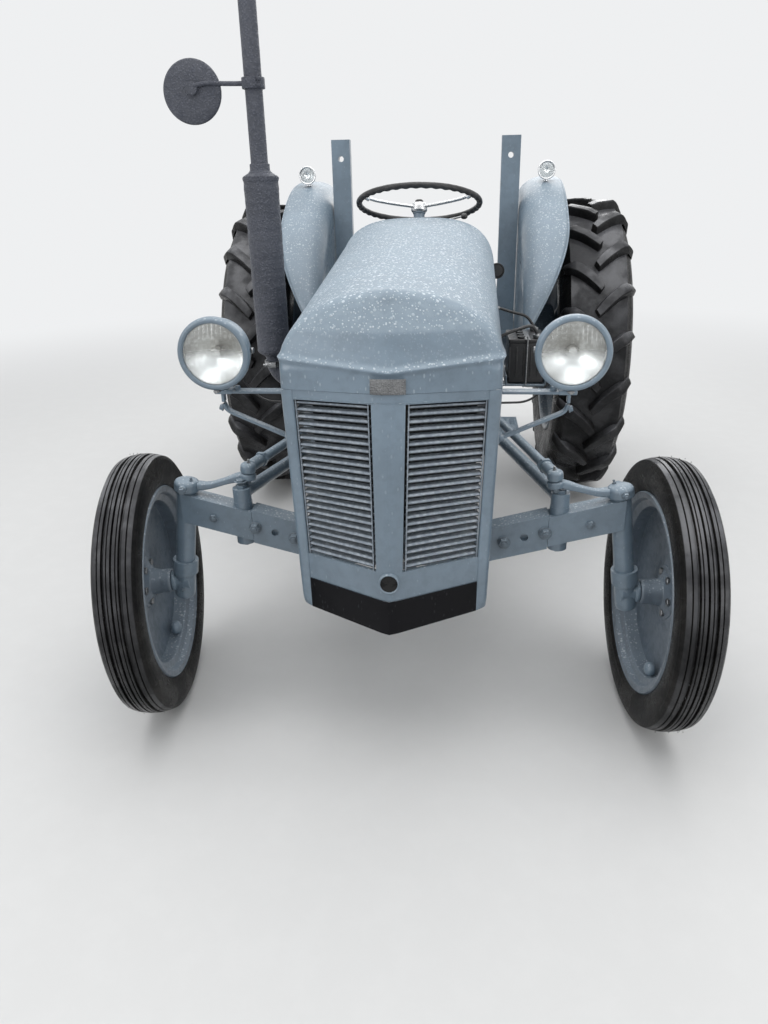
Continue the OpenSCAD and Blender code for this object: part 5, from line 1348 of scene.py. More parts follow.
def dragLinkParts(pin):
    front, rear = dragLinkEnds(pin)
    along = unit(rear - front)
    parts = [turned(dragLink["ball"], 0.0035, 6, pin.at(-knuckle["arm"], 0, 0), pin.w, 36)]
    parts.append(rod(front, rear, dragLink["rod"], 24))
    parts.append(rod(front + along*0.012, front + along*0.07, dragLink["sleeve"], 24))
    parts.append(lathe(dragLink["nut"], front + along*0.072, along, 6))
    parts.append(rod(rear - along*0.075, rear - along*0.012, dragLink["sleeve"], 24))
    parts.append(lathe(dragLink["nut"], rear - along*0.09, along, 6))
    parts.append(turned(dragLink["end"], 0.003, 4, rear, toLeft, 32))
    return parts


for sideName in ("left", "right"):
    pin = Kingpin(sideName)
    knucklePiece = addPiece("knuckleForging_" + sideName, knuckleParts(pin), "knuckle_" + sideName, paint,
        sharp=40)
    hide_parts("knuckle_" + sideName)
    addPiece("knuckleBolts_" + sideName, knuckleBolts(pin), "knuckle_" + sideName, oldPaint)
    linkPiece = addPiece("dragLinkRod_" + sideName, dragLinkParts(pin), "drag_link_" + sideName, paint,
        sharp=40)
    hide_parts("drag_link_" + sideName)
    rear = dragLinkEnds(pin)[1]
    inwards = (-np.sign(rear[0]), 0, 0)
    nipple = greaseNipple(pin.at(-knuckle["arm"], 0, 0) + 0.203*pin.w, pin.w)
    nipple += hexBolt(rear + np.array(inwards)*0.012, inwards, 0.016, 0.007, 0)[:1]
    addPiece("dragLinkNipples_" + sideName, nipple, "drag_link_" + sideName, steel)


axle = {"z": 0.46998, "straightHalf": 0.175, "rise": math.radians(15), "boltX": (0.265, 0.365), "endX": 0.4}


def axleZ(x):
    # The beam is level in its middle and rises to both sides
    return axle["z"] + np.maximum(0, abs(x) - axle["straightHalf"])*math.tan(axle["rise"])


def castleNut(place, direction, across=0.03, height=0.018):
    # A hexagon with a round crown that carries a split pin
    w = unit(direction)
    radius = across/2/math.cos(math.pi/6)
    u, v, _ = axesOf(w)
    profile = [(0, 0), (radius, 0), (radius, height*0.6), (radius*0.85, height*0.66), (radius*0.8, height),
        (radius*0.5, height), (radius*0.5, height*1.25), (0, height*1.3)]
    slot = np.asarray(place, float) + w*height*0.84
    return [lathe(profile, place, w, 6), rod(slot - u*across*0.62, slot + u*across*0.55, 0.0018, 8, 0.0005),
        rod(slot - v*across*0.45, slot + v*across*0.45, 0.0012, 8, 0.0005)]


axleBolts = []
for x in axle["boltX"]:
    axleBolts += hexBolt((x, frontAxleY - 0.028, axleZ(x)), toFront, 0.024, 0.013, 0.003, 0.004)
    axleBolts += hexBolt((x, frontAxleY + 0.0285, axleZ(x)), toRear, 0.024, 0.015, 0.003, 0.008)
axleBolts += castleNut((axle["endX"], frontAxleY, axleZ(axle["endX"]) - 0.0465), toGround)
axleBolts += hexBolt((axle["endX"], frontAxleY, 0.637), toTop, 0.024, 0.006, 0.001, 0.001)
axleBolts += hexBolt((0.472, frontAxleY - 0.024, axleZ(0.472) - 0.004), toFront, 0.019, 0.01, 0.002, 0.003)
addPiece("axleBolts", bothSides(axleBolts), "chassis", oldPaint)
pivotNut = castleNut((0, frontAxleY - 0.0715, axle["z"]), toFront, 0.044, 0.02)
addPiece("axlePivotNut", pivotNut, "chassis", steel)
print("axle and steering made")


exhaust = {
    "x": -0.385, "y": frontAxleY + 0.4, "lowZ": 0.8, "flangeX": -0.2053, "bendX": -0.3, "bend": 0.06,
    "pipe": 0.0225, "clampZ": 0.852, "straight": (0.9, 1.2, 1.4, 1.65, 1.9), "top": 1.93,
    "silencer": ((0, 0.8645), (0.024, 0.8645), (0.026, 0.872), (0.0455, 0.885), (0.046, 0.896),
        (0.046, 1.335), (0.0478, 1.337), (0.0478, 1.344), (0.0455, 1.347), (0.03, 1.356), (0.0262, 1.362),
        (0.0262, 1.376), (0.024, 1.3775), (0, 1.3775)), "dents": 0.00035,
    "mouth": ((0.0215, 1.93), (0.024, 1.93), (0.024, 1.918), (0.0215, 1.916)),
    "clamp": ((0.0262, 0.844), (0.029, 0.844), (0.029, 0.86), (0.0262, 0.86)),
}
stackFoot = (exhaust["x"], exhaust["y"], 0)


def makeStack():
    # A quarter bend of radius R from the manifold, x = x0 + R (1 - sin t), z = z0 + R (1 - cos t), then
    # straight up
    x, y, lowZ, radius = exhaust["x"], exhaust["y"], exhaust["lowZ"], exhaust["bend"]
    t = np.linspace(0, np.pi/2, 14)
    bend = np.stack([x + radius*(1 - np.sin(t)), np.full(14, y), lowZ + radius*(1 - np.cos(t))], 1)
    path = np.concatenate([[(exhaust["flangeX"], y, lowZ), (exhaust["bendX"], y, lowZ)], bend,
        [(x, y, z) for z in (*exhaust["straight"], exhaust["top"])]])
    taper = np.interp(np.arange(len(path)), [0, 15, 16, 30], [1.06, 1.06, 1, 1])
    return sweep(path, circle(exhaust["pipe"], 40), up=toRear, scale=taper)


def makeSilencer():
    # The outline in steps of 6 mm, each step's radius a little off at random
    outline = rounded(exhaust["silencer"], 0.005, 5, closed=False)
    steps = []
    for (r0, h0), (r1, h1) in zip(outline[:-1], outline[1:]):
        count = max(1, int(abs(h1 - h0)/0.006))
        steps += [(r0 + (r1 - r0)*i/count, h0 + (h1 - h0)*i/count) for i in range(count)]
    shape = np.array(steps + [tuple(outline[-1])])
    shape[1:-1, 0] += randomNumbers.normal(0, exhaust["dents"], len(shape) - 2)*(shape[1:-1, 0] > 0.03)
    return lathe(shape, stackFoot, toTop, 72)


mouth = lathe(rounded(exhaust["mouth"], 0.0008, 3), stackFoot, toTop, 40, closed=True)
stackPiece = addPiece("exhaustPipe", [makeStack(), makeSilencer(), mouth], "chassis", exhaustCoat,
    sharp=50)
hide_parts("exhaust_stack")
clampX, clampY, clampZ = exhaust["x"], exhaust["y"], exhaust["clampZ"]
clampParts = [lathe(rounded(exhaust["clamp"], 0.001, 3), stackFoot, toTop, 40, closed=True)]
clampParts += hexBolt((clampX - 0.012, clampY - 0.03, clampZ), toRight, 0.012, 0.008, 0.002, 0.006)
clampParts.append(softBox((clampX - 0.012, clampY - 0.038, clampZ - 0.008),
    (clampX + 0.012, clampY - 0.026, clampZ + 0.008), 0.002))
addPiece("exhaustClamp", clampParts, "chassis", steel)

mirror = {
    "place": (-0.545, exhaust["y"] - 0.008, 1.548), "joint": (0.004, -0.013, 0.006), "armZ": 1.563,
    "arm": 0.0058, "shell": ((0, -0.007), (0.02, -0.0062), (0.052, -0.004), (0.0715, 0.0005), (0.0755, 0.003),
        (0.076, 0.008), (0.0745, 0.0138), (0.0715, 0.014), (0.071, 0.01), (0, 0.01)),
    "ball": ((0, -0.002), (0.015, -0.002), (0.0165, 0.002), (0.012, 0.009), (0, 0.01)),
    "glass": ((0, 0.01), (0.0705, 0.01), (0.0708, 0.011), (0.069, 0.012), (0, 0.0126)),
}


def makeMirror():
    # A shallow shell, the ball joint behind it, and an arm clamped round the exhaust pipe
    headX, y, armZ = mirror["place"][0], exhaust["y"], mirror["armZ"]
    parts = [turned(mirror["shell"], 0.004, 5, mirror["place"], toRear, 72)]
    parts.append(turned(mirror["ball"], 0.003, 4, np.add(mirror["place"], mirror["joint"]), toRear, 28))
    arm = curvedPath([(exhaust["x"] - 0.022, y, armZ), (exhaust["x"] - 0.08, y - 0.004, armZ + 0.001),
        (headX + 0.04, y - 0.015, armZ + 0.003), (headX + 0.01, y - 0.019, armZ - 0.003)], 0.02, 6)
    parts.append(sweep(arm, circle(mirror["arm"], 16)))
    parts.append(ringPart(0.0229, 0.0295, -0.013, 0.013, (exhaust["x"], y, armZ), toTop, 0.002, 40, 3))
    for z in (-0.007, 0.007):
        parts += hexBolt((exhaust["x"] + 0.02, y - 0.024, armZ + z), (0.3, -1, 0), 0.009, 0.006, 0.001, 0.003)
    return parts


mirrorPiece = addPiece("mirrorHead", makeMirror(), "chassis", exhaustCoat, sharp=45)
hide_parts("mirror")
addPiece("mirrorGlass", [lathe(mirror["glass"], mirror["place"], toRear, 64)], "chassis", silver)
print("exhaust and mirror made")


fender = {
    "x": 0.378, "width": 0.17, "radius": 0.711, "low": 12.0, "full": 52.0, "high": 164.0, "corner": 0.1,
    "padZ": 0.717, "sheet": 0.003, "swageRadius": 0.565, "edge": 0.0042, "rivetAngles": range(44, 160, 22),
    "rivetRadius": 0.585, "rivet": ((0, -0.001), (0.008, -0.001), (0.0075, 0.0015), (0.004, 0.0032),
        (0, 0.0036)),
}


def makeFender():
    # Rows follow the tyre by angle; each goes up the flat panel, round the corner and out along the crown
    angle = np.radians(np.linspace(fender["low"], fender["high"], 150))
    share = np.clip((np.degrees(angle) - fender["low"])/(fender["full"] - fender["low"]), 0, 1)
    width = fender["width"]*np.maximum(0.03, np.sin(np.pi/2*share))
    corner = np.minimum(fender["corner"], 0.6*width)[:, None]
    foot = ((fender["padZ"] - rearAxleZ)/np.sin(angle))[:, None]
    b = np.linspace(0, np.pi/2, 15)
    arcX = fender["x"] + corner*(1 - np.cos(b))
    arcR = fender["radius"] - corner*(1 - np.sin(b))
    low = foot + (arcR[:, :1] - foot)*np.linspace(0, 1, 14)[None, :-1]
    across = np.linspace(0, 1, 16)[1:]
    topX = arcX[:, -1:] + ((fender["x"] + width)[:, None] - arcX[:, -1:])*across
    topR = fender["radius"] - 0.0045*across**2 - 0.0085*smoothstep(across, 0.9, 1.0)
    x = np.concatenate([np.full_like(low, fender["x"]), arcX, topX], 1)
    r = np.concatenate([low, arcR, np.broadcast_to(topR, topX.shape)], 1)
    flat = (x < fender["x"] + 0.001)*smoothstep(np.degrees(angle)[:, None], 30, 40)
    x = x - 0.003*np.exp(-((r - fender["swageRadius"])/0.006)**2)*flat
    return np.stack([x, rearAxleY - r*np.cos(angle)[:, None], rearAxleZ + r*np.sin(angle)[:, None]], -1)


def makeFenderRivets():
    parts = []
    for angle in np.radians(fender["rivetAngles"]):
        y = rearAxleY - fender["rivetRadius"]*math.cos(angle)
        z = rearAxleZ + fender["rivetRadius"]*math.sin(angle)
        parts.append(lathe(fender["rivet"], (fender["x"] + 0.001, y, z), toRight, 14))
    for y in (-0.03, 0.03):
        parts += hexBolt((fender["x"] + 0.03, rearAxleY + y, fender["padZ"] + 0.005), toTop, 0.017, 0.009,
            0.002, 0.003)
    return parts


fenderGrid = makeFender()
pad = softBox((fender["x"] + 0.002, rearAxleY - 0.058, fender["padZ"]),
    (fender["x"] + 0.05, rearAxleY + 0.058, fender["padZ"] + 0.005), 0.002)
fenderParts = [thickSheet(fenderGrid, -fender["sheet"]), sweep(fenderGrid[:, -1], circle(fender["edge"], 10),
    up=toLeft), pad]
for sideName in ("left", "right"):
    parts, rivets = fenderParts, makeFenderRivets()
    if sideName == "right":
        parts, rivets = [mirrored(part) for part in parts], [mirrored(part) for part in rivets]
    fenderPiece = addPiece("fenderSheet_" + sideName, parts, "chassis", paint, sharp=50)
    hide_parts("fender_" + sideName)
    addPiece("fenderRivets_" + sideName, rivets, "chassis", oldPaint)

sideLamp = {
    "x": 0.482, "tilt": math.asin(0.152/fender["radius"]), "lift": fender["radius"] + 0.04, "foot": 0.0397,
    "shell": ((0.027, -0.02), (0.03, -0.0235), (0.0345, -0.024), (0.0358, -0.02), (0.0352, -0.015),
        (0.0325, -0.012), (0.0325, 0.002), (0.03, 0.016), (0.02, 0.026), (0.008, 0.029), (0, 0.029)),
    "inside": ((0, 0.026), (0.018, 0.023), (0.028, 0.01), (0.03, -0.01), (0.027, -0.017)),
    "stem": ((0, 0), (0.01, 0), (0.0085, 0.004), (0.0065, 0.01), (0.007, 0.013), (0, 0.013)),
}
radial = np.array([0, -math.sin(sideLamp["tilt"]), math.cos(sideLamp["tilt"])])
lampMiddle = np.array([sideLamp["x"], rearAxleY, rearAxleZ]) + sideLamp["lift"]*radial


def sideLampTurned(radius, depth, rise, power, steps, inside, around):
    # A thin bowl or dome: r = radius t, h = depth + rise t^power, closed by a shifted copy of itself
    t = np.linspace(0, 1, steps)
    shape = np.stack([radius*t, depth + rise*t**power], 1)
    return [lathe(np.concatenate([shape, (shape*inside[0] + inside[1])[::-1]]), lampMiddle, toRear, around)]


lampShell = np.concatenate([rounded(sideLamp["shell"], 0.004, 6, closed=False), sideLamp["inside"]])
lampParts = [lathe(lampShell, lampMiddle, toRear, 56)]
lampParts.append(turned(sideLamp["stem"], 0.002, 3, lampMiddle - radial*sideLamp["foot"], radial, 20))
addedLamps = addPiece("sideLampShells", bothSides(lampParts), "chassis", chrome)
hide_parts("side_lamps")
lampBowl = sideLampTurned(0.0272, 0.004, -0.02, 1.8, 10, ([1, 1], [0, 0.001]), 40)
addPiece("sideLampReflectors", bothSides(lampBowl), "chassis", silver)
lampDome = sideLampTurned(0.0285, -0.0285, 0.008, 2.0, 12, ([0.96, 1], [0, 0.0022]), 48)
addPiece("sideLampGlass", bothSides(lampDome), "chassis", lensGlass)
print("fenders made")


steeringWheel = {
    "radius": 0.209, "tube": 0.0102, "grips": 40, "gripDepth": 0.0016, "spokes": (90, 210, 330),
    "hub": ((0, -0.03), (0.023, -0.03), (0.028, -0.024), (0.028, -0.006), (0.024, 0.0005), (0.015, 0.0035),
        (0, 0.004)),
    "nut": ((0, 0.003), (0.015, 0.003), (0.015, 0.008), (0.012, 0.0125), (0, 0.0135)),
    "spokePath": ((0.022, -0.012), (0.1, -0.0125), (0.17, -0.01), (0.205, -0.003)), "spoke": 0.006,
    "root": ((0.19, -0.008), (0.2, -0.004)), "rootRadius": 0.0085,
}   # spoke and root: distance from the middle, height
wheelAxis = unit(np.array(joints["steering_wheel_turn"]["axis"]))
wheelMiddle = np.array(joints["steering_wheel_turn"]["pos_m"])
wheelX = np.array([1.0, 0, 0])
wheelY = np.cross(wheelAxis, wheelX)


def onWheel(x, y, z=0.0):
    return wheelMiddle + x*wheelX + y*wheelY + z*wheelAxis


def makeSteeringRim():
    # Torus of radius R and section r(a, b) = tube + depth cos(n a) on its lower side, which makes finger
    # grips
    a = np.linspace(0, 2*np.pi, 480, endpoint=False)[:, None]
    b = np.linspace(0, 2*np.pi, 16, endpoint=False)[None, :]
    under = np.clip(-np.sin(b) - 0.1, 0, 1)
    r = steeringWheel["tube"] + steeringWheel["gripDepth"]*np.cos(steeringWheel["grips"]*a)*under
    radius = steeringWheel["radius"] + r*np.cos(b)
    grid = np.stack([radius*np.cos(a), radius*np.sin(a), r*np.sin(b)*0.95 + np.zeros_like(a)], -1)
    return closedGrid(wheelMiddle + grid @ np.stack([wheelX, wheelY, wheelAxis]), wrapRows=True)


def makeSpokes():
    parts = [turned(steeringWheel["hub"], 0.004, 5, wheelMiddle, wheelAxis, 44)]
    for angle in np.radians(steeringWheel["spokes"]):
        c, s = math.cos(angle), math.sin(angle)
        path, root = ([onWheel(r*c, r*s, z) for r, z in steeringWheel[key]] for key in ("spokePath", "root"))
        section = circle(steeringWheel["spoke"], 14)*[1.25, 0.85]
        parts.append(sweep(curvedPath(path, 0.03, 6), section, up=wheelAxis))
        parts.append(sweep(root, circle(steeringWheel["rootRadius"], 14), up=wheelAxis))
    return parts


wheelPiece = addPiece("steeringRim", [makeSteeringRim()], "steering_wheel", blackPlastic,
    sharp=60)
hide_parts("steering_wheel")
addPiece("steeringSpokes", makeSpokes(), "steering_wheel", chrome)
wheelNut = turned(steeringWheel["nut"], 0.003, 5, wheelMiddle, wheelAxis, 32)
addPiece("steeringNut", [wheelNut], "steering_wheel", blackPlastic)
print("steering wheel made")


radiator = {
    "boxes": [((-0.193, -0.08, 1.004), (0.193, 0, 1.0595), 0.014, 6),
        ((-0.19, -0.075, 0.546), (0.19, -0.005, 0.6), 0.012, 6),
        *(((x - 0.01, -0.075, 0.59), (x + 0.01, -0.005, 1.012), 0.004) for x in (-0.18, 0.18))],
    "bolts": [([(side*0.19, -0.04, z)], (side, 0, 0), 0.013, 0.006)
        for z in (0.66, 0.78, 0.9) for side in (1, -1)],
}
radiatorFins = {"boxes": [((-0.172, -0.068, 0.594), (0.172, -0.012, 1.008), 0.003)]}
radiatorFiller = {"turned": [(((0, 0), (0.0215, 0), (0.0215, 0.008), (0.032, 0.01), (0.032, 0.019),
    (0.026, 0.0235), (0, 0.026)), 0.003, 4, (0, -0.04, 1.0585), toTop, 40)]}
coolingHoses = {"pipes": [
    ([(0, y, 1.03) for y in (-0.002, 0.06, 0.11, 0.166)], 0.01, 4, 0.02, 28),
    ([(-0.105, -0.006, 0.568), (-0.105, 0.07, 0.566), (-0.105, 0.149, 0.568)], 0.03, 5, 0.016, 24)]}
hoseClips = {
    "rings": [*((0.0198, 0.0222, -0.006, 0.006, (0, y, 1.03), toRear, 0.001) for y in (0.014, 0.152)),
        *((0.0158, 0.0182, -0.006, 0.006, (-0.105, y, 0.568), toRear, 0.001) for y in (0.012, 0.132))],
    "bolts": [([(0.0, 0.014, 1.052), (0.0, 0.152, 1.052)], toTop, 0.008, 0.005)],
}
radiatorPiece = addPiece("radiatorTanks", fromTable(radiator, frontAxleY), "chassis", blackPaint)
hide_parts("radiator")
addPiece("radiatorCore", fromTable(radiatorFins, frontAxleY), "chassis", core)
addPiece("radiatorCap", fromTable(radiatorFiller, frontAxleY), "chassis", brass)
addPiece("radiatorHoses", fromTable(coolingHoses, frontAxleY), "chassis", rubber)
addPiece("hoseClamps", fromTable(hoseClips, frontAxleY), "chassis", steel)

belt = {"pulleys": (((0.0, 0.72), 0.049), ((0.0, 0.615), 0.0565), ((0.186, 0.72), 0.05)),
    "y": frontAxleY + 0.121, "section": ((-0.0055, -0.001), (0.0055, -0.001), (0.0045, 0.0065),
        (-0.0045, 0.0065))}


def makeFanBelt():
    # At each angle the belt lies on the pulley that reaches furthest that way: centre + radius (cos, sin)
    angle = np.linspace(0, 2*np.pi, 240, endpoint=False)
    facing = np.stack([np.cos(angle), np.sin(angle)], 1)
    centres, radii = np.array([c for c, r in belt["pulleys"]]), np.array([r for c, r in belt["pulleys"]])
    chosen = (facing @ centres.T + radii).argmax(1)
    x, z = (centres[chosen] + radii[chosen][:, None]*facing).T
    return sweep(np.stack([x, np.full(len(x), belt["y"]), z], 1), belt["section"], up=toRear, wrap=True)


addPiece("fanBelt", [makeFanBelt()], "chassis", rubber, sharp=30)

cylinderY = [0.232 + 0.13*i for i in range(4)]
engine = {
    "boxes": [((-0.125, 0.15, 0.47), (0.125, 0.79, 0.841), 0.01, 5),
        ((-0.12, 0.18, 0.38), (0.12, 0.76, 0.474), 0.03, 7),
        ((-0.11, 0.17, 0.836), (0.11, 0.75, 0.926), 0.01, 5),
        *(((-0.13, y + 0.005, 0.6), (-0.12, y + 0.055, 0.79), 0.004) for y in cylinderY),
        *(((0.118, y, 0.48), (0.129, y + 0.012, 0.83), 0.003) for y in (0.19 + 0.145*i for i in range(5)))],
    "discs": [(0.06, -0.002, 0.026, (0, 0.126, 0.615), toRear),
        (0.045, 0, 0.042, (0, 0.11, 0.72), toRear, 0.004), (0.0135, -0.025, 0.002, (0, 0.11, 0.72), toRear),
        *((0.026, 0.0, 0.0105, (0.1245, y + 0.01, 0.56), toLeft, 0.003, 28) for y in cylinderY)],
    "rings": [(0.02, 0.055, -0.012, 0.001, (0, 0.121, 0.615), toRear)],
    "turned": [(((0, 0.924), (0.034, 0.924), (0.034, 0.932), (0.028, 0.94), (0.028, 1.04), (0.022, 1.052),
        (0, 1.052)),
        0.006, 5, (0, 0.195, 0), toTop)],
}
engineBolts = {"bolts": [
    ([(x, 0.19 + 0.107*i, 0.9245) for x in (-0.092, 0.092) for i in range(6)], toTop, 0.019, 0.01, 0.004),
    ([(x, 0.215 + 0.085*i, 0.4745) for x in (-0.117, 0.117) for i in range(7)], toGround, 0.012, 0.006),
    ([(0.1*math.cos(t), 0.15, 0.66 + 0.13*math.sin(t)) for t in np.arange(10)*np.pi/5], toFront, 0.013,
        0.007)]}
rocker = {"boxes": [((-0.07, 0.24, 0.923), (0.07, 0.71, 0.981), 0.018, 7),
    ((-0.078, 0.232, 0.9225), (0.078, 0.718, 0.93), 0.003)]}
rockerTop = {
    "turned": [(((0, 0), (0.024, 0), (0.024, 0.016), (0.018, 0.02), (0, 0.021)), 0.003, 4, (0, 0.29, 0.9805),
        toTop, 28)],
    "bolts": [([(0, 0.4, 0.98), (0, 0.62, 0.98)], toTop, 0.017, 0.012, 0.004)],
}
enginePiece = addPiece("engineCastings", fromTable(engine, frontAxleY), "chassis", oldPaint,
    sharp=42)
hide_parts("engine")
crankBolt = hexBolt((0, frontAxleY + 0.109, 0.615), toFront, 0.036, 0.016, 0.004)
addPiece("engineBolts", fromTable(engineBolts, frontAxleY) + crankBolt, "chassis", oldPaint)
addPiece("rockerCover", fromTable(rocker, frontAxleY), "chassis", paint)
addPiece("rockerFittings", fromTable(rockerTop, frontAxleY), "chassis", steel)

sparkPlug = {
    "x": 0.1085, "afterCylinder": 0.013, "z": 0.886, "lean": (0.93, 0, 0.37), "leadRadius": 0.0036,
    "hexagon": ((0, 0), (0.0125, 0), (0.0125, 0.01), (0, 0.01)),
    "body": ((0, 0), (0.0068, 0), (0.006, 0.026), (0, 0.026)),
    "cap": ((0, 0), (0.0088, 0), (0.0088, 0.02), (0.006, 0.026), (0, 0.027)), "tubeX": 0.15, "tubeZ": 0.946,
    "tubeY": (0.24, 0.69), "tubeRadius": 0.0085, "strapY": (0.3, 0.6),
}


def makePlugs():
    # Four plugs lean out of the head; each lead bends up from its cap into the tube that straps carry
    plugs, leads = [], []
    way = unit(sparkPlug["lean"])
    tubeX, tubeZ = sparkPlug["tubeX"], sparkPlug["tubeZ"]
    for y in cylinderY:
        place = np.array([sparkPlug["x"], frontAxleY + y + sparkPlug["afterCylinder"], sparkPlug["z"]])
        plugs.append(lathe(sparkPlug["hexagon"], place, way, 6))
        plugs.append(lathe(sparkPlug["body"], place + way*0.01, way, 14))
        leads.append(turned(sparkPlug["cap"], 0.002, 3, place + way*0.026, way, 16))
        path = [place + way*0.047, place + way*0.06, place + [0.052, 0.0, 0.05],
            (tubeX, place[1] + 0.02, tubeZ)]
        leads.append(sweep(curvedPath(path, 0.012, 5), circle(sparkPlug["leadRadius"], 10)))
    start, end = ((tubeX, frontAxleY + y, tubeZ) for y in sparkPlug["tubeY"])
    leads.append(rod(start, end, sparkPlug["tubeRadius"], 18))
    straps = {"boxes": [*(((0.1095, y - 0.008, 0.905), (0.143, y + 0.008, 0.908),
        0.001) for y in sparkPlug["strapY"]),
        *(((0.141, y - 0.008, 0.905), (0.144, y + 0.008, tubeZ), 0.001) for y in sparkPlug["strapY"])]}
    return plugs + fromTable(straps, frontAxleY), leads


plugs, leads = makePlugs()
addPiece("sparkPlugs", plugs, "chassis", steel)
addPiece("plugLeadTube", leads, "chassis", blackPlastic)

portY = [y + 0.025 for y in cylinderY]
outletY = exhaust["y"] - frontAxleY
manifold = {
    "boxes": [*(((-0.136, y - 0.034, 0.808), (-0.125, y + 0.034, 0.868), 0.004) for y in portY),
        ((-0.205, outletY - 0.04, 0.772), (-0.197, outletY + 0.04, 0.828), 0.003)],
    "turned": [*((((0.024, 0), (0.024, 0.04), (0.019, 0.04)), 0.004, 4, (-0.13, y, 0.838), toRight,
        24) for y in portY),
        (((0, 0), (0.0225, 0.002), (0.0265, 0.012), (0.0265, 0.458), (0.0225, 0.468), (0, 0.47)), 0.008, 6,
            (-0.17, 0.215, 0.838), toRear, 36),
        (((0, 0), (0.025, 0), (0.025, 0.038), (0, 0.038)), 0.004, 4, (-0.17, outletY, 0.8), toTop, 32),
        (((0, 0), (0.03, 0), (0.03, 0.034), (0.0225, 0.036), (0, 0.036)), 0.004, 4, (-0.17, outletY, 0.8),
            toRight, 36)],
    "bolts": [([(-0.136, y - 0.024, 0.858), (-0.136, y + 0.024, 0.818)], toRight, 0.012,
        0.008) for y in portY],
}
manifoldPiece = addPiece("manifoldCasting", fromTable(manifold, frontAxleY), "chassis", castIron)
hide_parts("manifold")

carburettor = {
    "boxes": [((-0.205, 0.5, 0.7), (-0.15, 0.56, 0.8), 0.012, 6),
        ((-0.205, 0.505, 0.8), (-0.145, 0.555, 0.814), 0.003),
        ((-0.2, 0.515, 0.59), (-0.124, 0.545, 0.604), 0.003)],
    "rings": [(0.012, 0.021, 0, 0.05, (-0.178, 0.558, 0.735), toRear)],
    "discs": [(0.024, 0, 0.06, (-0.178, 0.53, 0.652), toTop, 0.006)],
}
sedimentBowl = {"turned": [(((0, 0), (0.018, 0.001), (0.022, 0.01), (0.022, 0.042), (0, 0.042)), 0.005, 5,
    (-0.15, 0.69, 0.64), toTop, 32)]}
fuelLine = {
    "discs": [(0.024, 0, 0.016, (-0.15, 0.69, 0.682), toTop)],
    "boxes": [((-0.15, 0.682, 0.684), (-0.124, 0.698, 0.696), 0.002)],
    "pipes": [([(-0.15, 0.69, 0.697), (-0.15, 0.69, 0.76), (-0.165, 0.61, 0.77), (-0.178, 0.56, 0.78)], 0.02,
        5, 0.0035, 10)],
    "rods": [((-0.1335, 0.7, 0.69), (-0.1335, 0.7, 1.016), 0.0035, 10)],
}
oilCanister = {
    "turned": [(((0, 0), (0.044, 0), (0.047, 0.006), (0.047, 0.13), (0.04, 0.146), (0.014, 0.15), (0, 0.15)),
        0.008, 6, (-0.172, 0.33, 0.56), toTop, 44)],
    "boxes": [((-0.19, 0.305, 0.702), (-0.12, 0.355, 0.728), 0.006)],
}
starter = {"discs": [(0.046, 0, 0.19, (-0.166, 0.59, 0.53), toRear, 0.006, 40),
    (0.02, 0, 0.07, (-0.166, 0.64, 0.585), toRear, 0.004, 24)]}
addPiece("carburettor", fromTable(carburettor, frontAxleY), "chassis", castIron)
addPiece("fuelBowl", fromTable(sedimentBowl, frontAxleY), "chassis", lensGlass)
addPiece("fuelPipes", fromTable(fuelLine, frontAxleY), "chassis", brass)
addPiece("oilFilter", fromTable(oilCanister, frontAxleY), "chassis", paint)
addPiece("starterMotor", fromTable(starter, frontAxleY), "chassis", blackPaint)

dynamo = {
    "discs": [(0.052, 0, 0.2, (0.186, 0.17, 0.72), toRear, 0.006, 48),
        (0.016, 0, 0.04, (0.186, 0.132, 0.72), toRear)],
    "rings": [(0.05, 0.0528, 0, 0.014, (0.186, 0.335, 0.72), toRear, 0.002, 48)],
    "boxes": [((0.1255, 0.2, 0.661), (0.155, 0.34, 0.7), 0.005),
        ((0.2, 0.3, 0.765), (0.226, 0.33, 0.785), 0.003)],
    "bolts": [([(0.186 + 0.04*math.cos(t), 0.37, 0.72 + 0.04*math.sin(t)) for t in (0.8, 3.94)],
        toRear, 0.01, 0.006)],
}
pulleyProfile = rounded([(0.012, 0), (0.0505, 0), (0.0505, 0.0015), (0.044, 0.0045), (0.044, 0.0055),
    (0.0505, 0.0085), (0.0505, 0.01), (0.012, 0.01)], 0.0006, 3)
pulley = lathe(pulleyProfile, (0.186, frontAxleY + 0.116, 0.72), toRear, 48, closed=True)
dynamoPiece = addPiece("dynamoBody", fromTable(dynamo, frontAxleY) + [pulley], "chassis", blackPaint)
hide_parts("dynamo")

airCleaner = {
    "turned": [(((0, 0.7), (0.056, 0.7), (0.062, 0.708), (0.062, 0.764), (0.065, 0.766), (0.065, 0.774),
        (0.062, 0.776), (0.062, 0.866), (0.058, 0.872), (0.032, 0.894), (0.026, 0.897), (0, 0.897)), 0.004, 5,
        (0.2, 0.56, 0), toTop, 56)],
    "boxes": [((0.1255, 0.53, 0.74), (0.165, 0.59, 0.8), 0.005)],
    "rings": [(0.0615, 0.064, -0.008, 0.008, (0.2, 0.56, 0.82), toTop, 0.001, 56)],
}
cleanerPiece = addPiece("airCleanerCan", fromTable(airCleaner, frontAxleY), "chassis", paint)
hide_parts("air_cleaner")
print("engine made")


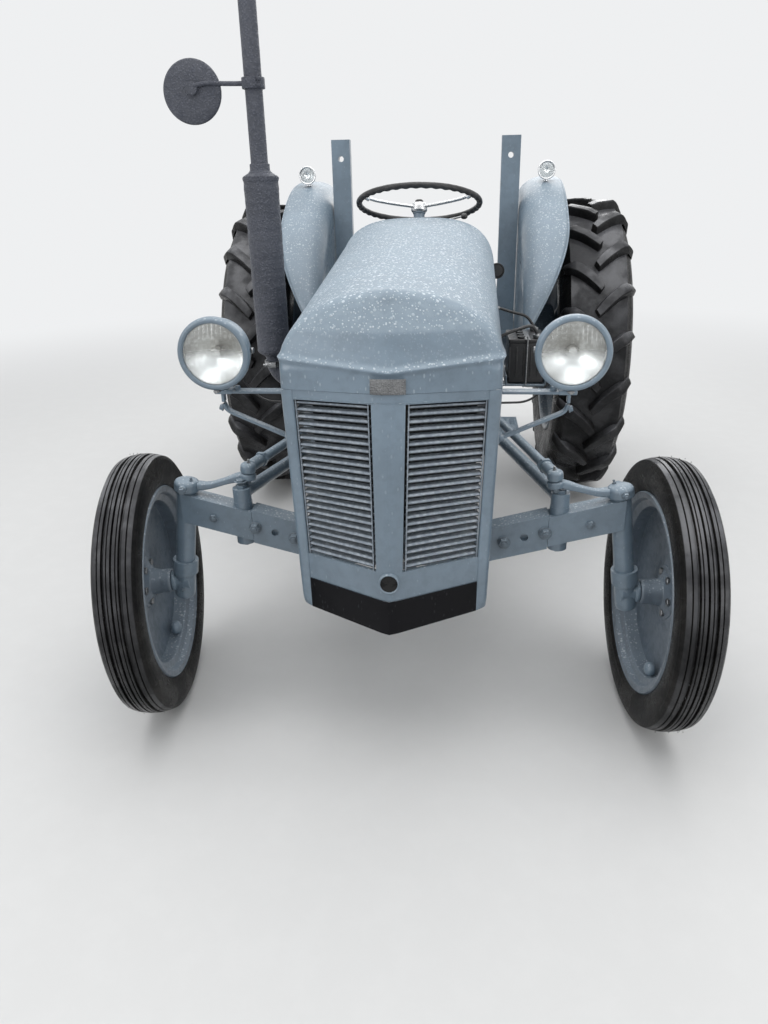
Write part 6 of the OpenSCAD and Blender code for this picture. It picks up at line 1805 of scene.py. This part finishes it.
battery = {
    "boxes": [((0.312, 0.8, 0.6945), (0.43, 0.985, 0.828), 0.005),
        ((0.31, 0.798, 0.826), (0.432, 0.987, 0.84), 0.004),
        *(((0.3115 + x, 0.7985, 0.715), (0.3175 + x, 0.8015, 0.815),
            0.001) for x in (0.0235*i for i in range(5)))],
    "discs": [(0.013, 0, 0.007, (0.352, 0.825 + 0.045*i, 0.8395), toTop, 0.002, 20) for i in range(4)],
}
batteryShelf = {"boxes": [((0.14, 0.795, 0.684), (0.306, 0.855, 0.69), 0.002),
    ((0.304, 0.795, 0.684), (0.438, 0.99, 0.69), 0.002),
    *(((x, 0.795, 0.684), (x + 0.0045, 0.99, 0.72), 0.0015) for x in (0.304, 0.4335))]}
terminalY = (0.825, 0.96)
batteryMetal = {
    "discs": [(0.0085, 0, 0.016, (0.405, y, 0.839), toTop, 0.002, 20) for y in terminalY],
    "rings": [(0.0083, 0.015, 0.002, 0.013, (0.405, y, 0.839), toTop, 0.002, 24) for y in terminalY],
    "rods": [((0.371, y, 0.69), (0.371, y, 0.852), 0.003, 10) for y in (0.792, 0.993)],
    "boxes": [((0.362, 0.788, 0.84), (0.38, 0.997, 0.8435), 0.001)],
}
batteryLeads = {"pipes": [
    ([(0.405, 0.825, 0.853), (0.385, 0.815, 0.885), (0.3, 0.8, 0.86), (0.2, 0.79, 0.8), (0.13, 0.76, 0.78)],
        0.03, 6, 0.0055, 12),
    ([(0.405, 0.96, 0.853), (0.38, 0.965, 0.89), (0.32, 0.96, 0.905), (0.236, 0.955, 0.935)], 0.03, 6, 0.005,
        12)]}
batteryPiece = addPiece("batteryCase", fromTable(battery, frontAxleY), "chassis", blackPlastic)
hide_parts("battery")
addPiece("batteryTray", fromTable(batteryShelf, frontAxleY), "chassis", oldPaint)
addPiece("batteryPosts", fromTable(batteryMetal, frontAxleY), "chassis", steel)
addPiece("batteryCables", fromTable(batteryLeads, frontAxleY), "chassis", blackPlastic)

horn = {
    "discs": [(0.023, -0.012, 0.014, (0.268, 0.935, 1.045), toRear, 0.005, 32)],
    "rings": [(0.0225, 0.0255, -0.014, -0.008, (0.268, 0.935, 1.045), toRear, 0.001)],
    "boxes": [((0.225, 0.947, 1.039), (0.268, 0.953, 1.051), 0.002)],
}
tankTop = float(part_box("fuel_tank")[1][2])
tankFiller = {"turned": [(((0, 0), (0.03, 0), (0.031, 0.004), (0.031, 0.012), (0.026, 0.017), (0, 0.0185)),
    0.003, 4, (0, 0.8, tankTop - 0.018), toTop)]}
addPiece("dashHorn", fromTable(horn, frontAxleY), "chassis", blackPlastic)
addPiece("fillerCap", fromTable(tankFiller, frontAxleY), "chassis", steel)

dashPanel = {
    "y": frontAxleY + 0.967, "dials": ((-0.105, 1.085, 0.04), (0.105, 1.085, 0.04), (0.0, 1.118, 0.03)),
    "sweep": (-210, 30), "ticks": 13, "needle": -150, "knobs": ((-0.15, 1.02), (0.15, 1.02), (0.045, 1.05)),
    "switch": ((0, 0), (0.012, 0), (0.012, 0.006), (0, 0.006)), "switchPlace": (-0.045, 1.05),
}   # dials: x, z, radius; sweep and needle in degrees


def makeDials():
    # For each dial a rim, a face, plain ticks at even angles, one needle and its glass
    dashY = dashPanel["y"]
    rims, faces, marks, glasses = [], [], [], []
    for x, z, radius in dashPanel["dials"]:
        centre = (x, dashY, z)
        rims.append(ringPart(radius, radius + 0.004, -0.002, 0.007, centre, toRear, 0.0015, 48))
        faces.append(disc(radius + 0.001, -0.001, 0.003, centre, toRear, 0.0005, 48))
        glasses.append(disc(radius, 0.005, 0.0062, centre, toRear, 0.0004, 40))
        for angle in np.radians(np.linspace(*dashPanel["sweep"], dashPanel["ticks"])):
            tick = np.array([math.cos(angle), 0, -math.sin(angle)])
            middle = np.array([x, dashY + 0.0034, z]) + radius*0.82*tick
            marks.append(sweep([middle - tick*radius*0.07, middle + tick*radius*0.07], circle(0.0007, 5),
                up=toRear))
        angle = math.radians(dashPanel["needle"])
        tip = (x + radius*0.7*math.cos(angle), dashY + 0.0042, z - radius*0.7*math.sin(angle))
        marks.append(sweep([(x, dashY + 0.0042, z), tip], circle(0.0011, 6), up=toRear, scale=[1.3, 0.5]))
    return rims, faces, marks, glasses


dialRims, dialFaces, dialMarks, dialGlasses = makeDials()
addPiece("dashRims", dialRims, "chassis", chrome)
addPiece("dashFaces", dialFaces, "chassis", blackPlastic)
addPiece("dashMarks", dialMarks, "chassis", silver)
addPiece("dashGlass", dialGlasses, "chassis", lensGlass)
knobY = dashPanel["y"] - 0.001
knobs = [disc(0.008, 0, 0.014, (x, knobY, z), toRear, 0.003, 20) for x, z in dashPanel["knobs"]]
switchX, switchZ = dashPanel["switchPlace"]
knobs.append(lathe(dashPanel["switch"], (switchX, knobY, switchZ), toRear, 24))
addPiece("dashKnobs", knobs, "chassis", blackPlastic)


seat = {"halfWidth": 0.225, "halfLength": 0.185, "back": 0.075, "z": 0.94, "rise": 0.105, "dish": 0.03,
    "wall": 0.0045, "slotX": (0.045, 0.105), "slotHalf": (0.07, 0.055), "edge": 0.0058, "squareness": 0.8}


def seatSurface():
    # x = w c k, y = l s k + 0.012 k, z = dish k^5.65 + k^2.57 (rise max(0, 1/4 + 3/4 s) + 0.016 |c|), slots
    # pressed in
    k = np.linspace(0.02, 1, 44)[:, None]
    t = np.linspace(0, 2*np.pi, 96, endpoint=False)[None, :]
    c, s = (np.sign(f)*np.abs(f)**seat["squareness"] for f in (np.cos(t), np.sin(t)))
    back = 0.25 + 0.75*s
    rise = seat["rise"]*np.maximum(0, back)*smoothstep(back, -0.2, 0.5)**0.3 + 0.016*np.abs(c)
    x, y = seat["halfWidth"]*c*k, seat["halfLength"]*s*k + 0.012*k
    z = seat["dish"]*k**5.65 + k**2.57*rise + 0.0055
    for place, half in zip(seat["slotX"], seat["slotHalf"]):
        z = z - 0.0025*np.exp(-((np.abs(x) - place)/0.006)**2)*(np.abs(y + 0.01) < half)
    z = z + 0.0035*smoothstep(k, 0.965, 1.0)
    return np.stack([x, rearAxleY + seat["back"] + y, seat["z"] + z], -1)


seatGrid = seatSurface()
seatRim = sweep(seatGrid[-1] - [0, 0, 0.003], circle(seat["edge"], 10), wrap=True)
seatFoot = {"boxes": [((-0.07, 0.01, 0.9395), (0.07, 0.11, 0.946), 0.002)]}
seatParts = [thickSheet(seatGrid, seat["wall"], wrapColumns=True), seatRim] + fromTable(seatFoot, rearAxleY)
seatPiece = addPiece("seatPan", seatParts, "chassis", paint, sharp=60)
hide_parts("seat")
seatScrews = {"bolts": [([(x, y, 0.946) for x in (-0.05, 0.05) for y in (0.03, 0.09)], toTop, 0.015, 0.006)]}
addPiece("seatBolts", fromTable(seatScrews, rearAxleY), "chassis", steel)
print("battery, dash and seat made")


flanges = (   # columns: y, half width, low, high, and the heights of its bolts at the rear
    (frontAxleY + 0.8, 0.148, 0.395, 0.79, (0.43, 0.53, 0.63)),
    (frontAxleY + 1.075, 0.146, 0.392, 0.752, (0.43, 0.53, 0.63)),
    (rearAxleY - 0.3, 0.172, 0.372, 0.742, ()))
rearHousing = {"boxes": [((-0.165, -0.3, 0.375), (0.165, 0.19, 0.761), 0.018, 6),
    ((-0.135, -0.21, 0.756), (0.135, 0.12, 0.79), 0.008, 5),
    ((-0.185, 0.022, 0.787), (0.185, 0.098, 0.87), 0.014, 6)]}
axleSide = {   # one side of the rear axle, with the lift arm's shaft and the hitch's upper ear
    "turned": [
        (((0, 0.164), (0.125, 0.164), (0.125, 0.184), (0.106, 0.19), (0.098, 0.24), (0.086, 0.36),
            (0.079, 0.425), (0.079, 0.44), (0, 0.44)), 0.01, 5, (0, 0, 0.623), toLeft, 64),
        (((0, 0.4395), (0.17, 0.4395), (0.185, 0.4415), (0.185, 0.448), (0, 0.448)), 0.003, 4, (0, 0, 0.623),
            toLeft, 72)],
    "discs": [(0.039, 0.44, 0.554, (0, 0, 0.623), toLeft, 0.004, 40),
        (0.026, 0.164, 0.177, (0, 0.06, 0.43), toLeft, 0.003, 32),
        (0.011, 0.165, 0.231, (0, 0.06, 0.43), toLeft, 0.002, 28),
        (0.016, 0.184, 0.246, (0, 0.06, 0.84), toLeft, 0.002, 32)],
    "boxes": [((0.29, -0.058, 0.623), (0.43, 0.058, 0.717), 0.006),
        ((0.023, 0.187, 0.691), (0.039, 0.24, 0.7605), 0.003)],
    "rings": [(0.0125, 0.035, 0.023, 0.039, (0, 0.235, 0.725), toLeft, 0.002, 40)],
}
pedalShaft = {"discs": [(0.019, 0.139, 0.1755, (0, 1.05, 0.532), toLeft, 0.003, 32)]}
takeOff = {"z": 0.56, "y": (0.19, 0.24, 0.29, 0.295), "radius": 0.0135, "splineDepth": 0.0011, "splines": 6,
    "bearing": (0.06, 0.0, 0.027, (0, 0.189, 0.56), toRear, 0.004, 44)}


def makeGearbox():
    # Bell housing, gearbox, rear housing with its cover, bolted flanges between them, and both axle trumpets
    parts = [softBox((-0.14, frontAxleY + 0.79, 0.4), (0.14, frontAxleY + 1.08, 0.78), 0.016, 6),
        softBox((-0.13, frontAxleY + 1.07, 0.4), (0.13, rearAxleY - 0.295, 0.7), 0.014, 6)]
    parts += fromTable(rearHousing, rearAxleY)
    for y, half, low, high, _ in flanges:
        parts.append(softBox((-half, y - 0.009, low), (half, y + 0.009, high), 0.006))
    parts += bothSides(fromTable(axleSide, rearAxleY) + fromTable(pedalShaft, frontAxleY))
    return parts + fromTable({"discs": [takeOff["bearing"]]}, rearAxleY)


gearPiece = addPiece("gearCastings", makeGearbox(), "chassis", oldPaint, sharp=42)
gearBolts = []
for y, half, low, high, rearHeights in flanges:
    edges = (0.012 - half, half - 0.012)
    gearBolts += boltRow([(x, y - 0.0095, z) for x in edges for z in (0.43, 0.53, 0.63, 0.72)], toFront,
        0.017, 0.009)
    gearBolts += boltRow([(x, y + 0.0095, z) for x in edges for z in rearHeights], toRear, 0.015, 0.008)
axleScrews = {"bolts": [
    ([(0.184, 0.112*math.cos(t), 0.623 + 0.112*math.sin(t)) for t in np.arange(10)*np.pi/5], toLeft, 0.017,
        0.01, 0.003),
    ([(0.4395, 0.095*math.cos(t), 0.623 + 0.095*math.sin(t)) for t in np.arange(6)*np.pi/3 + 0.3], toRight,
        0.015, 0.009),
    ([(0.118, y, 0.7895) for y in (-0.19, -0.11, -0.03)], toTop, 0.017, 0.01),
    ([(0.3, y, 0.7) for y in (-0.048, 0.048)], toRight, 0.015, 0.008)]}
backScrews = {"bolts": [
    ([(x, 0.1895, z) for x in (-0.145, 0.145) for z in (0.41, 0.52, 0.63, 0.73)], toRear, 0.017, 0.009),
    ([(0.046*math.cos(t), 0.2155, 0.56 + 0.046*math.sin(t)) for t in np.arange(4)*np.pi/2 + 0.78], toRear,
        0.013, 0.007),
    ([(0.0, -0.1, 0.3755)], toGround, 0.024, 0.012)]}
gearBolts += bothSides(fromTable(axleScrews, rearAxleY)) + fromTable(backScrews, rearAxleY)
gearBolts += boltRow([(0.0, frontAxleY + 0.95, 0.4005)], toGround, 0.024, 0.012)
addPiece("gearBolts", gearBolts, "chassis", oldPaint)


def makeTakeOff():
    # Splined shaft: r(t) = radius + depth tanh(4 cos(n t)), its end chamfered
    t = np.linspace(0, 2*np.pi, 96, endpoint=False)
    spline = takeOff["radius"] + takeOff["splineDepth"]*np.tanh(4*np.cos(takeOff["splines"]*t))
    path = [(0, rearAxleY + y, takeOff["z"]) for y in takeOff["y"]]
    return sweep(path, np.stack([spline*np.cos(t), spline*np.sin(t)], 1), scale=[1, 1, 1, 0.88])


addPiece("powerShaft", [makeTakeOff()], "chassis", steel)
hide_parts("transmission")


steeringGear = {
    "boxes": [((-0.12, 0.9, 0.7805), (0.12, 1.06, 0.9), 0.012, 6)],
    "column": ((0, -0.405), (0.034, -0.405), (0.03, -0.36), (0.019, -0.345), (0.019, -0.036), (0.022, -0.034),
        (0.022, -0.0305), (0, -0.0305)),
    "shaft": ((0, -0.062), (0.0108, -0.062), (0.0108, -0.004), (0, -0.004)),
}
armShafts = {"discs": [(0.024, 0.119, 0.1495, (0, 0.98, 0.862), toLeft, 0.002, 32),
    (0.0125, 0.119, 0.169, (0, 0.98, 0.862), toLeft, 0.002, 28)]}
columnParts = fromTable(steeringGear, frontAxleY) + bothSides(fromTable(armShafts, frontAxleY))
columnParts.append(turned(steeringGear["column"], 0.003, 4, wheelMiddle, wheelAxis, 40))
columnParts.append(lathe(steeringGear["shaft"], wheelMiddle, wheelAxis, 32))
columnPiece = addPiece("steeringBox", columnParts, "chassis", paint)
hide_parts("steering_column")
boxScrews = {"bolts": [([(x, y, 0.8995) for x in (-0.112, 0.112) for y in (0.912, 0.98, 1.048)], toTop, 0.014,
    0.008)]}
throttle = {"path": ((0.019, 0, -0.06), (0.08, 0.01, -0.058), (0.15, 0.02, -0.04)),
    "knob": (0.146, 0.02, -0.04), "radius": 0.0035,
    "knobShape": ((0, 0), (0.006, 0), (0.0095, 0.006), (0.0095, 0.016), (0.005, 0.022), (0, 0.023))}
throttlePath = curvedPath([onWheel(*place) for place in throttle["path"]], 0.02, 5)
throttleParts = [sweep(throttlePath, circle(throttle["radius"], 10)),
    ringPart(0.0188, 0.024, -0.07, -0.052, wheelMiddle, wheelAxis, 0.002, 32)]
addPiece("steeringBoxBolts", fromTable(boxScrews, frontAxleY) + throttleParts, "chassis", steel)
throttleKnob = turned(throttle["knobShape"], 0.003, 4, onWheel(*throttle["knob"]), wheelX, 20)
addPiece("throttleKnob", [throttleKnob], "chassis", blackPlastic)

pedals = {"x": (-0.25, -0.205, 0.23), "half": 0.022, "y": 1.06, "z": 0.596, "tilt": math.radians(-30),
    "size": (0.044, 0.06, 0.008), "ribs": 5, "ribPitch": 0.01}
footPlates = {"zones": ((1.085, 1.181, 0.215, 0.385), (1.19, 1.3, 0.14, 0.385)), "pitch": (0.03, 0.016),
    "tread": (0.01, 0.002), "z": (0.4298, 0.4322)}   # zones: y from, y to, x from, x to


def makePedals():
    c, s = math.cos(pedals["tilt"]), math.sin(pedals["tilt"])
    turn = np.array([[1, 0, 0], [0, c, s], [0, -s, c]])
    flat = [softBox((0, 0, 0), pedals["size"], 0.003)]
    for y in pedals["ribPitch"]*np.arange(pedals["ribs"]):
        flat.append(softBox((0.003, 0.006 + y, 0.0075), (0.041, 0.011 + y, 0.0105), 0.001))
    corners = [np.array([x - pedals["half"], frontAxleY + pedals["y"], pedals["z"]]) for x in pedals["x"]]
    return [(part[0] @ turn + corner, part[1]) for corner in corners for part in flat]


def makeTreads():
    # Raised bars in even rows over the two zones of each foot plate
    parts = []
    (pitchX, pitchY), (halfX, halfY), (low, high) = (footPlates[key] for key in ("pitch", "tread", "z"))
    for y0, y1, x0, x1 in footPlates["zones"]:
        for y in np.arange(frontAxleY + y0 + 0.01, frontAxleY + y1 - 0.008, pitchY):
            for x in np.arange(x0 + 0.014, x1 - 0.012, pitchX):
                parts.append(softBox((x - halfX, y - halfY, low), (x + halfX, y + halfY, high), 0.0009, 2))
    return bothSides(parts)


addPiece("pedalPads", makePedals(), "chassis", steel)
addPiece("footTreads", makeTreads(), "chassis", paint)
gearLever = {"turned": [(((0, -0.02), (0.008, -0.02), (0.0165, -0.008), (0.0175, 0.004), (0.012, 0.015),
    (0, 0.018)),
    0.006, 6, (0, 1.29, 0.925), (0, 0.35, 1), 32)]}
liftLever = {"turned": [(((0, -0.016), (0.007, -0.016), (0.014, -0.006), (0.0145, 0.004), (0.01, 0.013),
    (0, 0.015)),
    0.005, 6, (0.23, -0.2, 0.9), (0.5, 0, 1), 28)]}
leverBoot = {"turned": [(((0, 0.7003), (0.046, 0.7003), (0.044, 0.706), (0.031, 0.7163), (0.03, 0.722),
    (0.018, 0.734), (0.012, 0.742), (0.008, 0.744), (0, 0.744)), 0.003, 4, (0, 1.19, 0), toTop)]}
leverKnobs = fromTable(gearLever, frontAxleY) + fromTable(liftLever, rearAxleY)
addPiece("leverKnobs", leverKnobs, "chassis", blackPlastic)
addPiece("leverBoots", fromTable(leverBoot, frontAxleY), "chassis", rubber)
print("gearbox and controls made")


postFeet = {"bolts": [([(x, y, 0.729) for x in (0.318, 0.352) for y in (-0.04, 0.035)], toTop, 0.019, 0.01,
    0.005)]}
postStays = {"bolts": [([(0.3755, 1.6, z) for z in (1.05, 1.2)], toRight, 0.015, 0.001)]}
postBolts = fromTable(postFeet, rearAxleY) + fromTable(postStays, frontAxleY)
addPiece("postBolts", bothSides(postBolts), "chassis", oldPaint)
linkBall = {"place": (0.355, 1.4333, 0.43), "inner": 0.0262, "outer": 0.0292, "from": 0.019, "to": 0.022}
low, high = linkBall["from"], linkBall["to"]
linkCollars = [ringPart(linkBall["inner"], linkBall["outer"], *span, linkBall["place"], toLeft, 0.0008, 32)
    for span in ((-high, -low), (low, high))]
addPiece("linkCollars", bothSides(linkCollars), "lower_links", steel)

finishes = {"front_support": oldPaint, "lift_rods": oldPaint, "fan": blackPaint, "controls": blackPaint}
finishes.update(dict.fromkeys(("front_axle_beam", "axle_arms", "radius_rods", "fuel_tank", "dash",
    "footrests", "seat_support", "roll_bar_posts", "lower_links", "lift_arms", "drop_arm_left",
    "drop_arm_right"), paint))
for name, material in finishes.items():
    for slot in nodes[name].material_slots:
        slot.material = material
    if not nodes[name].material_slots:
        nodes[name].data.materials.append(material)
print("frame pieces coated")


ground = {"height": 0.0, "half": 30.0, "near": 2.2, "far": 6.5, "pale": (0.86, 0.87, 0.88),
    "dark": (0.645, 0.645, 0.64), "light": (0.655, 0.655, 0.65), "skyLight": (0.8, 0.82, 0.84),
    "skyStrength": 0.55}


def seenRays(s):
    # 1 for what the camera, a gloss or a glass sees directly, 0 for what lights the object
    rays = s.add("ShaderNodeLightPath")
    seen = s.math("MAXIMUM", rays.outputs["Is Camera Ray"], rays.outputs["Is Glossy Ray"])
    return s.math("MAXIMUM", seen, rays.outputs["Is Transmission Ray"])


def makeStage():
    # Close to the tractor the floor takes its shadow; further off it fades to the backdrop's own colour
    edge = np.linspace(-1, 1, 3)*ground["half"]
    x, y = np.meshgrid(edge, edge)
    grid = np.stack([x, y, np.full_like(x, ground["height"])], -1)
    mesh = bpy.data.meshes.new("studioFloor")
    mesh.from_pydata(grid.reshape(-1, 3), [], gridFaces(3, 3).tolist())
    floor = bpy.data.objects.new("studioFloor", mesh)
    bpy.context.scene.collection.objects.link(floor)
    s = Shader("studioFloor")
    place = objectPlace(s)
    marks = s.place(mottling, Vector=place, Scale=1.2)
    s.feed(s.blend(marks.outputs["Fine"], ground["dark"], ground["light"]), "Base Color")
    s.fix("Roughness", 0.7)
    away = s.add("ShaderNodeVectorMath", operation="LENGTH")
    s.join(place, away.inputs[0])
    fade = s.times(s.between(away.outputs["Value"], ground["near"], ground["far"]), seenRays(s))
    shine = s.add("ShaderNodeEmission")
    shine.inputs["Color"].default_value = (*ground["pale"], 1)
    mix = s.add("ShaderNodeMixShader")
    s.join(fade, mix.inputs[0])
    s.join(s.surface.outputs[0], mix.inputs[1])
    s.join(shine.outputs[0], mix.inputs[2])
    s.join(mix.outputs[0], s.tree.nodes["Material Output"].inputs["Surface"])
    mesh.materials.append(s.material)


def makeWorld():
    world = bpy.data.worlds.new("studio")
    world.use_nodes = True
    s = Shader("studio", world.node_tree)
    back = world.node_tree.nodes["Background"]
    seen = seenRays(s)
    s.join(s.blend(seen, ground["skyLight"], ground["pale"]), back.inputs["Color"])
    s.join(s.between(seen, 0, 1, ground["skyStrength"], 1.0), back.inputs["Strength"])
    bpy.context.scene.world = world


makeStage()
makeWorld()
